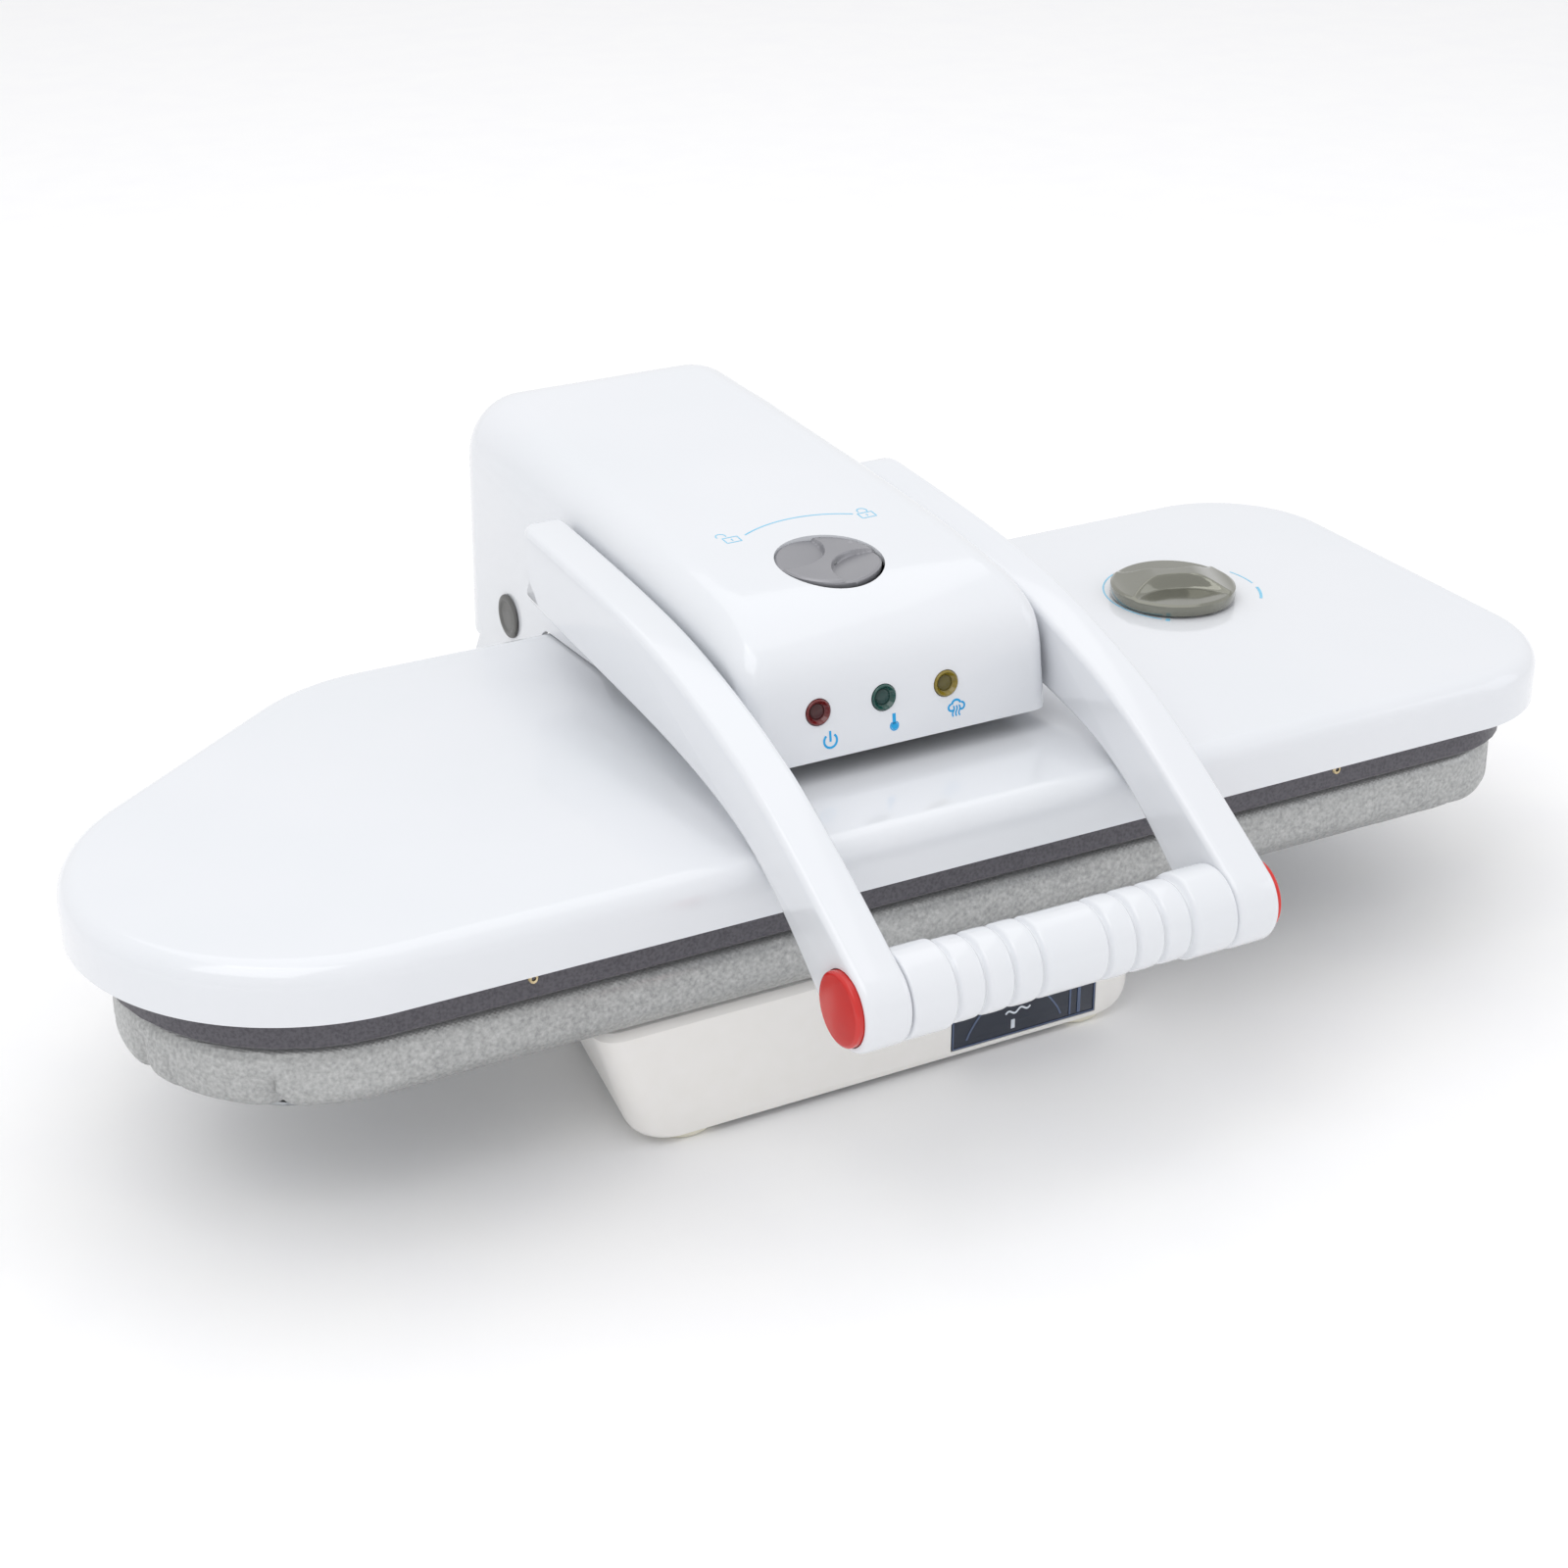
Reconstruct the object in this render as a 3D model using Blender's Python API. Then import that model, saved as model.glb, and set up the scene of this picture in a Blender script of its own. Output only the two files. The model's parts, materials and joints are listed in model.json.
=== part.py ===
"""Steam ironing press, built piece by piece from its driving sizes.

Metres, +Z up. X runs along the board from its round nose (-X) to its square end (+X), Y runs from
the grip (-Y) to the hinge (+Y), and Z = 0 is the surface that the feet stand on. The origin is the
centre of the press's footprint. The press is modelled closed, with its handle down.
"""

import math

import bmesh
import bpy
from mathutils import Matrix, Vector

# Clearances and wall thicknesses
SEAT_GAP = 0.0003
OVERRUN = 0.002
HEAD_WALL = 0.003
BASE_WALL = 0.003
SHEET_STEEL = 0.003
COVER_SHEET = 0.002

# Pressing head: cover, heating plate and board share one plan outline
COVER_LENGTH = 0.700
COVER_DEPTH = 0.265
COVER_RIM_Z = 0.113
COVER_RISE = 0.025
COVER_FILLET = 0.010
COVER_CROWN = 0.003
NOSE_RADIUS = 0.100
TAPER_ANGLE = math.radians(36.5)
TAPER_BLEND_RADIUS = 0.090
END_CORNER_RADIUS = 0.062
PLATE_INSET = 0.014
PLATE_BOTTOM_Z = 0.094
PLATE_SOLE = 0.006
PLATE_WALL = 0.003
PLATE_INSIDE_RISE = 0.007
STEAM_HOLE_RADIUS = 0.0025
STEAM_HOLE_DEPTH = 0.004
STEAM_HOLE_PITCH = 0.070
STEAM_HOLE_COUNT = 8

# Board
PAD_THICKNESS = 0.030
PAD_INSET = 0.015
PAD_CROWN = 0.0012
PAD_EDGE_ROLL = 0.007
PAD_DRAWN_IN = 0.009
TRAY_INSET = 0.026
TRAY_THICKNESS = 0.0015

# Reach of the whole press along Y
GRIP_AHEAD = 0.0705
HEAD_BEHIND = 0.1065
HINGE_BEHIND = 0.0365
HINGE_Z = 0.131

# Base housing
BASE_TOP_Z = 0.0605
BASE_BOTTOM_Z = 0.004
BASE_FRONT_INSET = 0.0225
BASE_BACK_INSET = 0.012
BASE_LEFT_TOP_X = -0.158
BASE_RIGHT_TOP_X = 0.115
BASE_LEFT_SLANT = 0.018
BASE_LEFT_TAPER = 0.157
BASE_RIGHT_SLANT = 0.003
BASE_LEFT_SKIRT_RADIUS = 0.008
BASE_RIGHT_SKIRT_RADIUS = 0.010
BASE_LEFT_CORNER_RADIUS = 0.012
BASE_RIGHT_CORNER_RADIUS = 0.010
BASE_TOP_FILLET = 0.003
BASE_PLATE_THICKNESS = 0.002
BASE_PLATE_GAP = 0.0009
FOOT_RADIUS = 0.0165
FOOT_DRAFT = 0.002
FOOT_STEM_RADIUS = 0.006
FOOT_INSET_X = 0.0165
FOOT_INSET_Y = 0.0175

# Head cover over the lifting arm
HEAD_CENTRE_X = 0.0045
HEAD_SIDE_GAP = 0.004
HEAD_DRAFT = 0.0012
HEAD_BOTTOM_Z = 0.150
HEAD_HEIGHT = 0.078
HEAD_FRONT_INSET = 0.0505
HEAD_EAR_BOTTOM_Z = 0.097
HEAD_EAR_FRONT = 0.006
HEAD_EAR_REAR_RISE = 0.010
HEAD_EAR_REAR_LENGTH = 0.025
HEAD_REAR_WALL_Z = 0.124
HEAD_FRONT_FILLET = 0.009
HEAD_SIDE_FILLET = 0.019
HEAD_REAR_FILLET = 0.031

# Hinge between base and head
HINGE_PIN_RADIUS = 0.006
HINGE_EYE_RADIUS = 0.015
HINGE_PIN_HEAD_RADIUS = 0.009
HINGE_PIN_HEAD = 0.003
BUSH_RADIUS = 0.0085
BUSH_FLANGE = 0.001
COLUMN_HALF_WIDTH = 0.036
COLUMN_DEPTH = 0.044
COLUMN_FLANGE = 0.016
PLUG_RADIUS = 0.011
PLUG_PROUD = 0.0015
PLUG_BARREL_RADIUS = 0.008

# Lifting arm inside the head
ARM_HALF_WIDTH = 0.0405

# Handle
HANDLE_WIDTH = 0.197
HANDLE_ARM_THICKNESS = 0.0195
HANDLE_PIVOT_BEHIND_CENTRE = 0.067
HANDLE_PIVOT_ABOVE_CAM = 0.0032
HANDLE_EDGE_RADIUS = 0.004
GRIP_Z = 0.107
GRIP_RADIUS = 0.017
GRIP_END_RADIUS = 0.019
GRIP_BORE_RADIUS = 0.0085
GRIP_CORE_RADIUS = 0.008
GROOVE_DEPTH = 0.0022
GROOVE_WIDTH = 0.0055
GROOVE_PITCH = 0.0135
GROOVE_FIRST = 0.0225
GROOVE_COUNT = 4
HANDLE_SHAFT_RADIUS = 0.006
CAM_CLEARANCE = 0.0012
CAM_THICKNESS = 0.010
BUTTON_RADIUS = 0.0165
BUTTON_TRAVEL = 0.003
BUTTON_PROUD = 0.0032
BUTTON_POCKET = 0.0085
BUTTON_STEM_RADIUS = 0.003
BUTTON_SKIRT = 0.0015

# Lock knob and temperature dial
KNOB_RADIUS = 0.0235
KNOB_THICKNESS = 0.0042
KNOB_PROUD = 0.0009
KNOB_RIM_GAP = 0.0007
KNOB_X = 0.0
KNOB_AHEAD_OF_CENTRE = 0.0215
KNOB_TILT_SHARE = 0.5
KNOB_TURN = math.radians(41)
KNOB_SCOOP_RADIUS = 0.021
KNOB_WAIST = 0.0052
KNOB_SCOOP_SLOPE = math.radians(7)
KNOB_POINTER_RADIUS = 0.0022
SPINDLE_RADIUS = 0.004
DIAL_RADIUS = 0.0305
DIAL_HEIGHT = 0.0058
DIAL_RIDGE_HEIGHT = 0.0045
DIAL_ALONG_SHARE = 0.3086
DIAL_BEHIND_CENTRE = 0.018

# Indicator lamps
LAMP_X = (-0.037, -0.005, 0.026)
LAMP_RISE_SHARE = 0.276
LAMP_RADIUS = 0.0062
LAMP_RING = 0.0016
LAMP_PROUD = 0.0012

# Water tank
TANK_LEFT_X = 0.0145
TANK_WIDTH = 0.077
TANK_BOTTOM_Z = 0.0095
TANK_WINDOW_Z = 0.0060
TANK_TOP_Z = 0.0455
TANK_DEPTH = 0.130
TANK_WALL = 0.0025
TANK_LID_THICKNESS = 0.002
TANK_LID_SHARE = 0.62

# Round parts inside the base
PUMP_RADIUS = 0.017
PUMP_LENGTH = 0.070
PUMP_BEHIND_CENTRE = 0.008
PUMP_NOSE_RADIUS = 0.006
PUMP_NOSE = 0.012
HOSE_RADIUS = 0.0035
GLAND_RADIUS = 0.009
GLAND_FLANGE = 0.0025
GLAND_BORE = 0.004
SCREW_RADIUS = 0.0020

# Places that follow from the sizes above
FULL_DEPTH = GRIP_END_RADIUS + GRIP_AHEAD + COVER_DEPTH + HEAD_BEHIND
FRONT_Y = -FULL_DEPTH / 2
GRIP_Y = FRONT_Y + GRIP_END_RADIUS
COVER_FRONT_Y = GRIP_Y + GRIP_AHEAD
COVER_BACK_Y = COVER_FRONT_Y + COVER_DEPTH
COVER_CENTRE_Y = (COVER_FRONT_Y + COVER_BACK_Y) / 2
COVER_TOP_Z = COVER_RIM_Z + COVER_RISE
COVER_CROWN_Z = COVER_TOP_Z + COVER_CROWN
DIAL_X = COVER_LENGTH * DIAL_ALONG_SHARE
HEAD_BACK_Y = COVER_BACK_Y + HEAD_BEHIND
HEAD_FRONT_Y = COVER_FRONT_Y + HEAD_FRONT_INSET
HINGE_Y = COVER_BACK_Y + HINGE_BEHIND
HANDLE_PIVOT_Y = COVER_CENTRE_Y + HANDLE_PIVOT_BEHIND_CENTRE
HEAD_WIDTH = HANDLE_WIDTH - 2 * (HANDLE_ARM_THICKNESS + HEAD_SIDE_GAP)
HEAD_TOP_Z = HEAD_BOTTOM_Z + HEAD_HEIGHT
LAMP_Z = HEAD_BOTTOM_Z + HEAD_HEIGHT * LAMP_RISE_SHARE
PAD_TOP_Z = PLATE_BOTTOM_Z - SEAT_GAP
PAD_BOTTOM_Z = PAD_TOP_Z - PAD_THICKNESS
BASE_FRONT_Y = COVER_FRONT_Y + BASE_FRONT_INSET
BASE_BACK_Y = HEAD_BACK_Y - BASE_BACK_INSET
BASE_PLATE_TOP_Z = BASE_BOTTOM_Z + SEAT_GAP + BASE_PLATE_THICKNESS
COLUMN_FOOT_Z = BASE_PLATE_TOP_Z + SEAT_GAP

# Lift springs, whose long leg bears on the column's back
SPRING_WIRE = 0.00125
SPRING_RADIUS = 0.0095
SPRING_TURNS = 4.5
SPRING_POINTS = 8
SPRING_LENGTH = 0.0150
SPRING_LEG = 0.034
COLUMN_BACK_Y = HINGE_Y + SPRING_RADIUS + SPRING_WIRE + SEAT_GAP + SHEET_STEEL
COLUMN_FRONT_Y = COLUMN_BACK_Y - COLUMN_DEPTH
COLUMN_MOUTH = 0.022
PIN_HEAD_X = ARM_HALF_WIDTH + SEAT_GAP * 3
PIN_INNER_X = 0.020
SHROUD_HALF_WIDTH = 0.050
SHROUD_WALL = 0.0025
SHROUD_GAP = 0.001
SHROUD_CORNER = 0.008
SHROUD_TOP_Z = 0.108

# Inside the base
BAY_WALL = 0.0020
BAY_TOP_Z = 0.030
TANK_MIDDLE_X = TANK_LEFT_X + TANK_WIDTH / 2
VALVE_Z = 0.0190
VALVE_RADIUS = 0.0055
VALVE_STEM_RADIUS = 0.0040
VALVE_FLANGE = 0.0020
VALVE_LENGTH = 0.0100
PUMP_X = -0.090
PUMP_Y = COVER_CENTRE_Y + PUMP_BEHIND_CENTRE
PUMP_Z = 0.030
HOSE_LEAD = 0.014
HOSE_BEND = 0.018
RISER_X = -0.0095
RISER_BEND = 0.014
BOARD_BEHIND_CENTRE = 0.062
BOARD_X = 0.054
BOARD_Y = COVER_CENTRE_Y + BOARD_BEHIND_CENTRE
BOARD_LENGTH = 0.051
BOARD_WIDTH = 0.062
BOARD_THICKNESS = 0.0016
BOARD_STANDOFF = 0.006
BOARD_PARTS = 0.022
GLAND_X = 0.080
GLAND_Z = 0.028
TRAY_VENT_WING_SHARES = (-0.315, 0.335)
TRAY_VENT_PITCH_SHARE = 0.0514
TRAY_VENT_COLUMNS = 3
TRAY_VENT_ROWS = 3
TRAY_VENT_PITCH = 0.030
TRAY_VENT_RADIUS = 0.006

# Inside the head; the profile runs from the front lower edge to where the rear rounding starts
HEAD_PROFILE_SHARES = (
    (0.000, 0.000), (0.0124, 0.420), (0.021, 0.540), (0.034, 0.605), (0.056, 0.673), (0.090, 0.745),
    (0.140, 0.798), (0.230, 0.839), (0.330, 0.872), (0.500, 0.914), (0.700, 0.952), (0.840, 0.983),
    (0.900, 1.000),
)
HEAD_FILLET_SHARES = (0.12, 0.75)
HEAD_FILLET_SWELL = 1.25
ARM_REACH_AHEAD = 0.052
ARM_HEADROOM = 0.017
ARM_TOP_SHARE = 0.73
ARM_LIFT = 0.004
ARM_NECK = 0.034
ARM_SLOPE_ALLOWANCE = 0.0045
ARM_FRONT_Y = COVER_CENTRE_Y - ARM_REACH_AHEAD
ARM_TOP_Z = HEAD_BOTTOM_Z + HEAD_HEIGHT * ARM_TOP_SHARE
ARM_BOTTOM_Z = HEAD_BOTTOM_Z + ARM_LIFT
BEAM_HALF_WIDTH = 0.015
BEAM_THICKNESS = 0.005
BEAM_LIFT = 0.0085
BEAM_TOP_Z = ARM_BOTTOM_Z + BEAM_LIFT
CAM_RADIUS = (ARM_TOP_Z - SHEET_STEEL - CAM_CLEARANCE - BEAM_TOP_Z) / 2
HANDLE_PIVOT_Z = BEAM_TOP_Z + CAM_RADIUS + HANDLE_PIVOT_ABOVE_CAM
BEAM_PIN_RADIUS = 0.0035
BEAM_PIN_BEHIND = 0.032
PLATEN_SPINDLE_RADIUS = 0.006
SPINDLE_COLLAR = 0.003
SPINDLE_NUT = 0.006
PLATEN_WIRE = 0.0014
PLATEN_SPRING_RADIUS = 0.0105
PLATEN_SPRING_TURNS = 5
BOSS_HEIGHT = 0.010
BOSS_RADIUS = 0.014
PLUG_LIFT = 0.0006
LAMP_BAR_LENGTH = 0.082
LAMP_BAR_WIDTH = 0.020
LAMP_BAR_THICKNESS = 0.003
KNOB_HOLE_REACH = 0.012
LOCK_REACH = 0.0150
LOCK_HOOK = 0.018
LOCK_HOOK_THICKNESS = 0.003
LOCK_HOOK_TURN = math.radians(-100)

# Handle's centre line from pivot end to grip: share of reach, share of fall, half depth to end radius
HANDLE_LINE_SHARES = (
    (-0.172, -0.030, 0.860), (0.060, 0.020, 0.930), (0.220, 0.060, 0.950), (0.363, 0.105, 0.930),
    (0.500, 0.185, 0.830), (0.633, 0.290, 0.750), (0.726, 0.405, 0.730), (0.804, 0.540, 0.750),
    (0.900, 0.755, 0.860), (1.000, 1.000, 1.000),
)
HANDLE_ARM_SKIN = 0.004
HANDLE_REAR_CORNER = 0.013
GRIP_CORE_WALL = 0.0015
SWITCH_LENGTH = 0.016
BUTTON_STEM = 0.010

# Inside the platen
CLIP_WIDTH = 0.006
CLIP_THICKNESS = 0.0012
CLIP_LOW_Z = 0.1005
CLIP_SHARES = (-0.2757, 0.2914)
ELEMENT_RADIUS = 0.004
ELEMENT_INSET = 0.060
ELEMENT_BEND = 0.020
ELEMENT_GAP = 0.030
ELEMENT_STRETCH = 0.075
THERMOSTAT_RADIUS = 0.012
INLET_RADIUS = 0.008
INLET_X = 0.030
INLET_Y = 0.060
DIAL_SEAT = 0.0008
DIAL_TURN = math.radians(-20)
DIAL_RIDGE_SHARES = (
    (-0.88, 0.50, 0.20), (-0.55, 0.30, 0.85), (-0.20, 0.22, 1.00), (0.20, 0.22, 1.00), (0.55, 0.30, 0.85),
    (0.88, 0.50, 0.20),
)

# How finely round shapes are divided
SMALL_SIDES = 12
ROUND_SIDES = 20
LARGE_SIDES = 28
ARC_STEP = math.radians(11)
SHARP_ANGLE = math.radians(32)

# Finishes: colour, roughness, metallic value and alpha
FINISHES = {
    "white_gloss": ((0.95, 0.96, 0.98), 0.18, 0.0, 1.0),
    "white_satin": ((0.88, 0.87, 0.85), 0.38, 0.0, 1.0),
    "ivory_rubber": ((0.83, 0.81, 0.74), 0.75, 0.0, 1.0),
    "dark_plate": ((0.10, 0.10, 0.105), 0.45, 0.6, 1.0),
    "silver_cloth": ((0.42, 0.43, 0.43), 0.55, 0.35, 1.0),
    "steel": ((0.55, 0.56, 0.57), 0.35, 1.0, 1.0),
    "spring_steel": ((0.45, 0.45, 0.46), 0.30, 1.0, 1.0),
    "brass": ((0.70, 0.50, 0.22), 0.35, 1.0, 1.0),
    "knob_grey": ((0.46, 0.46, 0.48), 0.40, 0.2, 1.0),
    "dial_grey": ((0.27, 0.28, 0.24), 0.22, 0.1, 1.0),
    "plug_grey": ((0.15, 0.15, 0.145), 0.50, 0.0, 1.0),
    "nylon": ((0.80, 0.78, 0.70), 0.50, 0.0, 1.0),
    "black_plastic": ((0.03, 0.03, 0.03), 0.50, 0.0, 1.0),
    "red_button": ((0.75, 0.02, 0.01), 0.25, 0.0, 1.0),
    "red_lens": ((0.26, 0.01, 0.01), 0.10, 0.0, 1.0),
    "green_lens": ((0.01, 0.10, 0.08), 0.10, 0.0, 1.0),
    "amber_lens": ((0.26, 0.19, 0.01), 0.10, 0.0, 1.0),
    "smoked_clear": ((0.05, 0.07, 0.11), 0.08, 0.0, 0.6),
    "silicone": ((0.75, 0.73, 0.70), 0.60, 0.0, 1.0),
    "circuit_board": ((0.02, 0.13, 0.05), 0.50, 0.0, 1.0),
}


def clear_scene():
    """Removes every object that the file opened with."""
    for obj in list(bpy.data.objects):
        bpy.data.objects.remove(obj, do_unlink=True)


def make_materials():
    """Makes one Principled material for each finish and returns them by name."""
    materials = {}
    for name, (colour, roughness, metallic, alpha) in FINISHES.items():
        material = bpy.data.materials.new(name)
        material.use_nodes = True
        shader = material.node_tree.nodes["Principled BSDF"]
        shader.inputs["Base Color"].default_value = (*colour, 1.0)
        shader.inputs["Roughness"].default_value = roughness
        shader.inputs["Metallic"].default_value = metallic
        shader.inputs["Alpha"].default_value = alpha
        materials[name] = material
    return materials


clear_scene()
MATERIALS = make_materials()


def world_origin(obj):
    """Adds up the places of an object and its parents, none of which is turned."""
    total = Vector()
    while obj is not None:
        total += obj.location
        obj = obj.parent
    return total


def joint_empty(name, point, parent=None):
    """Puts an empty on a joint's axis, for the moving pieces to hang from."""
    empty = bpy.data.objects.new(name, None)
    empty.empty_display_size = HINGE_EYE_RADIUS
    bpy.context.collection.objects.link(empty)
    empty.parent = parent
    empty.location = Vector(point) - world_origin(parent)
    return empty


def add_piece(name, bm, finish, parent=None, origin=(0.0, 0.0, 0.0)):
    """Makes one named object from a closed bmesh that is given in world metres."""
    bmesh.ops.remove_doubles(bm, verts=bm.verts, dist=SEAT_GAP / 100)
    bmesh.ops.dissolve_degenerate(bm, edges=bm.edges, dist=SEAT_GAP / 100)
    bmesh.ops.recalc_face_normals(bm, faces=bm.faces)
    origin = world_origin(parent) if parent is not None else Vector(origin)
    bm.transform(Matrix.Translation(-origin))
    mesh = bpy.data.meshes.new(name)
    bm.to_mesh(mesh)
    bm.free()
    mesh.materials.append(MATERIALS[finish])
    mesh.shade_smooth()
    mesh.set_sharp_from_angle(angle=SHARP_ANGLE)
    obj = bpy.data.objects.new(name, mesh)
    bpy.context.collection.objects.link(obj)
    obj.parent = parent
    obj.location = origin - world_origin(parent)
    return obj


def combine(target, bm, operation):
    """Cuts a closed bmesh out of a piece, or joins it on, with an exact Boolean."""
    tool = add_piece(f"{target.name}_{operation.lower()}_{len(target.modifiers)}", bm,
                     target.active_material.name, target.parent)
    tool.hide_render = True
    tool.display_type = "WIRE"
    modifier = target.modifiers.new(operation.title(), "BOOLEAN")
    modifier.operation = operation
    modifier.solver = "EXACT"
    modifier.object = tool


def cut(target, *shapes):
    """Cuts each shape out of a piece."""
    for shape in shapes:
        combine(target, shape, "DIFFERENCE")


def fuse(target, *shapes):
    """Joins each shape to a piece that it overlaps."""
    for shape in shapes:
        combine(target, shape, "UNION")


def merged(*shapes):
    """Puts several separate closed shapes into one bmesh."""
    whole = bmesh.new()
    for shape in shapes:
        mesh = bpy.data.meshes.new("part_of_group")
        shape.to_mesh(mesh)
        shape.free()
        whole.from_mesh(mesh)
        bpy.data.meshes.remove(mesh)
    return whole


def loft(rings, closed=False):
    """Skins closed loops of points in order; closed joins the last loop to the first."""
    bm = bmesh.new()
    rows = [[bm.verts.new(point) for point in ring] for ring in rings]
    pairs = list(zip(rows, rows[1:]))
    if closed:
        pairs.append((rows[-1], rows[0]))
    else:
        bm.faces.new(list(reversed(rows[0])))
        bm.faces.new(rows[-1])
    for lower, upper in pairs:
        for i, first in enumerate(lower):
            j = (i + 1) % len(lower)
            bm.faces.new((first, lower[j], upper[j], upper[i]))
    return bm


def side_axes(direction):
    """Gives two unit vectors that are square to a direction and to each other."""
    direction = Vector(direction).normalized()
    helper = Vector((0, 0, 1)) if abs(direction.z) < math.cos(math.radians(45)) else Vector((0, 1, 0))
    first = direction.cross(helper).normalized()
    return first, direction.cross(first)


def circle(centre, direction, radius, sides):
    """Gives the points of a circle about an axis."""
    first, second = side_axes(direction)
    turns = [2 * math.pi * i / sides for i in range(sides)]
    return [Vector(centre) + radius * (math.cos(t) * first + math.sin(t) * second) for t in turns]


def turned(centre, direction, profile, sides=ROUND_SIDES, hollow=False):
    """Turns a profile of (place along the axis, radius) pairs; a hollow one comes back on itself."""
    axis = Vector(direction).normalized()
    rings = [circle(Vector(centre) + along * axis, axis, radius, sides) for along, radius in profile]
    return loft(rings, closed=hollow)


def rod(start, end, radius, sides=ROUND_SIDES):
    """Makes a plain round bar between two points."""
    start = Vector(start)
    axis = Vector(end) - start
    return turned(start, axis, [(0.0, radius), (axis.length, radius)], sides)


def sleeve(start, end, outer, inner, sides=ROUND_SIDES):
    """Makes a round tube between two points."""
    start = Vector(start)
    axis = Vector(end) - start
    length = axis.length
    profile = [(0.0, outer), (length, outer), (length, inner), (0.0, inner)]
    return turned(start, axis, profile, sides, hollow=True)


def block(low, high):
    """Makes a box between two corners."""
    bm = bmesh.new()
    size = Vector(high) - Vector(low)
    middle = (Vector(high) + Vector(low)) / 2
    bmesh.ops.create_cube(bm, size=1.0, matrix=Matrix.LocRotScale(middle, None, size))
    return bm


def extruded(outline, low, high, axis="X"):
    """Extrudes a flat outline along X, where it is (y, z), or along Z, where it is (x, y)."""
    if axis == "X":
        rings = [[(level, a, b) for a, b in outline] for level in (low, high)]
    else:
        rings = [[(a, b, level) for a, b in outline] for level in (low, high)]
    return loft(rings)


def arc(centre, radius, start, end, step=ARC_STEP):
    """Gives the points of an arc in a plane, from one angle to another."""
    count = max(2, math.ceil(abs(end - start) / step - SEAT_GAP))
    turns = [start + (end - start) * i / count for i in range(count + 1)]
    return [(centre[0] + radius * math.cos(t), centre[1] + radius * math.sin(t)) for t in turns]


def rounded_rectangle(low, high, left_radius, right_radius, step=ARC_STEP):
    """Gives the points of a rectangle with round corners, which may differ from left to right."""
    (x0, y0), (x1, y1) = low, high
    quarter = math.pi / 2
    left = left_radius
    right = right_radius
    points = arc((x1 - right, y1 - right), right, 0, quarter, step)
    points += arc((x0 + left, y1 - left), left, quarter, 2 * quarter, step)
    points += arc((x0 + left, y0 + left), left, 2 * quarter, 3 * quarter, step)
    points += arc((x1 - right, y0 + right), right, 3 * quarter, 4 * quarter, step)
    return points


def interpolate(table, x):
    """Reads a value off a table of (x, value) pairs whose x rises."""
    for (x0, a), (x1, b) in zip(table, table[1:]):
        if x <= x1:
            return a + (b - a) * (x - x0) / (x1 - x0)
    return table[-1][1]


def swept(points, radius, sides=SMALL_SIDES):
    """Carries a circle along a path with mitred bends, so that every side stays flat between two of them."""
    path = [Vector(point) for point in points]
    runs = [(b - a).normalized() for a, b in zip(path, path[1:])]
    first, second = side_axes(runs[0])
    spokes = []
    for i in range(sides):
        turn = 2 * math.pi * i / sides
        spokes.append(radius * (math.cos(turn) * first + math.sin(turn) * second))
    rings = [[path[0] + spoke for spoke in spokes]]
    for point, before, after in zip(path[1:], runs, runs[1:] + runs[-1:]):
        mitre = (before + after).normalized()
        rings.append([point + spoke - before * (spoke.dot(mitre) / before.dot(mitre)) for spoke in spokes])
        bend = before.rotation_difference(after)
        spokes = [bend @ spoke for spoke in spokes]
    return loft(rings)


def smooth_path(points, steps=3):
    """Draws a smooth curve through route points, with its first and last stretches straight."""
    route = [Vector(point) for point in points]
    path = [route[0]]
    for a, b, c, d in zip(route, route[1:], route[2:], route[3:]):
        for i in range(steps):
            t = i / steps
            path.append(0.5 * (2 * b + (c - a) * t + (2 * a - 5 * b + 4 * c - d) * t ** 2
                               + (3 * b - a - 3 * c + d) * t ** 3))
    return path + route[-2:]


def helix(centre, direction, radius, length, turns, points_per_turn=8):
    """Gives the points of a coil along an axis."""
    axis = Vector(direction).normalized()
    first, second = side_axes(axis)
    count = int(turns * points_per_turn)
    points = []
    for i in range(count + 1):
        angle = 2 * math.pi * turns * i / count
        spoke = radius * (math.cos(angle) * first + math.sin(angle) * second)
        points.append(Vector(centre) + axis * (length * i / count) + spoke)
    return points


def plan_outline(inset):
    """Gives the board's plan outline, drawn in by an inset: round nose, tapered back, square end."""
    back = math.pi / 2
    nose = Vector((-COVER_LENGTH / 2 + NOSE_RADIUS, COVER_FRONT_Y + NOSE_RADIUS))
    normal = Vector((-math.sin(TAPER_ANGLE), math.cos(TAPER_ANGLE)))
    blend_y = COVER_BACK_Y - TAPER_BLEND_RADIUS
    blend_x = (nose.dot(normal) + NOSE_RADIUS - TAPER_BLEND_RADIUS - blend_y * normal.y) / normal.x
    end_x = COVER_LENGTH / 2 - END_CORNER_RADIUS
    points = arc((end_x, COVER_BACK_Y - END_CORNER_RADIUS), END_CORNER_RADIUS - inset, 0, back)
    points += arc((blend_x, blend_y), TAPER_BLEND_RADIUS - inset, back, back + TAPER_ANGLE)
    points += arc(nose, NOSE_RADIUS - inset, back + TAPER_ANGLE, 3 * back)
    points += arc((end_x, COVER_FRONT_Y + END_CORNER_RADIUS), END_CORNER_RADIUS - inset, 3 * back, 4 * back)
    return points


def plan_ring(inset, z):
    """Gives the plan outline as a loop at one height."""
    return [Vector((x, y, z)) for x, y in plan_outline(inset)]


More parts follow.
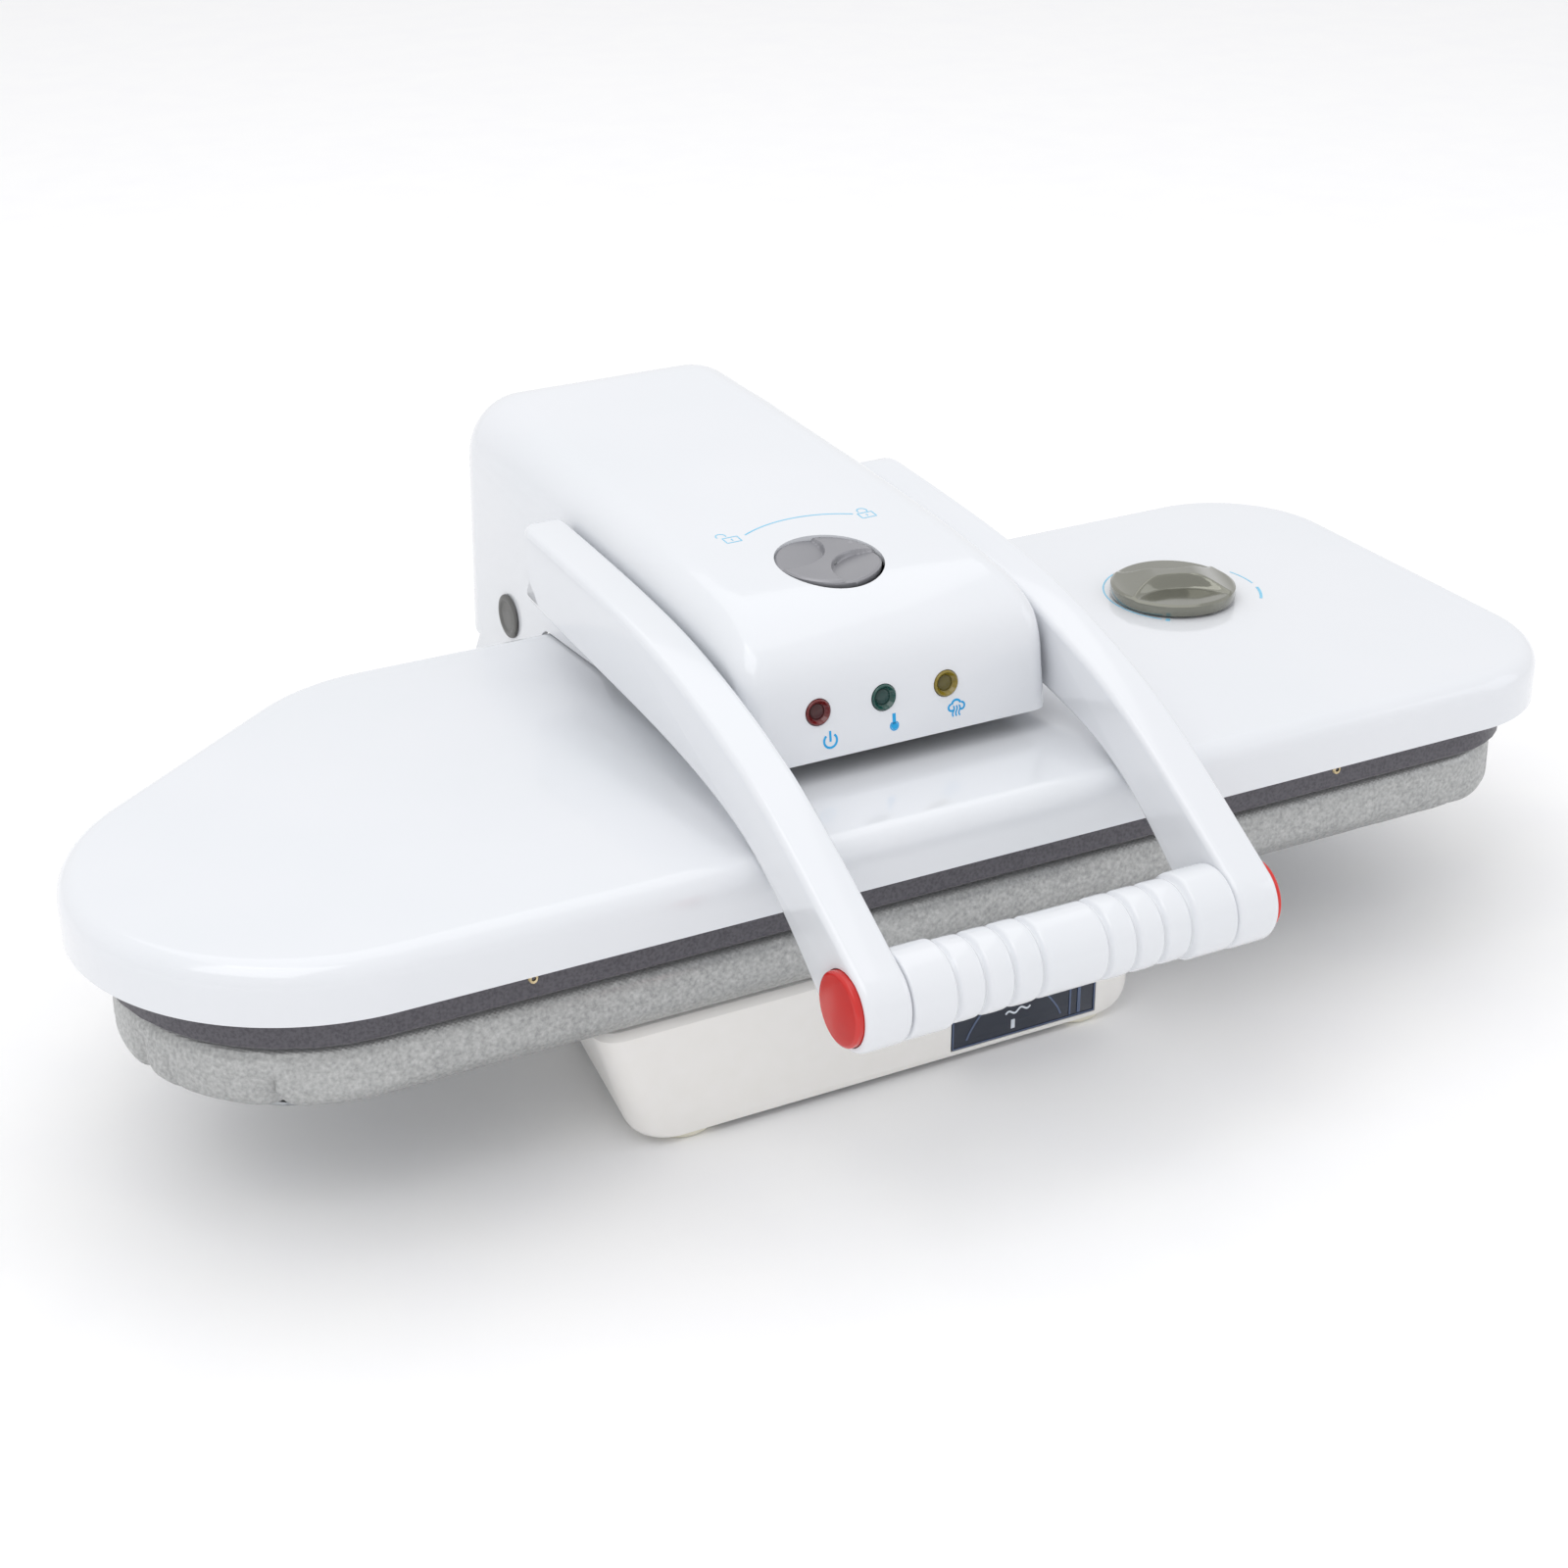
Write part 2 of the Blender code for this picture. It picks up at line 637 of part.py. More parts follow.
def element_path(z):
    """Gives the element's open loop: wide bends at the square end, where a gap parts its two terminals."""
    back = math.pi / 2
    high_y = COVER_BACK_Y - ELEMENT_INSET
    low_y = COVER_FRONT_Y + ELEMENT_INSET
    end_x = COVER_LENGTH / 2 - ELEMENT_INSET
    bend_x = end_x - ELEMENT_BEND
    step = math.radians(22.5)
    route = [(end_x, COVER_CENTRE_Y + ELEMENT_GAP / 2)]
    route += arc((bend_x, high_y - ELEMENT_BEND), ELEMENT_BEND, 0, back, step)
    route += [(x, y) for x, y in plan_outline(ELEMENT_INSET)[::2] if x < bend_x]
    route += arc((bend_x, low_y + ELEMENT_BEND), ELEMENT_BEND, 3 * back, 4 * back, step)
    route.append((end_x, COVER_CENTRE_Y - ELEMENT_GAP / 2))
    corners = [Vector((x, y, z)) for x, y in route]
    path = corners[:1]
    for a, b in zip(corners, corners[1:]):
        count = math.ceil((b - a).length / ELEMENT_STRETCH)
        path += [a.lerp(b, i / count) for i in range(1, count + 1)]
    return path


def shrunk_ring(inset, share, z):
    """Gives the plan outline drawn towards the board's middle by a share, for a crowned top."""
    middle = Vector((0.0, COVER_CENTRE_Y, 0.0))
    return [middle + (point - middle) * share + Vector((0, 0, z)) for point in plan_ring(inset, 0.0)]


# Board: steel tray and padded top


def crowned_rings(rim_z, top_z, crown, fillet, inset, below, step=math.radians(22.5)):
    """Gives the loops of a board-shaped dome: straight side, rounded edge and a slight crown."""
    rings = [plan_ring(inset, rim_z - below), plan_ring(inset, top_z - fillet)]
    for across, up in arc((0.0, 0.0), fillet, 0.0, math.pi / 2, step)[1:]:
        rings.append(plan_ring(inset + fillet - across, top_z - fillet + up))
    for share in (0.72, 0.40, 0.10):
        rings.append(shrunk_ring(inset + fillet, share, top_z + crown * (1.0 - share ** 2)))
    return rings


def make_board():
    """Makes the tray that the base carries and the padded board on it."""
    tray_top = PAD_BOTTOM_Z - SEAT_GAP
    tray = add_piece("board_tray", loft([plan_ring(TRAY_INSET + TRAY_THICKNESS, BASE_TOP_Z + SEAT_GAP),
                                         plan_ring(TRAY_INSET, BASE_TOP_Z + SEAT_GAP + TRAY_THICKNESS),
                                         plan_ring(TRAY_INSET, tray_top)]), "steel")
    vents = []
    for wing_share in TRAY_VENT_WING_SHARES:
        for column in range(TRAY_VENT_COLUMNS):
            for row in range(TRAY_VENT_ROWS):
                across = (column - (TRAY_VENT_COLUMNS - 1) / 2) * TRAY_VENT_PITCH_SHARE
                x = COVER_LENGTH * (wing_share + across)
                y = COVER_CENTRE_Y + (row - (TRAY_VENT_ROWS - 1) / 2) * TRAY_VENT_PITCH
                low = (x, y, BASE_TOP_Z - OVERRUN)
                vents.append(rod(low, (x, y, tray_top + OVERRUN), TRAY_VENT_RADIUS, 8))
    cut(tray, merged(*vents))

    side_low = PAD_BOTTOM_Z + PAD_EDGE_ROLL
    side_high = PAD_TOP_Z - PAD_CROWN - PAD_EDGE_ROLL
    rings = [
        plan_ring(PAD_INSET + PAD_DRAWN_IN, PAD_BOTTOM_Z),
        plan_ring(PAD_INSET + PAD_DRAWN_IN * 0.45, PAD_BOTTOM_Z + PAD_EDGE_ROLL * 0.22),
        plan_ring(PAD_INSET + PAD_DRAWN_IN * 0.12, PAD_BOTTOM_Z + PAD_EDGE_ROLL * 0.62),
        plan_ring(PAD_INSET, side_low + PAD_EDGE_ROLL * 0.5),
        plan_ring(PAD_INSET, side_high),
        plan_ring(PAD_INSET + PAD_EDGE_ROLL * 0.22, side_high + PAD_EDGE_ROLL * 0.62),
        plan_ring(PAD_INSET + PAD_EDGE_ROLL, side_high + PAD_EDGE_ROLL),
    ]
    for share in (0.80, 0.50, 0.12):
        rise = PAD_CROWN * (1.0 - share ** 2)
        rings.append(shrunk_ring(PAD_INSET + PAD_EDGE_ROLL, share, PAD_TOP_Z - PAD_CROWN + rise))
    add_piece("board_pad", loft(rings), "silver_cloth")


# Base housing and what it holds


def base_ring(z, inset=0.0):
    """Gives the base housing's plan loop at one height: slanted ends, a tapered left side and a skirt."""
    height = BASE_TOP_Z - BASE_BOTTOM_Z
    rise = z - BASE_BOTTOM_Z
    edges = []
    for top_x, slant, skirt in ((BASE_LEFT_TOP_X, BASE_LEFT_SLANT, BASE_LEFT_SKIRT_RADIUS),
                                (BASE_RIGHT_TOP_X, BASE_RIGHT_SLANT, BASE_RIGHT_SKIRT_RADIUS)):
        inward = slant * (1.0 - rise / height)
        short = max(0.0, skirt - max(0.0, rise))
        inward += skirt - math.sqrt(skirt ** 2 - short ** 2)
        edges.append(top_x - math.copysign(inward + inset, top_x))
    low = (edges[0], BASE_FRONT_Y + inset)
    high = (edges[1], BASE_BACK_Y - inset)
    outline = rounded_rectangle(low, high, BASE_LEFT_CORNER_RADIUS - inset, BASE_RIGHT_CORNER_RADIUS - inset,
                                math.radians(18))
    lean = BASE_LEFT_TAPER / (high[0] - low[0])
    return [Vector((x + lean * (high[0] - x) * (y - BASE_FRONT_Y), y, z)) for x, y in outline]


def base_levels():
    """Gives the heights at which the base housing's side changes direction."""
    skirt = max(BASE_LEFT_SKIRT_RADIUS, BASE_RIGHT_SKIRT_RADIUS)
    return [BASE_BOTTOM_Z + skirt * (1.0 - math.sin(math.pi / 2 * i / 5)) for i in range(5, -1, -1)]


def make_base_housing():
    """Makes the moulded base with its bay for the tank and its opening for the hinge column."""
    rings = [base_ring(z) for z in base_levels()]
    rings += [base_ring(BASE_TOP_Z - BASE_TOP_FILLET), base_ring(BASE_TOP_Z, BASE_TOP_FILLET)]
    base = add_piece("base_housing", loft(rings), "white_satin")
    inside = [base_ring(z, BASE_WALL) for z in base_levels()]
    inside[0] = [point - Vector((0, 0, OVERRUN)) for point in inside[0]]
    inside.append(base_ring(BASE_TOP_Z - BASE_WALL, BASE_WALL))
    window = block((TANK_LEFT_X, BASE_FRONT_Y - OVERRUN, TANK_WINDOW_Z),
                   (TANK_LEFT_X + TANK_WIDTH, BASE_FRONT_Y + BASE_WALL + OVERRUN, TANK_TOP_Z))
    slot = block((HEAD_CENTRE_X - COLUMN_HALF_WIDTH - BASE_WALL, COLUMN_FRONT_Y - BASE_WALL,
                  BASE_TOP_Z - BASE_WALL - OVERRUN),
                 (HEAD_CENTRE_X + COLUMN_HALF_WIDTH + BASE_WALL, COLUMN_BACK_Y + BASE_WALL,
                  BASE_TOP_Z + OVERRUN))
    gland = rod((GLAND_X, BASE_BACK_Y - BASE_WALL - OVERRUN, GLAND_Z),
                (GLAND_X, BASE_BACK_Y + OVERRUN, GLAND_Z), GLAND_RADIUS + SEAT_GAP, SMALL_SIDES)
    cut(base, loft(inside), window, slot, gland)


def make_base_bottom():
    """Makes the bottom plate, the four rubber feet pushed into it and its screws."""
    low = BASE_PLATE_TOP_Z - BASE_PLATE_THICKNESS
    edge = BASE_WALL + BASE_PLATE_GAP
    plate = add_piece("base_bottom", loft([base_ring(low, edge), base_ring(BASE_PLATE_TOP_Z, edge)]), "steel")
    left_x = min(point.x for point in base_ring(low))
    right_x = max(point.x for point in base_ring(low))
    holes = []
    for across, edge_x, taper in (("left", left_x + FOOT_INSET_X, BASE_LEFT_TAPER), ("right", right_x - FOOT_INSET_X, 0.0)):
        for along, y in (("front", BASE_FRONT_Y + FOOT_INSET_Y), ("rear", BASE_BACK_Y - FOOT_INSET_Y)):
            x = edge_x + taper * (y - BASE_FRONT_Y)
            add_piece(f"foot_{along}_{across}", turned((x, y, 0.0), (0, 0, 1), [
                (0.0, FOOT_RADIUS - FOOT_DRAFT),
                (low - SEAT_GAP, FOOT_RADIUS),
                (low - SEAT_GAP, FOOT_STEM_RADIUS),
                (BASE_PLATE_TOP_Z - SEAT_GAP, FOOT_STEM_RADIUS),
            ]), "ivory_rubber")
            holes.append(rod((x, y, low - OVERRUN), (x, y, BASE_PLATE_TOP_Z + OVERRUN),
                             FOOT_STEM_RADIUS + SEAT_GAP))
    cut(plate, merged(*holes))


def column_outline():
    """Gives the side view of the hinge column: a broad foot that narrows to the eye round the pin."""
    eye = arc((HINGE_Y, HINGE_Z), HINGE_EYE_RADIUS, 0.0, math.pi)
    return ([(COLUMN_FRONT_Y, COLUMN_FOOT_Z), (COLUMN_BACK_Y, COLUMN_FOOT_Z),
             (COLUMN_BACK_Y, HINGE_Z - HINGE_EYE_RADIUS)]
            + eye + [(COLUMN_FRONT_Y, BASE_TOP_Z)])


def make_hinge_column():
    """Makes the folded steel column, its screws, its plastic shroud and the hinge pins."""
    cx = HEAD_CENTRE_X
    column = add_piece("hinge_column", extruded(column_outline(), cx - COLUMN_HALF_WIDTH,
                                                cx + COLUMN_HALF_WIDTH), "steel")
    inner = COLUMN_HALF_WIDTH - SHEET_STEEL
    hollow = block((cx - inner, COLUMN_FRONT_Y - COLUMN_DEPTH, COLUMN_FOOT_Z + SHEET_STEEL),
                   (cx + inner, COLUMN_BACK_Y - SHEET_STEEL, HINGE_Z + HINGE_EYE_RADIUS + OVERRUN))
    mouth = block((cx - inner, COLUMN_FRONT_Y, HINGE_Z - COLUMN_MOUTH),
                  (cx + inner, HINGE_Y + COLUMN_DEPTH, HINGE_Z + HINGE_EYE_RADIUS + OVERRUN))
    pin_bore = rod((cx - COLUMN_HALF_WIDTH - OVERRUN, HINGE_Y, HINGE_Z),
                   (cx + COLUMN_HALF_WIDTH + OVERRUN, HINGE_Y, HINGE_Z), HINGE_PIN_RADIUS + SEAT_GAP)
    cut(column, hollow, mouth, pin_bore)
    flange = block((cx - COLUMN_HALF_WIDTH - COLUMN_FLANGE, COLUMN_FRONT_Y, COLUMN_FOOT_Z),
                   (cx + COLUMN_HALF_WIDTH + COLUMN_FLANGE, COLUMN_BACK_Y, COLUMN_FOOT_Z + SHEET_STEEL))
    fuse(column, flange)
    low = (cx - SHROUD_HALF_WIDTH, COLUMN_FRONT_Y - SHROUD_GAP - BASE_WALL)
    high = (cx + SHROUD_HALF_WIDTH, COLUMN_BACK_Y + SHROUD_GAP + SHROUD_WALL)
    outer = rounded_rectangle(low, high, SHROUD_CORNER, SHROUD_CORNER, math.radians(22.5))
    inner_low = (low[0] + SHROUD_WALL, low[1] + SHROUD_WALL)
    inner_high = (high[0] - SHROUD_WALL, high[1] - SHROUD_WALL)
    inner_corner = SHROUD_CORNER - SHROUD_WALL
    inner = rounded_rectangle(inner_low, inner_high, inner_corner, inner_corner, math.radians(22.5))
    shroud = add_piece("column_shroud", extruded(outer, BASE_TOP_Z + SEAT_GAP, SHROUD_TOP_Z, "Z"),
                       "white_satin")
    cut(shroud, extruded(inner, BASE_TOP_Z - OVERRUN, SHROUD_TOP_Z + OVERRUN, "Z"))

    for side, name in ((-1, "left"), (1, "right")):
        outside = cx + side * PIN_HEAD_X
        add_piece(f"hinge_pin_{name}", turned((outside, HINGE_Y, HINGE_Z), (-side, 0, 0), [
            (-HINGE_PIN_HEAD, HINGE_PIN_HEAD_RADIUS - HINGE_PIN_HEAD / 4),
            (-HINGE_PIN_HEAD * 0.6, HINGE_PIN_HEAD_RADIUS),
            (0.0, HINGE_PIN_HEAD_RADIUS),
            (0.0, HINGE_PIN_RADIUS),
            (PIN_HEAD_X - PIN_INNER_X, HINGE_PIN_RADIUS),
        ]), "steel")
    add_piece("lift_spring", lift_spring(1), "spring_steel")


def lift_spring(side):
    """Makes one torsion spring round a hinge pin: a leg down the column, the coil and a short free leg."""
    start_x = HEAD_CENTRE_X + side * (COLUMN_HALF_WIDTH - SHEET_STEEL - SPRING_WIRE - SEAT_GAP)
    coil = []
    count = int(SPRING_TURNS * SPRING_POINTS)
    for i in range(count + 1):
        angle = 2 * math.pi * SPRING_TURNS * i / count
        x = start_x - side * (SPRING_LENGTH * i / count)
        coil.append((x, HINGE_Y + SPRING_RADIUS * math.cos(angle), HINGE_Z + SPRING_RADIUS * math.sin(angle)))
    leg_down = [(start_x, HINGE_Y + SPRING_RADIUS, HINGE_Z - SPRING_LEG),
                (start_x, HINGE_Y + SPRING_RADIUS, HINGE_Z - SPRING_RADIUS / 2)]
    end_x = coil[-1][0]
    leg_up = [(end_x, HINGE_Y - SPRING_RADIUS, HINGE_Z - SPRING_RADIUS / 2),
              (end_x, HINGE_Y - SPRING_RADIUS, HINGE_Z - SPRING_RADIUS)]
    return swept(leg_down + coil + leg_up, SPRING_WIRE, 5)


def make_tank_bay():
    """Makes the runner tray for the water tank, the hose from it, the pump and its bracket."""
    left = TANK_LEFT_X + SEAT_GAP
    right = TANK_LEFT_X + TANK_WIDTH - SEAT_GAP
    front = BASE_FRONT_Y + BASE_WALL + SEAT_GAP
    back = BASE_FRONT_Y + TANK_DEPTH
    bay_low = BASE_PLATE_TOP_Z + SEAT_GAP
    bay = add_piece("tank_bay", block((left - BAY_WALL, front, bay_low),
                                      (right + BAY_WALL, back + SEAT_GAP + BAY_WALL, BAY_TOP_Z)), "white_satin")
    valve_centre = (TANK_MIDDLE_X, back, VALVE_Z)
    cut(bay, block((left, front - OVERRUN, TANK_BOTTOM_Z - SEAT_GAP), (right, back + SEAT_GAP, BAY_TOP_Z + OVERRUN)),
        rod(valve_centre, (TANK_MIDDLE_X, back + BAY_WALL + OVERRUN, VALVE_Z), VALVE_RADIUS + SEAT_GAP))

    pump_front = PUMP_Y - PUMP_LENGTH / 2
    pump_back = PUMP_Y + PUMP_LENGTH / 2
    pump = turned((PUMP_X, pump_front, PUMP_Z), (0, 1, 0), [
        (-PUMP_NOSE, PUMP_NOSE_RADIUS),
        (0.0, PUMP_NOSE_RADIUS),
        (0.0, PUMP_RADIUS * 0.7),
        (PUMP_LENGTH * 0.22, PUMP_RADIUS * 0.7),
        (PUMP_LENGTH * 0.22, PUMP_RADIUS),
        (PUMP_LENGTH * 0.78, PUMP_RADIUS),
        (PUMP_LENGTH * 0.78, PUMP_RADIUS * 0.7),
        (PUMP_LENGTH, PUMP_RADIUS * 0.7),
        (PUMP_LENGTH, PUMP_NOSE_RADIUS),
        (PUMP_LENGTH + PUMP_NOSE, PUMP_NOSE_RADIUS),
    ], SMALL_SIDES)
    add_piece("pump", pump, "black_plastic")
    saddle = add_piece("pump_bracket", block(
        (PUMP_X - PUMP_RADIUS * 1.2, PUMP_Y - PUMP_LENGTH * 0.2, bay_low),
        (PUMP_X + PUMP_RADIUS * 1.2, PUMP_Y + PUMP_LENGTH * 0.2, PUMP_Z)), "plug_grey")
    cut(saddle, rod((PUMP_X, pump_front, PUMP_Z), (PUMP_X, pump_back, PUMP_Z), PUMP_RADIUS + SEAT_GAP))

    tank_end = back + VALVE_LENGTH + SEAT_GAP
    hose_back_y = pump_back + PUMP_NOSE + SEAT_GAP
    feed = [(TANK_MIDDLE_X, tank_end, VALVE_Z), (TANK_MIDDLE_X, tank_end + HOSE_LEAD, VALVE_Z),
            (TANK_MIDDLE_X - HOSE_BEND, hose_back_y + HOSE_LEAD * 1.8, VALVE_Z),
            (TANK_MIDDLE_X - HOSE_BEND * 3, hose_back_y + HOSE_LEAD * 2.2, VALVE_Z),
            (PUMP_X + HOSE_BEND, hose_back_y + HOSE_LEAD * 2, PUMP_Z - HOSE_RADIUS),
            (PUMP_X, hose_back_y + HOSE_LEAD, PUMP_Z), (PUMP_X, hose_back_y, PUMP_Z)]
    add_piece("feed_hose", swept(smooth_path(feed), HOSE_RADIUS, 8), "silicone")
    hose_front_y = pump_front - PUMP_NOSE - SEAT_GAP
    delivery = [(PUMP_X, hose_front_y, PUMP_Z), (PUMP_X, hose_front_y - HOSE_LEAD, PUMP_Z),
                (PUMP_X + HOSE_BEND, hose_front_y - HOSE_LEAD * 1.6, PUMP_Z + HOSE_RADIUS * 2),
                (PUMP_X + HOSE_BEND * 1.9, hose_front_y, PUMP_Z + HOSE_RADIUS * 4),
                (RISER_X - HOSE_LEAD, COVER_CENTRE_Y, PUMP_Z + HOSE_RADIUS * 4),
                (RISER_X, COLUMN_FRONT_Y - HOSE_LEAD, PUMP_Z + HOSE_RADIUS * 4),
                (RISER_X, HINGE_Y - HOSE_RADIUS * 2, PUMP_Z + HOSE_RADIUS * 7),
                (RISER_X, HINGE_Y, (BASE_TOP_Z + HINGE_Z) / 2),
                (RISER_X, HINGE_Y, HINGE_Z - RISER_BEND * 1.4),
                (RISER_X + RISER_BEND * 0.3, HINGE_Y, HINGE_Z - RISER_BEND * 0.3),
                (HEAD_CENTRE_X - RISER_BEND * 0.4, HINGE_Y, HINGE_Z), (HEAD_CENTRE_X - SEAT_GAP / 2, HINGE_Y, HINGE_Z)]
    add_piece("steam_hose_lower", swept(smooth_path(delivery), HOSE_RADIUS, 8), "silicone")


def make_base_electrics():
    """Makes the control board on its stand-offs and the gland where a mains lead would enter."""
    low = BASE_PLATE_TOP_Z + SEAT_GAP
    deck = low + BOARD_STANDOFF
    board = add_piece("control_board", block((BOARD_X, BOARD_Y, deck), (BOARD_X + BOARD_LENGTH,
                                             BOARD_Y + BOARD_WIDTH, deck + BOARD_THICKNESS)), "circuit_board")
    legs = []
    for x in (BOARD_X + BOARD_STANDOFF, BOARD_X + BOARD_LENGTH - BOARD_STANDOFF):
        for y in (BOARD_Y + BOARD_STANDOFF, BOARD_Y + BOARD_WIDTH - BOARD_STANDOFF):
            legs.append(rod((x, y, low), (x, y, deck + BOARD_THICKNESS * 0.5), SCREW_RADIUS, 8))
    transformer = block((BOARD_X + BOARD_LENGTH * 0.12, BOARD_Y + BOARD_WIDTH * 0.2, deck + BOARD_THICKNESS * 0.5),
                        (BOARD_X + BOARD_LENGTH * 0.46, BOARD_Y + BOARD_WIDTH * 0.7, deck + BOARD_PARTS))
    relay = block((BOARD_X + BOARD_LENGTH * 0.6, BOARD_Y + BOARD_WIDTH * 0.25, deck + BOARD_THICKNESS * 0.5),
                  (BOARD_X + BOARD_LENGTH * 0.82, BOARD_Y + BOARD_WIDTH * 0.6, deck + BOARD_PARTS * 0.7))
    fuse(board, merged(*legs), transformer, relay)
    inside_y = BASE_BACK_Y - BASE_WALL - GLAND_FLANGE
    add_piece("cord_gland", turned((GLAND_X, inside_y, GLAND_Z), (0, 1, 0), [
        (0.0, GLAND_BORE),
        (0.0, GLAND_RADIUS),
        (GLAND_FLANGE + BASE_WALL + SEAT_GAP, GLAND_RADIUS),
        (GLAND_FLANGE + BASE_WALL + SEAT_GAP, GLAND_RADIUS + GLAND_FLANGE),
        (GLAND_FLANGE * 2 + BASE_WALL, GLAND_RADIUS + GLAND_FLANGE * 0.8),
        (GLAND_FLANGE * 2 + BASE_WALL, GLAND_BORE),
    ], SMALL_SIDES, hollow=True), "black_plastic")


def make_water_tank(body):
    """Makes the slide-out tank, its part lid and the valve on its back."""
    front = BASE_FRONT_Y
    back = front + TANK_DEPTH
    left = TANK_LEFT_X + SEAT_GAP * 2
    right = TANK_LEFT_X + TANK_WIDTH - SEAT_GAP * 2
    top = TANK_TOP_Z - SEAT_GAP
    side = [(front, TANK_WINDOW_Z + SEAT_GAP), (front + TANK_WALL, TANK_WINDOW_Z + SEAT_GAP),
            (front + TANK_WALL, TANK_BOTTOM_Z), (back, TANK_BOTTOM_Z), (back, top), (front, top)]
    tank = add_piece("water_tank", extruded(side, left, right), "smoked_clear", body)
    cavity = block((left + TANK_WALL, front + TANK_WALL, TANK_BOTTOM_Z + TANK_WALL),
                   (right - TANK_WALL, back - TANK_WALL, top + OVERRUN))
    rebate = block((left + TANK_WALL / 2, back - TANK_DEPTH * TANK_LID_SHARE, top - TANK_LID_THICKNESS),
                   (right - TANK_WALL / 2, back - TANK_WALL / 2, top + OVERRUN))
    valve_hole = rod((TANK_MIDDLE_X, back - TANK_WALL - OVERRUN, VALVE_Z),
                     (TANK_MIDDLE_X, back + OVERRUN, VALVE_Z), VALVE_STEM_RADIUS + SEAT_GAP, SMALL_SIDES)
    cut(tank, cavity, rebate, valve_hole)
    add_piece("tank_lid", block(
        (left + TANK_WALL / 2 + SEAT_GAP, back - TANK_DEPTH * TANK_LID_SHARE + SEAT_GAP,
         top - TANK_LID_THICKNESS + SEAT_GAP),
        (right - TANK_WALL / 2 - SEAT_GAP, back - TANK_WALL / 2 - SEAT_GAP, top)), "smoked_clear", body)
    add_piece("tank_valve", turned((TANK_MIDDLE_X, back - TANK_WALL - VALVE_FLANGE, VALVE_Z), (0, 1, 0), [
        (0.0, VALVE_RADIUS),
        (VALVE_FLANGE - SEAT_GAP, VALVE_RADIUS),
        (VALVE_FLANGE - SEAT_GAP, VALVE_STEM_RADIUS),
        (VALVE_FLANGE + TANK_WALL + VALVE_LENGTH, VALVE_STEM_RADIUS),
    ], SMALL_SIDES), "nylon", body)


# Lifting arm, head cover and what they hold


def head_rise_at(y):
    """Reads the head's height above its lower edge at a place along Y."""
    length = HEAD_BACK_Y - HEAD_FRONT_Y
    return (HEAD_TOP_Z - HEAD_BOTTOM_Z) * interpolate(HEAD_PROFILE_SHARES, (y - HEAD_FRONT_Y) / length)


def head_profile(inset):
    """Gives the head's side profile from its front lower edge over the top to its rear lower edge.

    Each entry is (y, z, inward y, inward z, fillet): a point, its inward normal and the radius with
    which the side turns into the top there.
    """
    length = HEAD_BACK_Y - HEAD_FRONT_Y
    height = HEAD_TOP_Z - HEAD_BOTTOM_Z
    points = [(HEAD_FRONT_Y + share * length, HEAD_BOTTOM_Z + rise * height)
              for share, rise in HEAD_PROFILE_SHARES]
    points += arc((HEAD_BACK_Y - HEAD_REAR_FILLET, HEAD_TOP_Z - HEAD_REAR_FILLET), HEAD_REAR_FILLET,
                  math.pi / 2, 0.0, math.radians(18))
    points.append((HEAD_BACK_Y, HEAD_EAR_BOTTOM_Z + HEAD_EAR_REAR_RISE))
    profile = []
    for i, (y, z) in enumerate(points):
        before = Vector(points[max(0, i - 1)])
        after = Vector(points[min(len(points) - 1, i + 1)])
        along = (after - before).normalized()
        inward = Vector((along.y, -along.x))
        if i == 0:
            inward = Vector((1.0, 0.0))
        share = (y - HEAD_FRONT_Y) / length
        fillet = interpolate(((0.0, HEAD_FRONT_FILLET), (HEAD_FILLET_SHARES[0], HEAD_SIDE_FILLET),
                              (HEAD_FILLET_SHARES[1], HEAD_SIDE_FILLET * HEAD_FILLET_SWELL),
                              (1.0, HEAD_REAR_FILLET)), share)
        profile.append((y + inward.x * inset, z + inward.y * inset, inward.x, inward.y, fillet - inset))
    return profile


def head_solid(wall):
    """Makes the head's outer form, or with a wall the space inside it, open below and behind."""
    half = HEAD_WIDTH / 2 - wall
    height = HEAD_TOP_Z - HEAD_BOTTOM_Z
    over = OVERRUN if wall > 0 else 0.0
    profile = head_profile(wall)
    ear_front = COVER_BACK_Y + HEAD_EAR_FRONT - over
    ear_kink = HEAD_BACK_Y - HEAD_EAR_REAR_LENGTH
    rings = []
    turns = [math.pi / 2 * i / 4 for i in range(5)]
    for side, angles in ((-1, turns), (1, list(reversed(turns)))):
        for angle in angles:
            ring = []
            for i, (y, z, in_y, in_z, fillet) in enumerate(profile):
                draw = fillet * (1.0 - math.sin(angle))
                level = z + in_z * draw
                if i in (0, len(profile) - 1):
                    level = z - over
                spread = half - fillet * (1.0 - math.cos(angle))
                taper = 1.0 - HEAD_DRAFT / half * (level - HEAD_BOTTOM_Z) / height
                ring.append(Vector((HEAD_CENTRE_X + side * spread * taper, y + in_y * draw, level)))
            for y, z in ((ear_kink, HEAD_EAR_BOTTOM_Z - over), (ear_front, HEAD_EAR_BOTTOM_Z - over),
                         (ear_front, HEAD_BOTTOM_Z - over)):
                taper = 1.0 - HEAD_DRAFT / half * (z - HEAD_BOTTOM_Z) / height
                ring.append(Vector((HEAD_CENTRE_X + side * half * taper, y, z)))
            rings.append(ring)
    return loft(rings)


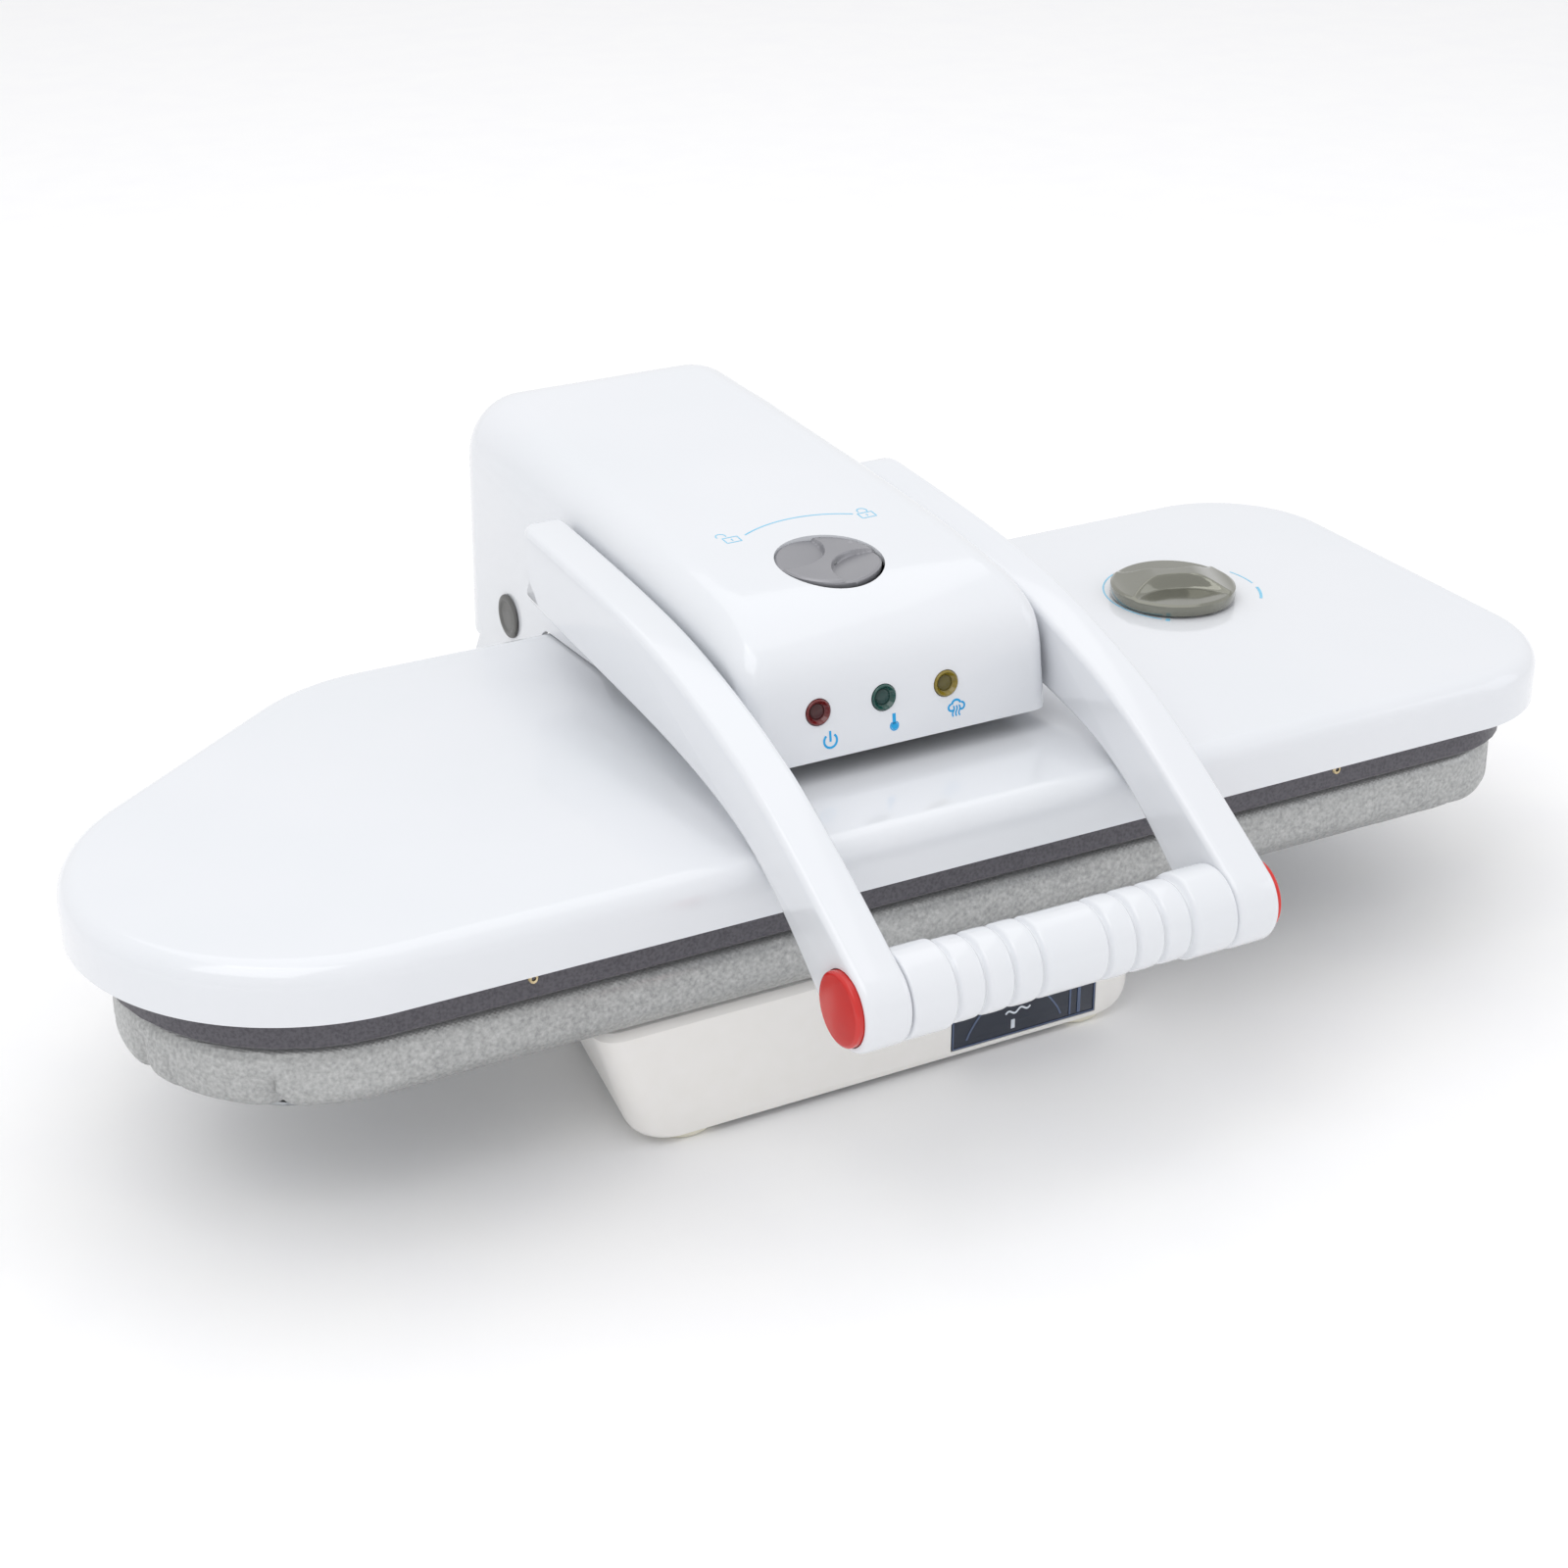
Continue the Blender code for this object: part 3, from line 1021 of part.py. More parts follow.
def arm_outline(drop, grow):
    """Gives the lifting arm's side view; drop lowers its top edge and grow pushes the rest outwards."""
    front = ARM_FRONT_Y - grow
    top_front = HEAD_BOTTOM_Z + head_rise_at(ARM_FRONT_Y) - ARM_HEADROOM - drop
    top_back = ARM_TOP_Z - drop
    low = ARM_BOTTOM_Z - grow
    eye = arc((HINGE_Y, HINGE_Z), HINGE_EYE_RADIUS + grow, math.radians(45), -math.radians(200))
    return ([(front, low), (front, top_front), (HANDLE_PIVOT_Y, top_back),
             (HINGE_Y - ARM_NECK, top_back)] + eye + [(HINGE_Y - ARM_NECK - HINGE_EYE_RADIUS, low)])


def make_arm(body):
    """Makes the channel-shaped lifting arm with its bushes, beam pin, pressure beam and spindle."""
    cx = HEAD_CENTRE_X
    arm = add_piece("arm_frame", extruded(arm_outline(0.0, 0.0), cx - ARM_HALF_WIDTH, cx + ARM_HALF_WIDTH),
                    "steel", body)
    inner = ARM_HALF_WIDTH - SHEET_STEEL
    hinge_left = (cx - ARM_HALF_WIDTH - OVERRUN, HINGE_Y, HINGE_Z)
    hinge_right = (cx + ARM_HALF_WIDTH + OVERRUN, HINGE_Y, HINGE_Z)
    shaft_left = (cx - ARM_HALF_WIDTH - OVERRUN, HANDLE_PIVOT_Y, HANDLE_PIVOT_Z)
    shaft_right = (cx + ARM_HALF_WIDTH + OVERRUN, HANDLE_PIVOT_Y, HANDLE_PIVOT_Z)
    pin_y = HANDLE_PIVOT_Y + BEAM_PIN_BEHIND
    pin_z = BEAM_TOP_Z - BEAM_THICKNESS - BEAM_PIN_RADIUS - SEAT_GAP
    cut(arm, extruded(arm_outline(SHEET_STEEL, OVERRUN), cx - inner, cx + inner),
        rod(hinge_left, hinge_right, BUSH_RADIUS + SEAT_GAP),
        rod(shaft_left, shaft_right, HANDLE_SHAFT_RADIUS + SEAT_GAP),
        rod((cx - ARM_HALF_WIDTH - OVERRUN, pin_y, pin_z), (cx + ARM_HALF_WIDTH + OVERRUN, pin_y, pin_z),
            BEAM_PIN_RADIUS + SEAT_GAP, SMALL_SIDES),
        rod((cx, COVER_CENTRE_Y, ARM_BOTTOM_Z), (cx, COVER_CENTRE_Y, HEAD_TOP_Z), PLATEN_SPINDLE_RADIUS + SEAT_GAP))
    for side, name in ((-1, "left"), (1, "right")):
        start = cx + side * (inner - BUSH_FLANGE - SEAT_GAP)
        flange = BUSH_FLANGE
        add_piece(f"hinge_bush_{name}", turned((start, HINGE_Y, HINGE_Z), (side, 0, 0), [
            (0.0, HINGE_PIN_RADIUS + SEAT_GAP),
            (0.0, BUSH_RADIUS + flange * 2),
            (flange, BUSH_RADIUS + flange * 2),
            (flange, BUSH_RADIUS),
            (flange + SHEET_STEEL + SEAT_GAP * 2, BUSH_RADIUS),
            (flange + SHEET_STEEL + SEAT_GAP * 2, HINGE_PIN_RADIUS + SEAT_GAP),
        ], hollow=True), "nylon", body)
    add_piece("beam_pin", rod((cx - ARM_HALF_WIDTH, pin_y, pin_z), (cx + ARM_HALF_WIDTH, pin_y, pin_z),
                              BEAM_PIN_RADIUS, SMALL_SIDES), "steel", body)
    beam = add_piece("pressure_beam", block(
        (cx - BEAM_HALF_WIDTH, COVER_CENTRE_Y - BEAM_HALF_WIDTH, BEAM_TOP_Z - BEAM_THICKNESS),
        (cx + BEAM_HALF_WIDTH, pin_y + BEAM_THICKNESS, BEAM_TOP_Z)), "steel", body)
    cut(beam, rod((cx, COVER_CENTRE_Y, BEAM_TOP_Z - BEAM_THICKNESS - OVERRUN),
                  (cx, COVER_CENTRE_Y, BEAM_TOP_Z + OVERRUN), PLATEN_SPINDLE_RADIUS + SEAT_GAP))

    boss_top = PLATE_BOTTOM_Z + PLATE_SOLE + BOSS_HEIGHT
    web_top = HEAD_BOTTOM_Z + head_rise_at(ARM_FRONT_Y) - ARM_HEADROOM
    web_top += (ARM_TOP_Z - web_top) * (COVER_CENTRE_Y - ARM_FRONT_Y) / (HANDLE_PIVOT_Y - ARM_FRONT_Y)
    collar_top = BEAM_TOP_Z - BEAM_THICKNESS - SEAT_GAP
    spindle_top = web_top + SPINDLE_NUT * 1.5
    add_piece("platen_spindle", turned((cx, COVER_CENTRE_Y, boss_top + SEAT_GAP), (0, 0, 1), [
        (0.0, PLATEN_SPINDLE_RADIUS),
        (collar_top - SPINDLE_COLLAR - boss_top, PLATEN_SPINDLE_RADIUS),
        (collar_top - SPINDLE_COLLAR - boss_top, PLATEN_SPINDLE_RADIUS + SPINDLE_COLLAR),
        (collar_top - boss_top - SEAT_GAP, PLATEN_SPINDLE_RADIUS + SPINDLE_COLLAR),
        (collar_top - boss_top - SEAT_GAP, PLATEN_SPINDLE_RADIUS),
        (spindle_top - boss_top, PLATEN_SPINDLE_RADIUS),
    ]), "steel", body)
    nut_low = web_top + ARM_SLOPE_ALLOWANCE
    nut_top = (cx, COVER_CENTRE_Y, nut_low + SPINDLE_NUT)
    nut = add_piece("spindle_nut", rod((cx, COVER_CENTRE_Y, nut_low), nut_top, PLATEN_SPINDLE_RADIUS * 1.85, 6),
                    "steel", body)
    cut(nut, rod((cx, COVER_CENTRE_Y, nut_low - OVERRUN), (*nut_top[:2], nut_top[2] + OVERRUN),
                 PLATEN_SPINDLE_RADIUS + SEAT_GAP))
    spring_low = BEAM_TOP_Z + PLATEN_WIRE + SEAT_GAP
    spring_high = web_top - SHEET_STEEL - PLATEN_WIRE - ARM_SLOPE_ALLOWANCE
    coil = helix((cx, COVER_CENTRE_Y, spring_low), (0, 0, 1), PLATEN_SPRING_RADIUS,
                 spring_high - spring_low, PLATEN_SPRING_TURNS)
    add_piece("platen_spring", swept(coil, PLATEN_WIRE, 5), "spring_steel", body)


def make_head_cover(body):
    """Makes the moulded head cover, its hinge plugs and the indicator lamps in its front."""
    cx = HEAD_CENTRE_X
    half = HEAD_WIDTH / 2
    cover = add_piece("head_cover", head_solid(0.0), "white_gloss", body)
    rear_gap = block((cx - half + HEAD_REAR_FILLET / 2, HEAD_BACK_Y - HEAD_REAR_FILLET, HEAD_EAR_BOTTOM_Z - OVERRUN),
                     (cx + half - HEAD_REAR_FILLET / 2, HEAD_BACK_Y + OVERRUN, HEAD_REAR_WALL_Z))
    plug_holes = rod((cx - half - OVERRUN * 2, HINGE_Y, HINGE_Z), (cx + half + OVERRUN * 2, HINGE_Y, HINGE_Z),
                     PLUG_BARREL_RADIUS + SEAT_GAP)
    shaft_hole = rod((cx - half - OVERRUN * 2, HANDLE_PIVOT_Y, HANDLE_PIVOT_Z),
                     (cx + half + OVERRUN * 2, HANDLE_PIVOT_Y, HANDLE_PIVOT_Z), HANDLE_SHAFT_RADIUS + SEAT_GAP * 2)
    knob_low = knob_point(-KNOB_HOLE_REACH)
    knob_high = knob_point(KNOB_HOLE_REACH)
    cut(cover, head_solid(HEAD_WALL), rear_gap, plug_holes, shaft_hole,
        rod(knob_low, knob_high, KNOB_RADIUS + KNOB_RIM_GAP, LARGE_SIDES))
    lamp_front, normal = lamp_face()
    holes = []
    for x in LAMP_X:
        centre = Vector((x, *lamp_front))
        holes.append(rod(centre - normal * HEAD_WALL * 2, centre + normal * HEAD_WALL * 2,
                         LAMP_RADIUS + LAMP_RING + SEAT_GAP))
    cut(cover, merged(*holes))

    outside = half * (1.0 - HEAD_DRAFT / half * (HINGE_Z - HEAD_BOTTOM_Z) / (HEAD_TOP_Z - HEAD_BOTTOM_Z))
    barrel_end = outside - PIN_HEAD_X - HINGE_PIN_HEAD - SEAT_GAP
    for side, name in ((-1, "left"), (1, "right")):
        add_piece(f"hinge_plug_{name}", turned((cx + side * (outside + PLUG_LIFT), HINGE_Y, HINGE_Z), (-side, 0, 0), [
            (-PLUG_PROUD, PLUG_RADIUS - PLUG_PROUD),
            (-PLUG_PROUD / 2, PLUG_RADIUS),
            (0.0, PLUG_RADIUS),
            (0.0, PLUG_BARREL_RADIUS),
            (barrel_end + PLUG_LIFT, PLUG_BARREL_RADIUS),
        ]), "plug_grey", body)

    rings = []
    for x, name in zip(LAMP_X, ("lens_red", "lens_green", "lens_amber")):
        centre = Vector((x, *lamp_front))
        rings.append(turned(centre, normal, [
            (-HEAD_WALL - LAMP_BAR_THICKNESS / 2, LAMP_RADIUS + SEAT_GAP),
            (-HEAD_WALL - LAMP_BAR_THICKNESS / 2, LAMP_RADIUS + LAMP_RING),
            (LAMP_PROUD * 0.5, LAMP_RADIUS + LAMP_RING), (LAMP_PROUD, LAMP_RADIUS + LAMP_RING * 0.6),
            (LAMP_PROUD * 0.6, LAMP_RADIUS + SEAT_GAP),
        ], hollow=True))
        add_piece(name, turned(centre, normal, [
            (-HEAD_WALL - LAMP_PROUD, LAMP_RADIUS), (0.0, LAMP_RADIUS), (LAMP_PROUD * 0.6, LAMP_RADIUS * 0.82),
            (LAMP_PROUD, LAMP_RADIUS * 0.45), (LAMP_PROUD * 1.1, LAMP_RADIUS * 0.1),
        ]), name[5:] + "_lens", body)
    carrier_centre = Vector((sum(LAMP_X) / len(LAMP_X), *lamp_front)) - normal * (
        HEAD_WALL + SEAT_GAP + LAMP_BAR_THICKNESS / 2)
    carrier = block((-LAMP_BAR_LENGTH / 2, -LAMP_BAR_THICKNESS / 2, -LAMP_BAR_WIDTH / 2),
                    (LAMP_BAR_LENGTH / 2, LAMP_BAR_THICKNESS / 2, LAMP_BAR_WIDTH / 2))
    lean = math.atan2(normal.z, -normal.y)
    carrier.transform(Matrix.Translation(carrier_centre) @ Matrix.Rotation(-lean, 4, "X"))
    holder = add_piece("lamp_holder", carrier, "black_plastic", body)
    fuse(holder, *rings)
    bores = []
    for x in LAMP_X:
        centre = Vector((x, *lamp_front))
        bores.append(rod(centre - normal * (HEAD_WALL + LAMP_BAR_THICKNESS * 2), centre - normal * HEAD_WALL / 2,
                         LAMP_RADIUS + SEAT_GAP))
    cut(holder, merged(*bores))


def lamp_face():
    """Gives the place of the lamps on the head's leaning front, as (y, z), and the face's normal."""
    length = HEAD_BACK_Y - HEAD_FRONT_Y
    height = HEAD_TOP_Z - HEAD_BOTTOM_Z
    table = [(rise * height, share * length) for share, rise in HEAD_PROFILE_SHARES[:2]]
    y = HEAD_FRONT_Y + interpolate(table, LAMP_Z - HEAD_BOTTOM_Z)
    (low_rise, low_y), (high_rise, high_y) = table
    along = Vector((0.0, high_y - low_y, high_rise - low_rise)).normalized()
    return (y, LAMP_Z), Vector((0.0, -along.z, along.y))


def knob_axis():
    """Gives the lock knob's axis, which leans by a share of the slope of the head's top there."""
    y = COVER_CENTRE_Y - KNOB_AHEAD_OF_CENTRE
    rise = head_rise_at(y + KNOB_RADIUS) - head_rise_at(y - KNOB_RADIUS)
    return Vector((0.0, -rise * KNOB_TILT_SHARE, KNOB_RADIUS * 2)).normalized()


def knob_point(distance):
    """Gives a point on the lock knob's axis, at a distance above the head's surface."""
    y = COVER_CENTRE_Y - KNOB_AHEAD_OF_CENTRE
    return Vector((KNOB_X, y, HEAD_BOTTOM_Z + head_rise_at(y))) + knob_axis() * distance


def make_lock_knob(body):
    """Makes the lock knob, flush in the head's top with a scoop on each side, and the hook spindle under it."""
    axis = knob_axis()
    low = KNOB_PROUD - KNOB_THICKNESS
    knob = add_piece("lock_knob", turned(knob_point(low), axis, [
        (0.0, KNOB_RADIUS * 0.98), (KNOB_THICKNESS * 0.8, KNOB_RADIUS), (KNOB_THICKNESS, KNOB_RADIUS * 0.975),
    ], LARGE_SIDES), "knob_grey", body)
    along = Vector((math.cos(KNOB_TURN), math.sin(KNOB_TURN), 0.0))
    across = axis.cross(along).normalized()
    pointer = knob_point(KNOB_PROUD - KNOB_POINTER_RADIUS / 4) + along * (KNOB_RADIUS - KNOB_POINTER_RADIUS * 1.8)
    fuse(knob, turned(pointer, axis, [
        (0.0, KNOB_POINTER_RADIUS), (KNOB_POINTER_RADIUS * 0.5, KNOB_POINTER_RADIUS * 0.75),
        (KNOB_POINTER_RADIUS * 0.65, KNOB_POINTER_RADIUS * 0.3),
    ], SMALL_SIDES))
    scoops = []
    for side in (-1, 1):
        floor = knob_point(KNOB_PROUD + SEAT_GAP) + across * side * (KNOB_WAIST + KNOB_SCOOP_RADIUS)
        lean = axis * math.cos(KNOB_SCOOP_SLOPE) - across * side * math.sin(KNOB_SCOOP_SLOPE)
        scoops.append(rod(floor, floor + lean * KNOB_THICKNESS * 2, KNOB_SCOOP_RADIUS, LARGE_SIDES))
    cut(knob, *scoops)
    cut(knob, rod(knob_point(low - OVERRUN), knob_point(low + KNOB_THICKNESS * 0.6), SPINDLE_RADIUS + SEAT_GAP,
                  SMALL_SIDES))
    spindle = add_piece("lock_spindle", rod(knob_point(-LOCK_REACH), knob_point(low + KNOB_THICKNESS * 0.5),
                                            SPINDLE_RADIUS, SMALL_SIDES), "steel", body)
    hook = block((-LOCK_HOOK * 0.35, -LOCK_HOOK * 0.35, -LOCK_HOOK_THICKNESS),
                 (LOCK_HOOK, LOCK_HOOK * 0.35, 0.0))
    hook.transform(Matrix.Translation(knob_point(-LOCK_REACH + LOCK_HOOK_THICKNESS * 1.5))
                   @ axis.to_track_quat("Z", "Y").to_matrix().to_4x4() @ Matrix.Rotation(LOCK_HOOK_TURN, 4, "Z"))
    fuse(spindle, hook)


def grip_ridge(radius, base, rise, shares):
    """Makes a bow-tie finger ridge: wide at both ends of the dial, narrow at its middle."""
    rings = []
    for along, half, top in shares:
        x = along * radius
        y = half * radius
        high = base + rise * top
        rings.append([(x, -y, base - rise * 0.3), (x, y, base - rise * 0.3), (x, y * 0.75, base + rise * top * 0.6),
                      (x, y * 0.3, high), (x, -y * 0.3, high), (x, -y * 0.75, base + rise * top * 0.6)])
    return loft([[Vector(point) for point in ring] for ring in rings])


def make_handle(body):
    """Makes both handle arms, the grooved grip, its steel core and the shaft with the pressing cam."""
    left = HEAD_CENTRE_X - HANDLE_WIDTH / 2
    right = HEAD_CENTRE_X + HANDLE_WIDTH / 2
    outline = handle_outline()
    for name, low, high, outer, inward in (
            ("handle_arm_left", left, left + HANDLE_ARM_THICKNESS, left, 1),
            ("handle_arm_right", right - HANDLE_ARM_THICKNESS, right, right, -1)):
        arm = add_piece(name, extruded(outline, low, high), "white_gloss", body)
        bevel = arm.modifiers.new("Round edges", "BEVEL")
        bevel.width = HANDLE_EDGE_RADIUS
        bevel.segments = 2
        bevel.limit_method = "ANGLE"
        bevel.angle_limit = math.radians(60)
        pocket_end = outer + inward * BUTTON_POCKET
        cut(arm, rod((outer - inward * OVERRUN, GRIP_Y, GRIP_Z), (pocket_end, GRIP_Y, GRIP_Z),
                     BUTTON_RADIUS + SEAT_GAP, LARGE_SIDES),
            rod((pocket_end - inward * OVERRUN, GRIP_Y, GRIP_Z),
                (outer + inward * (HANDLE_ARM_THICKNESS + OVERRUN), GRIP_Y, GRIP_Z), GRIP_CORE_RADIUS + SEAT_GAP),
            rod((outer + inward * HANDLE_ARM_SKIN, HANDLE_PIVOT_Y, HANDLE_PIVOT_Z),
                (outer + inward * (HANDLE_ARM_THICKNESS + OVERRUN), HANDLE_PIVOT_Y, HANDLE_PIVOT_Z),
                HANDLE_SHAFT_RADIUS + SEAT_GAP),
            rear_corner(outer, inward))
    start = left + HANDLE_ARM_THICKNESS + SEAT_GAP
    length = HANDLE_WIDTH - 2 * (HANDLE_ARM_THICKNESS + SEAT_GAP)
    half_profile = [(0.0, GRIP_RADIUS)]
    for i in range(GROOVE_COUNT):
        middle = GROOVE_FIRST + i * GROOVE_PITCH
        half_profile += [(middle - GROOVE_WIDTH / 2, GRIP_RADIUS), (middle, GRIP_RADIUS - GROOVE_DEPTH),
                         (middle + GROOVE_WIDTH / 2, GRIP_RADIUS)]
    profile = half_profile + [(length - along, radius) for along, radius in reversed(half_profile)]
    profile += [(length, GRIP_BORE_RADIUS), (0.0, GRIP_BORE_RADIUS)]
    add_piece("handle_grip", turned((start, GRIP_Y, GRIP_Z), (1, 0, 0), profile, ROUND_SIDES, hollow=True),
              "white_gloss", body)
    core_left = left + BUTTON_POCKET + SEAT_GAP
    core_right = right - BUTTON_POCKET - SEAT_GAP
    add_piece("grip_core", sleeve((core_left, GRIP_Y, GRIP_Z), (core_right, GRIP_Y, GRIP_Z), GRIP_CORE_RADIUS,
                                  GRIP_CORE_RADIUS - GRIP_CORE_WALL), "steel", body)
    add_piece("handle_shaft", rod((left + HANDLE_ARM_SKIN + SEAT_GAP, HANDLE_PIVOT_Y, HANDLE_PIVOT_Z),
                                  (right - HANDLE_ARM_SKIN - SEAT_GAP, HANDLE_PIVOT_Y, HANDLE_PIVOT_Z),
                                  HANDLE_SHAFT_RADIUS), "steel", body)
    cam_z = BEAM_TOP_Z + SEAT_GAP + CAM_RADIUS
    cam = add_piece("press_cam", turned((HEAD_CENTRE_X - CAM_THICKNESS / 2, HANDLE_PIVOT_Y, cam_z), (1, 0, 0),
                                        [(0.0, CAM_RADIUS), (CAM_THICKNESS, CAM_RADIUS)], LARGE_SIDES), "steel", body)
    cut(cam, rod((HEAD_CENTRE_X - CAM_THICKNESS, HANDLE_PIVOT_Y, HANDLE_PIVOT_Z),
                 (HEAD_CENTRE_X + CAM_THICKNESS, HANDLE_PIVOT_Y, HANDLE_PIVOT_Z), HANDLE_SHAFT_RADIUS + SEAT_GAP))
    for name, outer, inward in (("left", core_left, 1), ("right", core_right, -1)):
        add_piece(f"steam_switch_{name}", sleeve(
            (outer + inward * SEAT_GAP, GRIP_Y, GRIP_Z), (outer + inward * SWITCH_LENGTH, GRIP_Y, GRIP_Z),
            GRIP_CORE_RADIUS - GRIP_CORE_WALL - SEAT_GAP, BUTTON_STEM_RADIUS + SEAT_GAP), "black_plastic", body)


def rear_corner(outer, inward):
    """Makes the cutter that rounds a handle arm's outer rear corner, as seen from above."""
    radius = HANDLE_REAR_CORNER
    rear = max(y for y, _ in handle_outline())
    centre = (outer + inward * radius, rear - radius)
    outline = arc(centre, radius, math.pi / 2, math.pi / 2 * (1 + inward))
    outline += [(outer - inward * OVERRUN, rear - radius), (outer - inward * OVERRUN, rear + OVERRUN),
                (outer + inward * radius, rear + OVERRUN)]
    return extruded(outline, HEAD_BOTTOM_Z, HEAD_TOP_Z, "Z")


def handle_outline():
    """Gives a handle arm's side view: a tapering bent bar between its pivot end and the grip's round end."""
    reach = HANDLE_PIVOT_Y - GRIP_Y
    fall = HANDLE_PIVOT_Z - GRIP_Z
    centres = [Vector((HANDLE_PIVOT_Y - share * reach, HANDLE_PIVOT_Z - drop * fall))
               for share, drop, _ in HANDLE_LINE_SHARES]
    halves = [half * GRIP_END_RADIUS for _, _, half in HANDLE_LINE_SHARES]
    upper = []
    lower = []
    for i, (centre, half) in enumerate(zip(centres, halves)):
        along = (centres[min(i + 1, len(centres) - 1)] - centres[max(i - 1, 0)]).normalized()
        across = Vector((along.y, -along.x))
        upper.append(centre + across * half)
        lower.append(centre - across * half)
    last = (centres[-1] - centres[-2]).normalized()
    angle = math.atan2(-last.x, last.y)
    end = arc(centres[-1], GRIP_END_RADIUS, angle, angle + math.pi, math.radians(18))
    return [tuple(point) for point in upper[:-1]] + end + [tuple(point) for point in reversed(lower[:-1])]


def make_button(name, side, body):
    """Makes one round steam button with its guide stem, at an end of the grip."""
    outer = HEAD_CENTRE_X + side * HANDLE_WIDTH / 2
    back = outer - side * (BUTTON_POCKET - BUTTON_TRAVEL - SEAT_GAP)
    depth = BUTTON_POCKET - BUTTON_TRAVEL - SEAT_GAP + BUTTON_PROUD
    add_piece(name, turned((back, GRIP_Y, GRIP_Z), (side, 0, 0), [
        (-BUTTON_STEM, BUTTON_STEM_RADIUS), (0.0, BUTTON_STEM_RADIUS), (0.0, BUTTON_RADIUS),
        (depth - BUTTON_SKIRT, BUTTON_RADIUS), (depth - BUTTON_SKIRT * 0.3, BUTTON_RADIUS * 0.94),
        (depth, BUTTON_RADIUS * 0.7), (depth + BUTTON_SKIRT * 0.2, BUTTON_RADIUS * 0.2),
    ], ROUND_SIDES), "red_button", body)


# Platen: cover, heating plate and what lies between them


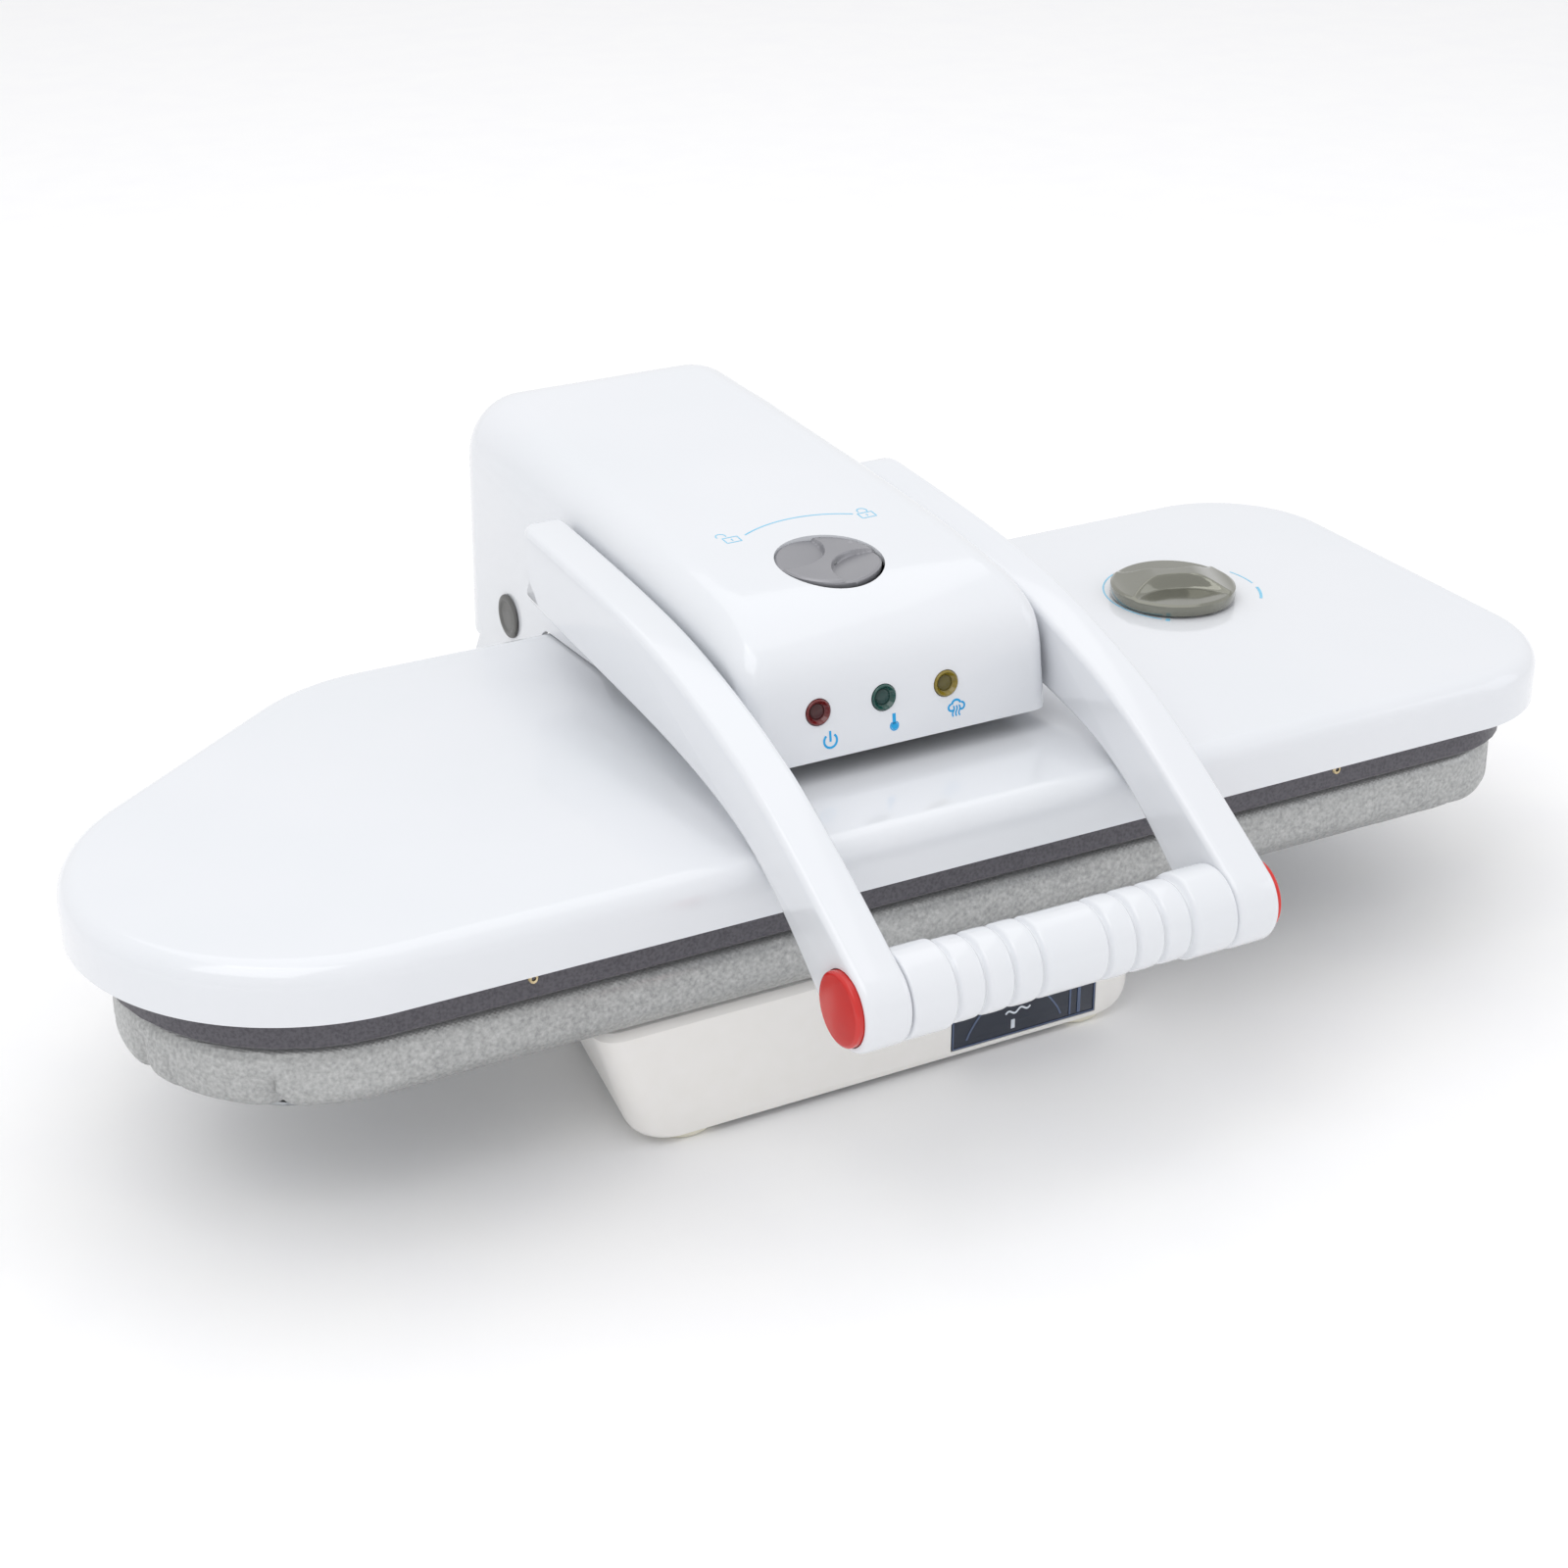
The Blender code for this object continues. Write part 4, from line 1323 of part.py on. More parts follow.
def make_platen(body):
    """Makes the heating plate with its steam holes and element, and the cover clipped over it."""
    cx = HEAD_CENTRE_X
    wall_top = COVER_RIM_Z + PLATE_INSIDE_RISE
    sole_top = PLATE_BOTTOM_Z + PLATE_SOLE
    plate = add_piece("heating_plate", loft([
        plan_ring(PLATE_INSET + PLATE_WALL / 2, PLATE_BOTTOM_Z),
        plan_ring(PLATE_INSET, PLATE_BOTTOM_Z + PLATE_WALL / 2),
        plan_ring(PLATE_INSET, wall_top),
    ]), "dark_plate", body)
    inside = PLATE_INSET + PLATE_WALL
    cut(plate, loft([plan_ring(inside, sole_top), plan_ring(inside, wall_top + OVERRUN)]))
    fuse(plate, rod((cx, COVER_CENTRE_Y, sole_top - OVERRUN), (cx, COVER_CENTRE_Y, sole_top + BOSS_HEIGHT),
                    BOSS_RADIUS))
    holes = []
    for row in (-1, 1):
        for i in range(STEAM_HOLE_COUNT):
            x = (i - (STEAM_HOLE_COUNT - 1) / 2) * STEAM_HOLE_PITCH
            y = COVER_CENTRE_Y + row * STEAM_HOLE_PITCH / 2
            holes.append(rod((x, y, PLATE_BOTTOM_Z - OVERRUN), (x, y, PLATE_BOTTOM_Z + STEAM_HOLE_DEPTH),
                             STEAM_HOLE_RADIUS, 8))
    cut(plate, merged(*holes))

    element_z = sole_top + ELEMENT_RADIUS + SEAT_GAP
    add_piece("heating_element", swept(element_path(element_z), ELEMENT_RADIUS, 6), "plug_grey", body)
    dial_x = DIAL_X
    dial_y = COVER_CENTRE_Y + DIAL_BEHIND_CENTRE
    inlet = (cx + INLET_X, COVER_CENTRE_Y + INLET_Y)
    cover = add_piece("platen_cover", loft(crowned_rings(COVER_RIM_Z, COVER_TOP_Z, COVER_CROWN, COVER_FILLET,
                                                         0.0, 0.0)), "white_gloss", body)
    spindle_top = COVER_CROWN_Z + OVERRUN
    cut(cover, loft(crowned_rings(COVER_RIM_Z, COVER_TOP_Z - COVER_SHEET, COVER_CROWN,
                                  COVER_FILLET - COVER_SHEET, COVER_SHEET, OVERRUN, math.radians(45))),
        rod((cx, COVER_CENTRE_Y, COVER_RIM_Z), (cx, COVER_CENTRE_Y, spindle_top), PLATEN_SPINDLE_RADIUS + SEAT_GAP),
        rod((dial_x, dial_y, COVER_RIM_Z), (dial_x, dial_y, spindle_top), SPINDLE_RADIUS + SEAT_GAP, SMALL_SIDES),
        rod((*inlet, COVER_RIM_Z), (*inlet, spindle_top), INLET_RADIUS + SEAT_GAP))

    thermostat_top = COVER_TOP_Z - COVER_SHEET - SEAT_GAP
    add_piece("thermostat", turned((dial_x, dial_y, sole_top + SEAT_GAP), (0, 0, 1), [
        (0.0, THERMOSTAT_RADIUS), (thermostat_top - THERMOSTAT_RADIUS - sole_top, THERMOSTAT_RADIUS),
        (thermostat_top - THERMOSTAT_RADIUS - sole_top, THERMOSTAT_RADIUS * 0.6),
        (thermostat_top - sole_top - SPINDLE_RADIUS * 2, THERMOSTAT_RADIUS * 0.6),
    ], SMALL_SIDES), "plug_grey", body)
    add_piece("steam_inlet", turned((*inlet, sole_top + SEAT_GAP), (0, 0, 1), [
        (0.0, INLET_RADIUS), (COVER_CROWN_Z + HOSE_RADIUS / 2 - sole_top, INLET_RADIUS),
        (COVER_CROWN_Z + HOSE_RADIUS - sole_top, HOSE_RADIUS),
    ]), "brass", body)
    make_upper_hose(body, (*inlet, COVER_CROWN_Z + HOSE_RADIUS + SEAT_GAP * 2))

    tab = COVER_FRONT_Y + PLATE_INSET - SEAT_GAP
    reach = COVER_FRONT_Y + COVER_SHEET + SEAT_GAP
    high = COVER_RIM_Z + PLATE_INSIDE_RISE / 2
    outline = [(tab, CLIP_LOW_Z), (tab, high), (reach, high), (reach, high - CLIP_THICKNESS),
               (tab - CLIP_THICKNESS, high - CLIP_THICKNESS), (tab - CLIP_THICKNESS, CLIP_LOW_Z)]
    for name, share in zip(("left", "right"), CLIP_SHARES):
        x = share * COVER_LENGTH
        add_piece(f"platen_clip_{name}", extruded(outline, x - CLIP_WIDTH / 2, x + CLIP_WIDTH / 2), "brass", body)


def make_upper_hose(body, inlet):
    """Makes the steam hose from the hinge axis through the arm to the steam inlet."""
    x, y, z = inlet
    start = HEAD_CENTRE_X + SEAT_GAP / 2
    route = [(start, HINGE_Y, HINGE_Z), (start + RISER_BEND * 0.4, HINGE_Y, HINGE_Z),
             (start + RISER_BEND * 0.75, HINGE_Y - RISER_BEND * 0.5, HINGE_Z + RISER_BEND * 0.3),
             (start + RISER_BEND * 0.9, HINGE_Y - RISER_BEND * 1.7, HINGE_Z + RISER_BEND * 1.5),
             (x, HINGE_Y - RISER_BEND * 3.2, BEAM_TOP_Z + RISER_BEND * 0.9),
             (x, y + RISER_BEND * 1.9, BEAM_TOP_Z + RISER_BEND * 0.7),
             (x, y + RISER_BEND * 0.5, z + RISER_BEND * 1.15), (x, y, z + RISER_BEND * 0.45), (x, y, z)]
    add_piece("steam_hose_upper", swept(smooth_path(route), HOSE_RADIUS, 8), "silicone", body)


def make_dial(body):
    """Makes the temperature dial with its finger ridge, and the spindle down to the thermostat."""
    centre = Vector((DIAL_X, COVER_CENTRE_Y + DIAL_BEHIND_CENTRE, COVER_CROWN_Z + DIAL_SEAT - COVER_CROWN / 4))
    dial = add_piece("temperature_dial", turned(centre, (0, 0, 1), [
        (0.0, DIAL_RADIUS * 0.975), (DIAL_HEIGHT * 0.25, DIAL_RADIUS), (DIAL_HEIGHT * 0.75, DIAL_RADIUS * 0.99),
        (DIAL_HEIGHT, DIAL_RADIUS * 0.95), (DIAL_HEIGHT, DIAL_RADIUS * 0.94),
    ], LARGE_SIDES), "dial_grey", body)
    ridge = grip_ridge(DIAL_RADIUS, DIAL_HEIGHT, DIAL_RIDGE_HEIGHT, DIAL_RIDGE_SHARES)
    ridge.transform(Matrix.Translation(centre) @ Matrix.Rotation(DIAL_TURN, 4, "Z"))
    fuse(dial, ridge)
    cut(dial, rod(centre - Vector((0, 0, OVERRUN)), centre + Vector((0, 0, DIAL_HEIGHT * 0.6)),
                  SPINDLE_RADIUS + SEAT_GAP, SMALL_SIDES))
    bottom = Vector((centre.x, centre.y, COVER_TOP_Z - COVER_SHEET - SPINDLE_RADIUS * 2 + SEAT_GAP))
    add_piece("dial_spindle", rod(bottom, centre + Vector((0, 0, DIAL_HEIGHT * 0.5)), SPINDLE_RADIUS,
                                  SMALL_SIDES), "steel", body)


def make_all():
    """Makes every piece of the press, each moving group under an empty on its joint's axis."""
    arm = joint_empty("arm_axis", (HEAD_CENTRE_X, HINGE_Y, HINGE_Z))
    handle = joint_empty("handle_axis", (HEAD_CENTRE_X, HANDLE_PIVOT_Y, HANDLE_PIVOT_Z), arm)
    knob = joint_empty("lock_knob_axis", knob_point(0.0), arm)
    dial = joint_empty("dial_axis", (DIAL_X, COVER_CENTRE_Y + DIAL_BEHIND_CENTRE, COVER_CROWN_Z), arm)
    tank = joint_empty("tank_slide", (TANK_MIDDLE_X, BASE_FRONT_Y, TANK_BOTTOM_Z))
    make_base_housing()
    make_base_bottom()
    make_hinge_column()
    make_tank_bay()
    make_base_electrics()
    make_board()
    make_water_tank(tank)
    make_arm(arm)
    make_platen(arm)
    make_head_cover(arm)
    make_dial(dial)
    make_lock_knob(knob)
    make_handle(handle)
    for name, side in (("steam_button_left", -1), ("steam_button_right", 1)):
        button = joint_empty(f"{name}_slide", (HEAD_CENTRE_X + side * HANDLE_WIDTH / 2, GRIP_Y, GRIP_Z), handle)
        make_button(name, side, button)


make_all()
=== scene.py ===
"""Looks of the steam ironing press: smooth shells, fabric, finishes, light and camera over the fixed frame.

Metres, +Z up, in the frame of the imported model. X runs along the board from its round nose, Y runs from
the grip to the hinge, and Z = 0 is the surface that the feet stand on.
"""

import json
import logging
import math
from dataclasses import dataclass, field
from enum import Enum
from typing import Callable, Sequence

import bmesh
import bpy
import numpy as np
from mathutils import Euler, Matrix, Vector

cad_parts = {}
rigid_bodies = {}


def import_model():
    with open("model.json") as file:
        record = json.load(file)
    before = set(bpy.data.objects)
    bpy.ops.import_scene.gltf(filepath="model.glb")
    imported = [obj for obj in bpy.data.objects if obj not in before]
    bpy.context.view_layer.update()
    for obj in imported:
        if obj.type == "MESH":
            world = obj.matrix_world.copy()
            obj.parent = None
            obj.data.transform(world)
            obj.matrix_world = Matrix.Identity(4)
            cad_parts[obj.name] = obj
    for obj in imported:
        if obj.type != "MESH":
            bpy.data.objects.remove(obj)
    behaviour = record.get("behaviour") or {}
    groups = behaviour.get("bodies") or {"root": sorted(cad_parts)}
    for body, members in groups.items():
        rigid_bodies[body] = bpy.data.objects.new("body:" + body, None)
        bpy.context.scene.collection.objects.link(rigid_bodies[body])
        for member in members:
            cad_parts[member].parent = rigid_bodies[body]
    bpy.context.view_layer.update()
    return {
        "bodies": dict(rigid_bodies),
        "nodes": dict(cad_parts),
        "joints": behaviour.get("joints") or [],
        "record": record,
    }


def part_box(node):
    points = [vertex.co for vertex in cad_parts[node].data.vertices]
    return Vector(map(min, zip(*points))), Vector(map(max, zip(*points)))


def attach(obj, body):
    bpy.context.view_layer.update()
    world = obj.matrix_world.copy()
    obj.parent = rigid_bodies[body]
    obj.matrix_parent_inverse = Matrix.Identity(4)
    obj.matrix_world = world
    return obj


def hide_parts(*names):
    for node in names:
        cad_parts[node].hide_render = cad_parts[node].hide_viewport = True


log = logging.getLogger("ironing_press")

Pair = tuple[float, float]
Triple = tuple[float, float, float]
Piece = bpy.types.Object
Material = bpy.types.Material
Socket = bpy.types.NodeSocket

# Points that lie nearer than these are merged: on new pieces and on the frame's nodes, in metres
MERGE_M = 1e-6
NODE_MERGE_M = 1e-5
# Edges that turn by more degrees than these stay crisp: as a rule, on rounded edges, on the handle, nowhere
CRISP_DEGREES = 35.0
SOFT_DEGREES = 50.0
HANDLE_DEGREES = 60.0
ALL_SMOOTH_DEGREES = 180.0
# Roughness of every clear top layer
COAT_ROUGHNESS = 0.05
# Radii of the two knobs, in metres
LOCK_RADIUS = 0.0235
DIAL_RADIUS = 0.0305


# Small tools shared by every class


def linear(code: str) -> Triple:
    """Turns an sRGB hex colour into linear red, green and blue.

    Args:
        code: six hex digits, with or without a leading hash.

    Returns:
        The three linear values: v / 12.92 below 0.04045, and ((v + 0.055) / 1.055) ** 2.4 above it.
    """
    values = [int(code.lstrip("#")[i:i + 2], 16) / 255 for i in (0, 2, 4)]
    return tuple(v / 12.92 if v <= 0.04045 else ((v + 0.055) / 1.055) ** 2.4 for v in values)


def smooth_step(low: float, high: float, value: np.ndarray) -> np.ndarray:
    """Rises from 0 at low to 1 at high with level ends: 3 t squared less 2 t cubed.

    Args:
        low: where the rise starts.
        high: where it ends.
        value: the places to read.

    Returns:
        The share of the rise at each place.
    """
    t = np.clip((value - low) / (high - low), 0.0, 1.0)
    return t * t * (3.0 - 2.0 * t)


def around(centre: Sequence[float], radius: float, turn: np.ndarray) -> np.ndarray:
    """Gives the points of an arc as (a, b) rows: centre + radius * (cos t, sin t)."""
    return np.stack([centre[0] + radius * np.cos(turn), centre[1] + radius * np.sin(turn)], axis=1)


def run_along(line: np.ndarray) -> np.ndarray:
    """Gives the way covered along a line at each of its points, from 0 at the first."""
    return np.concatenate([[0.0], np.cumsum(np.linalg.norm(np.diff(line, axis=0), axis=1))])


def read_line(marks: np.ndarray, knots: np.ndarray, line: np.ndarray) -> np.ndarray:
    """Reads the (a, b) of a line at marks on the scale that knots gives for its points."""
    return np.stack([np.interp(marks, knots, line[:, 0]), np.interp(marks, knots, line[:, 1])], axis=1)


def at_height(plan: np.ndarray, z: float) -> np.ndarray:
    """Lifts plan points (x, y) to one height."""
    return np.column_stack([plan, np.full(len(plan), z)])


def grid_faces(rows: int, columns: int, wrap_rows: bool = False, wrap_columns: bool = True) -> np.ndarray:
    """Joins neighbouring points of a grid into four-sided faces.

    Args:
        rows: number of rows of points.
        columns: number of points in a row.
        wrap_rows: the last row joins the first.
        wrap_columns: the last point of a row joins its first.

    Returns:
        One row of four point numbers for each face.
    """
    i = np.arange(rows if wrap_rows else rows - 1)[:, None]
    j = np.arange(columns if wrap_columns else columns - 1)[None, :]
    next_i = (i + 1) % rows
    next_j = (j + 1) % columns
    corners = (i * columns + j, i * columns + next_j, next_i * columns + next_j, next_i * columns + j)
    return np.stack([np.broadcast_to(c, (i.shape[0], j.shape[1])) for c in corners], axis=-1).reshape(-1, 4)


def new_piece(name: str, points: np.ndarray, faces: list[list[int]], material: Material,
              sharp: float = CRISP_DEGREES) -> Piece:
    """Makes a mesh object at the origin, with outward faces and smooth shading between soft edges.

    Args:
        name: name of the piece.
        points: one row of x, y and z for each point, in metres.
        faces: point numbers of each face.
        material: what the piece is made of.
        sharp: edges that turn by more degrees than this stay crisp.

    Returns:
        The new object.
    """
    mesh = bpy.data.meshes.new(name)
    mesh.from_pydata(np.asarray(points, float).reshape(-1, 3).tolist(), [], faces)
    work = bmesh.new()
    work.from_mesh(mesh)
    bmesh.ops.remove_doubles(work, verts=work.verts, dist=MERGE_M)
    bmesh.ops.dissolve_degenerate(work, edges=work.edges, dist=MERGE_M)
    bmesh.ops.recalc_face_normals(work, faces=work.faces)
    work.to_mesh(mesh)
    work.free()
    mesh.materials.append(material)
    mesh.shade_smooth()
    mesh.set_sharp_from_angle(angle=math.radians(sharp))
    piece = bpy.data.objects.new(name, mesh)
    bpy.context.scene.collection.objects.link(piece)
    return piece


def skin(name: str, grid: np.ndarray, material: Material, closed_rows: bool = False,
         sharp: float = CRISP_DEGREES) -> Piece:
    """Covers a grid of closed rows of points, and caps its first and last row.

    Args:
        name: name of the piece.
        grid: points by row, by column and by axis.
        material: what the piece is made of.
        closed_rows: the last row joins the first, so there are no caps.
        sharp: edges that turn by more degrees than this stay crisp.

    Returns:
        The new object.
    """
    rows, columns = grid.shape[:2]
    faces = grid_faces(rows, columns, wrap_rows=closed_rows).tolist()
    if not closed_rows:
        faces.append(list(range(columns))[::-1])
        faces.append(list(range((rows - 1) * columns, rows * columns)))
    return new_piece(name, grid, faces, material, sharp)


def turned(name: str, centre: Sequence[float], axis: Sequence[float], profile: Sequence[Pair],
           material: Material, sides: int = 64, sharp: float = CRISP_DEGREES) -> Piece:
    """Turns a profile about an axis: centre + along * axis + radius * (cos t * first + sin t * second).

    Args:
        name: name of the piece.
        centre: where the axis starts.
        axis: its direction.
        profile: (place along the axis, radius) pairs from one end to the other.
        material: what the piece is made of.
        sides: number of points round the axis.
        sharp: edges that turn by more degrees than this stay crisp.

    Returns:
        The new object.
    """
    direction = np.asarray(axis, float) / np.linalg.norm(axis)
    helper = np.array([0.0, 0.0, 1.0]) if abs(direction[2]) < 0.7 else np.array([0.0, 1.0, 0.0])
    first = np.cross(direction, helper)
    first /= np.linalg.norm(first)
    second = np.cross(direction, first)
    turn = np.linspace(0.0, 2 * math.pi, sides, endpoint=False)
    spokes = np.cos(turn)[:, None] * first + np.sin(turn)[:, None] * second
    table = np.asarray(profile, float)
    grid = (np.asarray(centre, float) + table[:, 0][:, None, None] * direction
            + table[:, 1][:, None, None] * spokes[None, :, :])
    return skin(name, grid, material, sharp=sharp)


def rounded_profile(points: Sequence[Triple], steps: int = 6) -> list[Pair]:
    """Rounds the corners of a profile with a quadratic curve: (1-t)^2 a + 2 t (1-t) corner + t^2 b.

    Args:
        points: (along, radius, rounding) for each corner; the rounding is how far from it the curve starts.
        steps: number of stretches in each curve.

    Returns:
        The rounded profile's (along, radius) pairs.
    """
    corners = np.asarray(points, float)
    t = np.linspace(0.0, 1.0, steps + 1)[:, None]
    result = [corners[0, :2]]
    for before, corner, after in zip(corners, corners[1:], corners[2:]):
        if corner[2] <= 0:
            result.append(corner[:2])
            continue
        back = before[:2] - corner[:2]
        ahead = after[:2] - corner[:2]
        a = corner[:2] + back / np.linalg.norm(back) * min(corner[2], np.linalg.norm(back) / 2)
        b = corner[:2] + ahead / np.linalg.norm(ahead) * min(corner[2], np.linalg.norm(ahead) / 2)
        result.extend((1 - t) ** 2 * a + 2 * t * (1 - t) * corner[:2] + t ** 2 * b)
    result.append(corners[-1, :2])
    return [tuple(pair) for pair in result]


def apply_modifiers(piece: Piece) -> None:
    """Replaces the piece's mesh by what its modifiers make of it.

    Args:
        piece: the object whose modifiers are used up.
    """
    bpy.context.view_layer.update()
    seen = piece.evaluated_get(bpy.context.evaluated_depsgraph_get())
    mesh = bpy.data.meshes.new_from_object(seen)
    old = piece.data
    piece.modifiers.clear()
    piece.data = mesh
    bpy.data.meshes.remove(old)


def drill(piece: Piece, cutter: Piece) -> None:
    """Cuts a closed piece out of another with an exact Boolean and removes the cutter.

    Args:
        piece: what is cut.
        cutter: the closed shape that is taken away.
    """
    modifier = piece.modifiers.new("Cut", "BOOLEAN")
    modifier.solver = "EXACT"
    modifier.operation = "DIFFERENCE"
    modifier.object = cutter
    apply_modifiers(piece)
    bpy.data.objects.remove(cutter, do_unlink=True)
    piece.data.shade_smooth()
    piece.data.set_sharp_from_angle(angle=math.radians(CRISP_DEGREES))


def soft_edges(piece: Piece, width: float, segments: int = 3, angle: float = 40.0) -> None:
    """Rounds a piece's crisp edges with a bevel.

    Args:
        piece: the piece to finish.
        width: radius of the rounding, in metres.
        segments: number of strips across it.
        angle: edges that turn by more degrees than this are rounded.
    """
    modifier = piece.modifiers.new("Soft edges", "BEVEL")
    modifier.width = width
    modifier.segments = segments
    modifier.limit_method = "ANGLE"
    modifier.angle_limit = math.radians(angle)
    modifier.harden_normals = False
    apply_modifiers(piece)
    piece.data.shade_smooth()
    piece.data.set_sharp_from_angle(angle=math.radians(SOFT_DEGREES))


def add_node(material: Material, kind: str, settings: dict | None = None,
             links: dict | None = None) -> bpy.types.Node:
    """Adds a node with its settings and links.

    Args:
        material: the material whose tree gets the node.
        kind: the node's type.
        settings: values by attribute name, or by socket name or number for an input.
        links: output sockets by the input's name or number.

    Returns:
        The new node.
    """
    node = material.node_tree.nodes.new(kind)
    for key, value in (settings or {}).items():
        if isinstance(key, str) and hasattr(node, key):
            setattr(node, key, value)
        else:
            node.inputs[key].default_value = value
    for key, socket in (links or {}).items():
        material.node_tree.links.new(socket, node.inputs[key])
    return node


# Finishes


class Pattern(Enum):
    """How a finish varies over its surface."""

    MOULDED = "moulded plastic: a faint ripple from the tool and a trace of dust in its gloss"
    ERODED = "spark-eroded mould: a fine even grain that scatters highlights"
    BRUSHED = "drawn or brushed metal: long fine scratches one way"
    SPANGLED = "zinc-coated sheet: flat crystals a few millimetres wide"
    CAST = "cast and coated metal: fine pits under a dull coat"
    WOVEN = "plain weave with a bright metal coat that is broken between the threads"
    CLEAR = "clear moulding: even colour that deepens where it is thick"


@dataclass(frozen=True)
class Finish:
    """One real material and how its surface was made.

    Attributes:
        name: the material's own name.
        colour: its main sRGB hex colour.
        shade: the sRGB hex colour that its pattern brings in.
        roughness: how dull it is, from 0 to 1.
        pattern: how it varies.
        grain_mm: size of the pattern.
        relief_mm: height of the pattern.
        metallic: 1 for bare metal.
        ior: index of refraction of what is not metal.
        coat: strength of a clear top layer.
        clear: how much light passes through.
        spread: how far the pattern changes the roughness.
    """

    name: str
    colour: str
    shade: str
    roughness: float
    pattern: Pattern
    grain_mm: float
    relief_mm: float
    metallic: float = 0.0
    ior: float = 1.5
    coat: float = 0.0
    clear: float = 0.0
    spread: float = 0.06

    def make(self) -> Material:
        """Builds the node material.

        Returns:
            A material whose colour, roughness and relief follow the pattern on Object coordinates.
        """
        material = bpy.data.materials.new(self.name)
        material.use_nodes = True
        shader = material.node_tree.nodes["Principled BSDF"]
        shader.inputs["Metallic"].default_value = self.metallic
        if self.metallic < 0.5:
            shader.inputs["IOR"].default_value = self.ior
        shader.inputs["Coat Weight"].default_value = self.coat
        shader.inputs["Coat Roughness"].default_value = COAT_ROUGHNESS
        shader.inputs["Transmission Weight"].default_value = self.clear
        place = add_node(material, "ShaderNodeTexCoord").outputs["Object"]
        height, tint = self.pattern_sockets(material, place)
        colour = add_node(material, "ShaderNodeMix", {"data_type": "RGBA", 6: (*linear(self.colour), 1.0),
                                                      7: (*linear(self.shade), 1.0)}, {0: tint})
        material.node_tree.links.new(colour.outputs[2], shader.inputs["Base Color"])
        rough = add_node(material, "ShaderNodeMapRange", {
            "To Min": max(0.02, self.roughness - self.spread),
            "To Max": min(1.0, self.roughness + self.spread),
        }, {"Value": tint})
        material.node_tree.links.new(rough.outputs["Result"], shader.inputs["Roughness"])
        bump = add_node(material, "ShaderNodeBump", {"Strength": 1.0, "Distance": self.relief_mm / 1000},
                        {"Height": height})
        material.node_tree.links.new(bump.outputs["Normal"], shader.inputs["Normal"])
        return material

    def pattern_sockets(self, material: Material, place: Socket) -> tuple[Socket, Socket]:
        """Adds the pattern's texture nodes.

        Args:
            material: the material being built.
            place: the Object coordinates.

        Returns:
            The socket that gives relief and the socket that gives the share of the second colour.
        """
        repeats = 1000 / self.grain_mm
        slow = add_node(material, "ShaderNodeTexNoise", {"Scale": repeats / 12, "Detail": 2.0},
                        {"Vector": place})
        if self.pattern is Pattern.BRUSHED:
            drawn = add_node(material, "ShaderNodeMapping", {"Scale": (0.04, 1.0, 1.0)}, {"Vector": place})
            fine = add_node(material, "ShaderNodeTexNoise", {"Scale": repeats, "Detail": 5.0},
                            {"Vector": drawn.outputs["Vector"]})
            return fine.outputs["Fac"], fine.outputs["Fac"]
        if self.pattern is Pattern.SPANGLED:
            cells = add_node(material, "ShaderNodeTexVoronoi", {"Scale": repeats}, {"Vector": place})
            grey = add_node(material, "ShaderNodeSeparateColor", {}, {"Color": cells.outputs["Color"]})
            return cells.outputs["Distance"], grey.outputs["Red"]
        if self.pattern is Pattern.WOVEN:
            return self.weave_sockets(material, place, repeats)
        details = {Pattern.MOULDED: 1.0, Pattern.CLEAR: 1.0, Pattern.ERODED: 4.0, Pattern.CAST: 8.0}
        fine = add_node(material, "ShaderNodeTexNoise", {"Scale": repeats, "Detail": details[self.pattern]},
                        {"Vector": place})
        tint = add_node(material, "ShaderNodeMapRange", {"From Min": 0.35, "From Max": 0.75},
                        {"Value": slow.outputs["Fac"]})
        if self.pattern is Pattern.CAST:
            tint = add_node(material, "ShaderNodeMapRange", {"From Min": 0.40, "From Max": 0.65},
                            {"Value": fine.outputs["Fac"]})
        return fine.outputs["Fac"], tint.outputs["Result"]

    def weave_sockets(self, material: Material, place: Socket, repeats: float) -> tuple[Socket, Socket]:
        """Adds a plain weave: warp and weft bands that take turns, and flecks where the coat is broken.

        Args:
            material: the material being built.
            place: the Object coordinates.
            repeats: threads per metre.

        Returns:
            The socket that gives relief and the socket that gives the share of the second colour.
        """
        split = add_node(material, "ShaderNodeSeparateXYZ", {}, {"Vector": place})
        rise = add_node(material, "ShaderNodeMath", {"operation": "ADD"},
                        {0: split.outputs["Y"], 1: split.outputs["Z"]})
        bands = []
        for source in (split.outputs["X"], rise.outputs[0]):
            phase = add_node(material, "ShaderNodeMath", {"operation": "MULTIPLY", 1: repeats * math.pi},
                             {0: source})
            band = add_node(material, "ShaderNodeMath", {"operation": "SINE"}, {0: phase.outputs[0]})
            bands.append(band.outputs[0])
        weave = add_node(material, "ShaderNodeMath", {"operation": "MULTIPLY"}, {0: bands[0], 1: bands[1]})
        fleck = add_node(material, "ShaderNodeTexNoise", {"Scale": repeats * 0.7, "Detail": 3.0},
                         {"Vector": place})
        cloud = add_node(material, "ShaderNodeTexNoise", {"Scale": 9.0, "Detail": 3.0}, {"Vector": place})
        both = add_node(material, "ShaderNodeMath", {"operation": "MULTIPLY_ADD", 1: 0.30},
                        {0: cloud.outputs["Fac"], 2: fleck.outputs["Fac"]})
        tint = add_node(material, "ShaderNodeMapRange", {"From Min": 0.40, "From Max": 0.92},
                        {"Value": both.outputs[0]})
        half = add_node(material, "ShaderNodeMath", {"operation": "MULTIPLY_ADD", 1: 0.35},
                        {0: weave.outputs[0], 2: fleck.outputs["Fac"]})
        return half.outputs[0], tint.outputs["Result"]


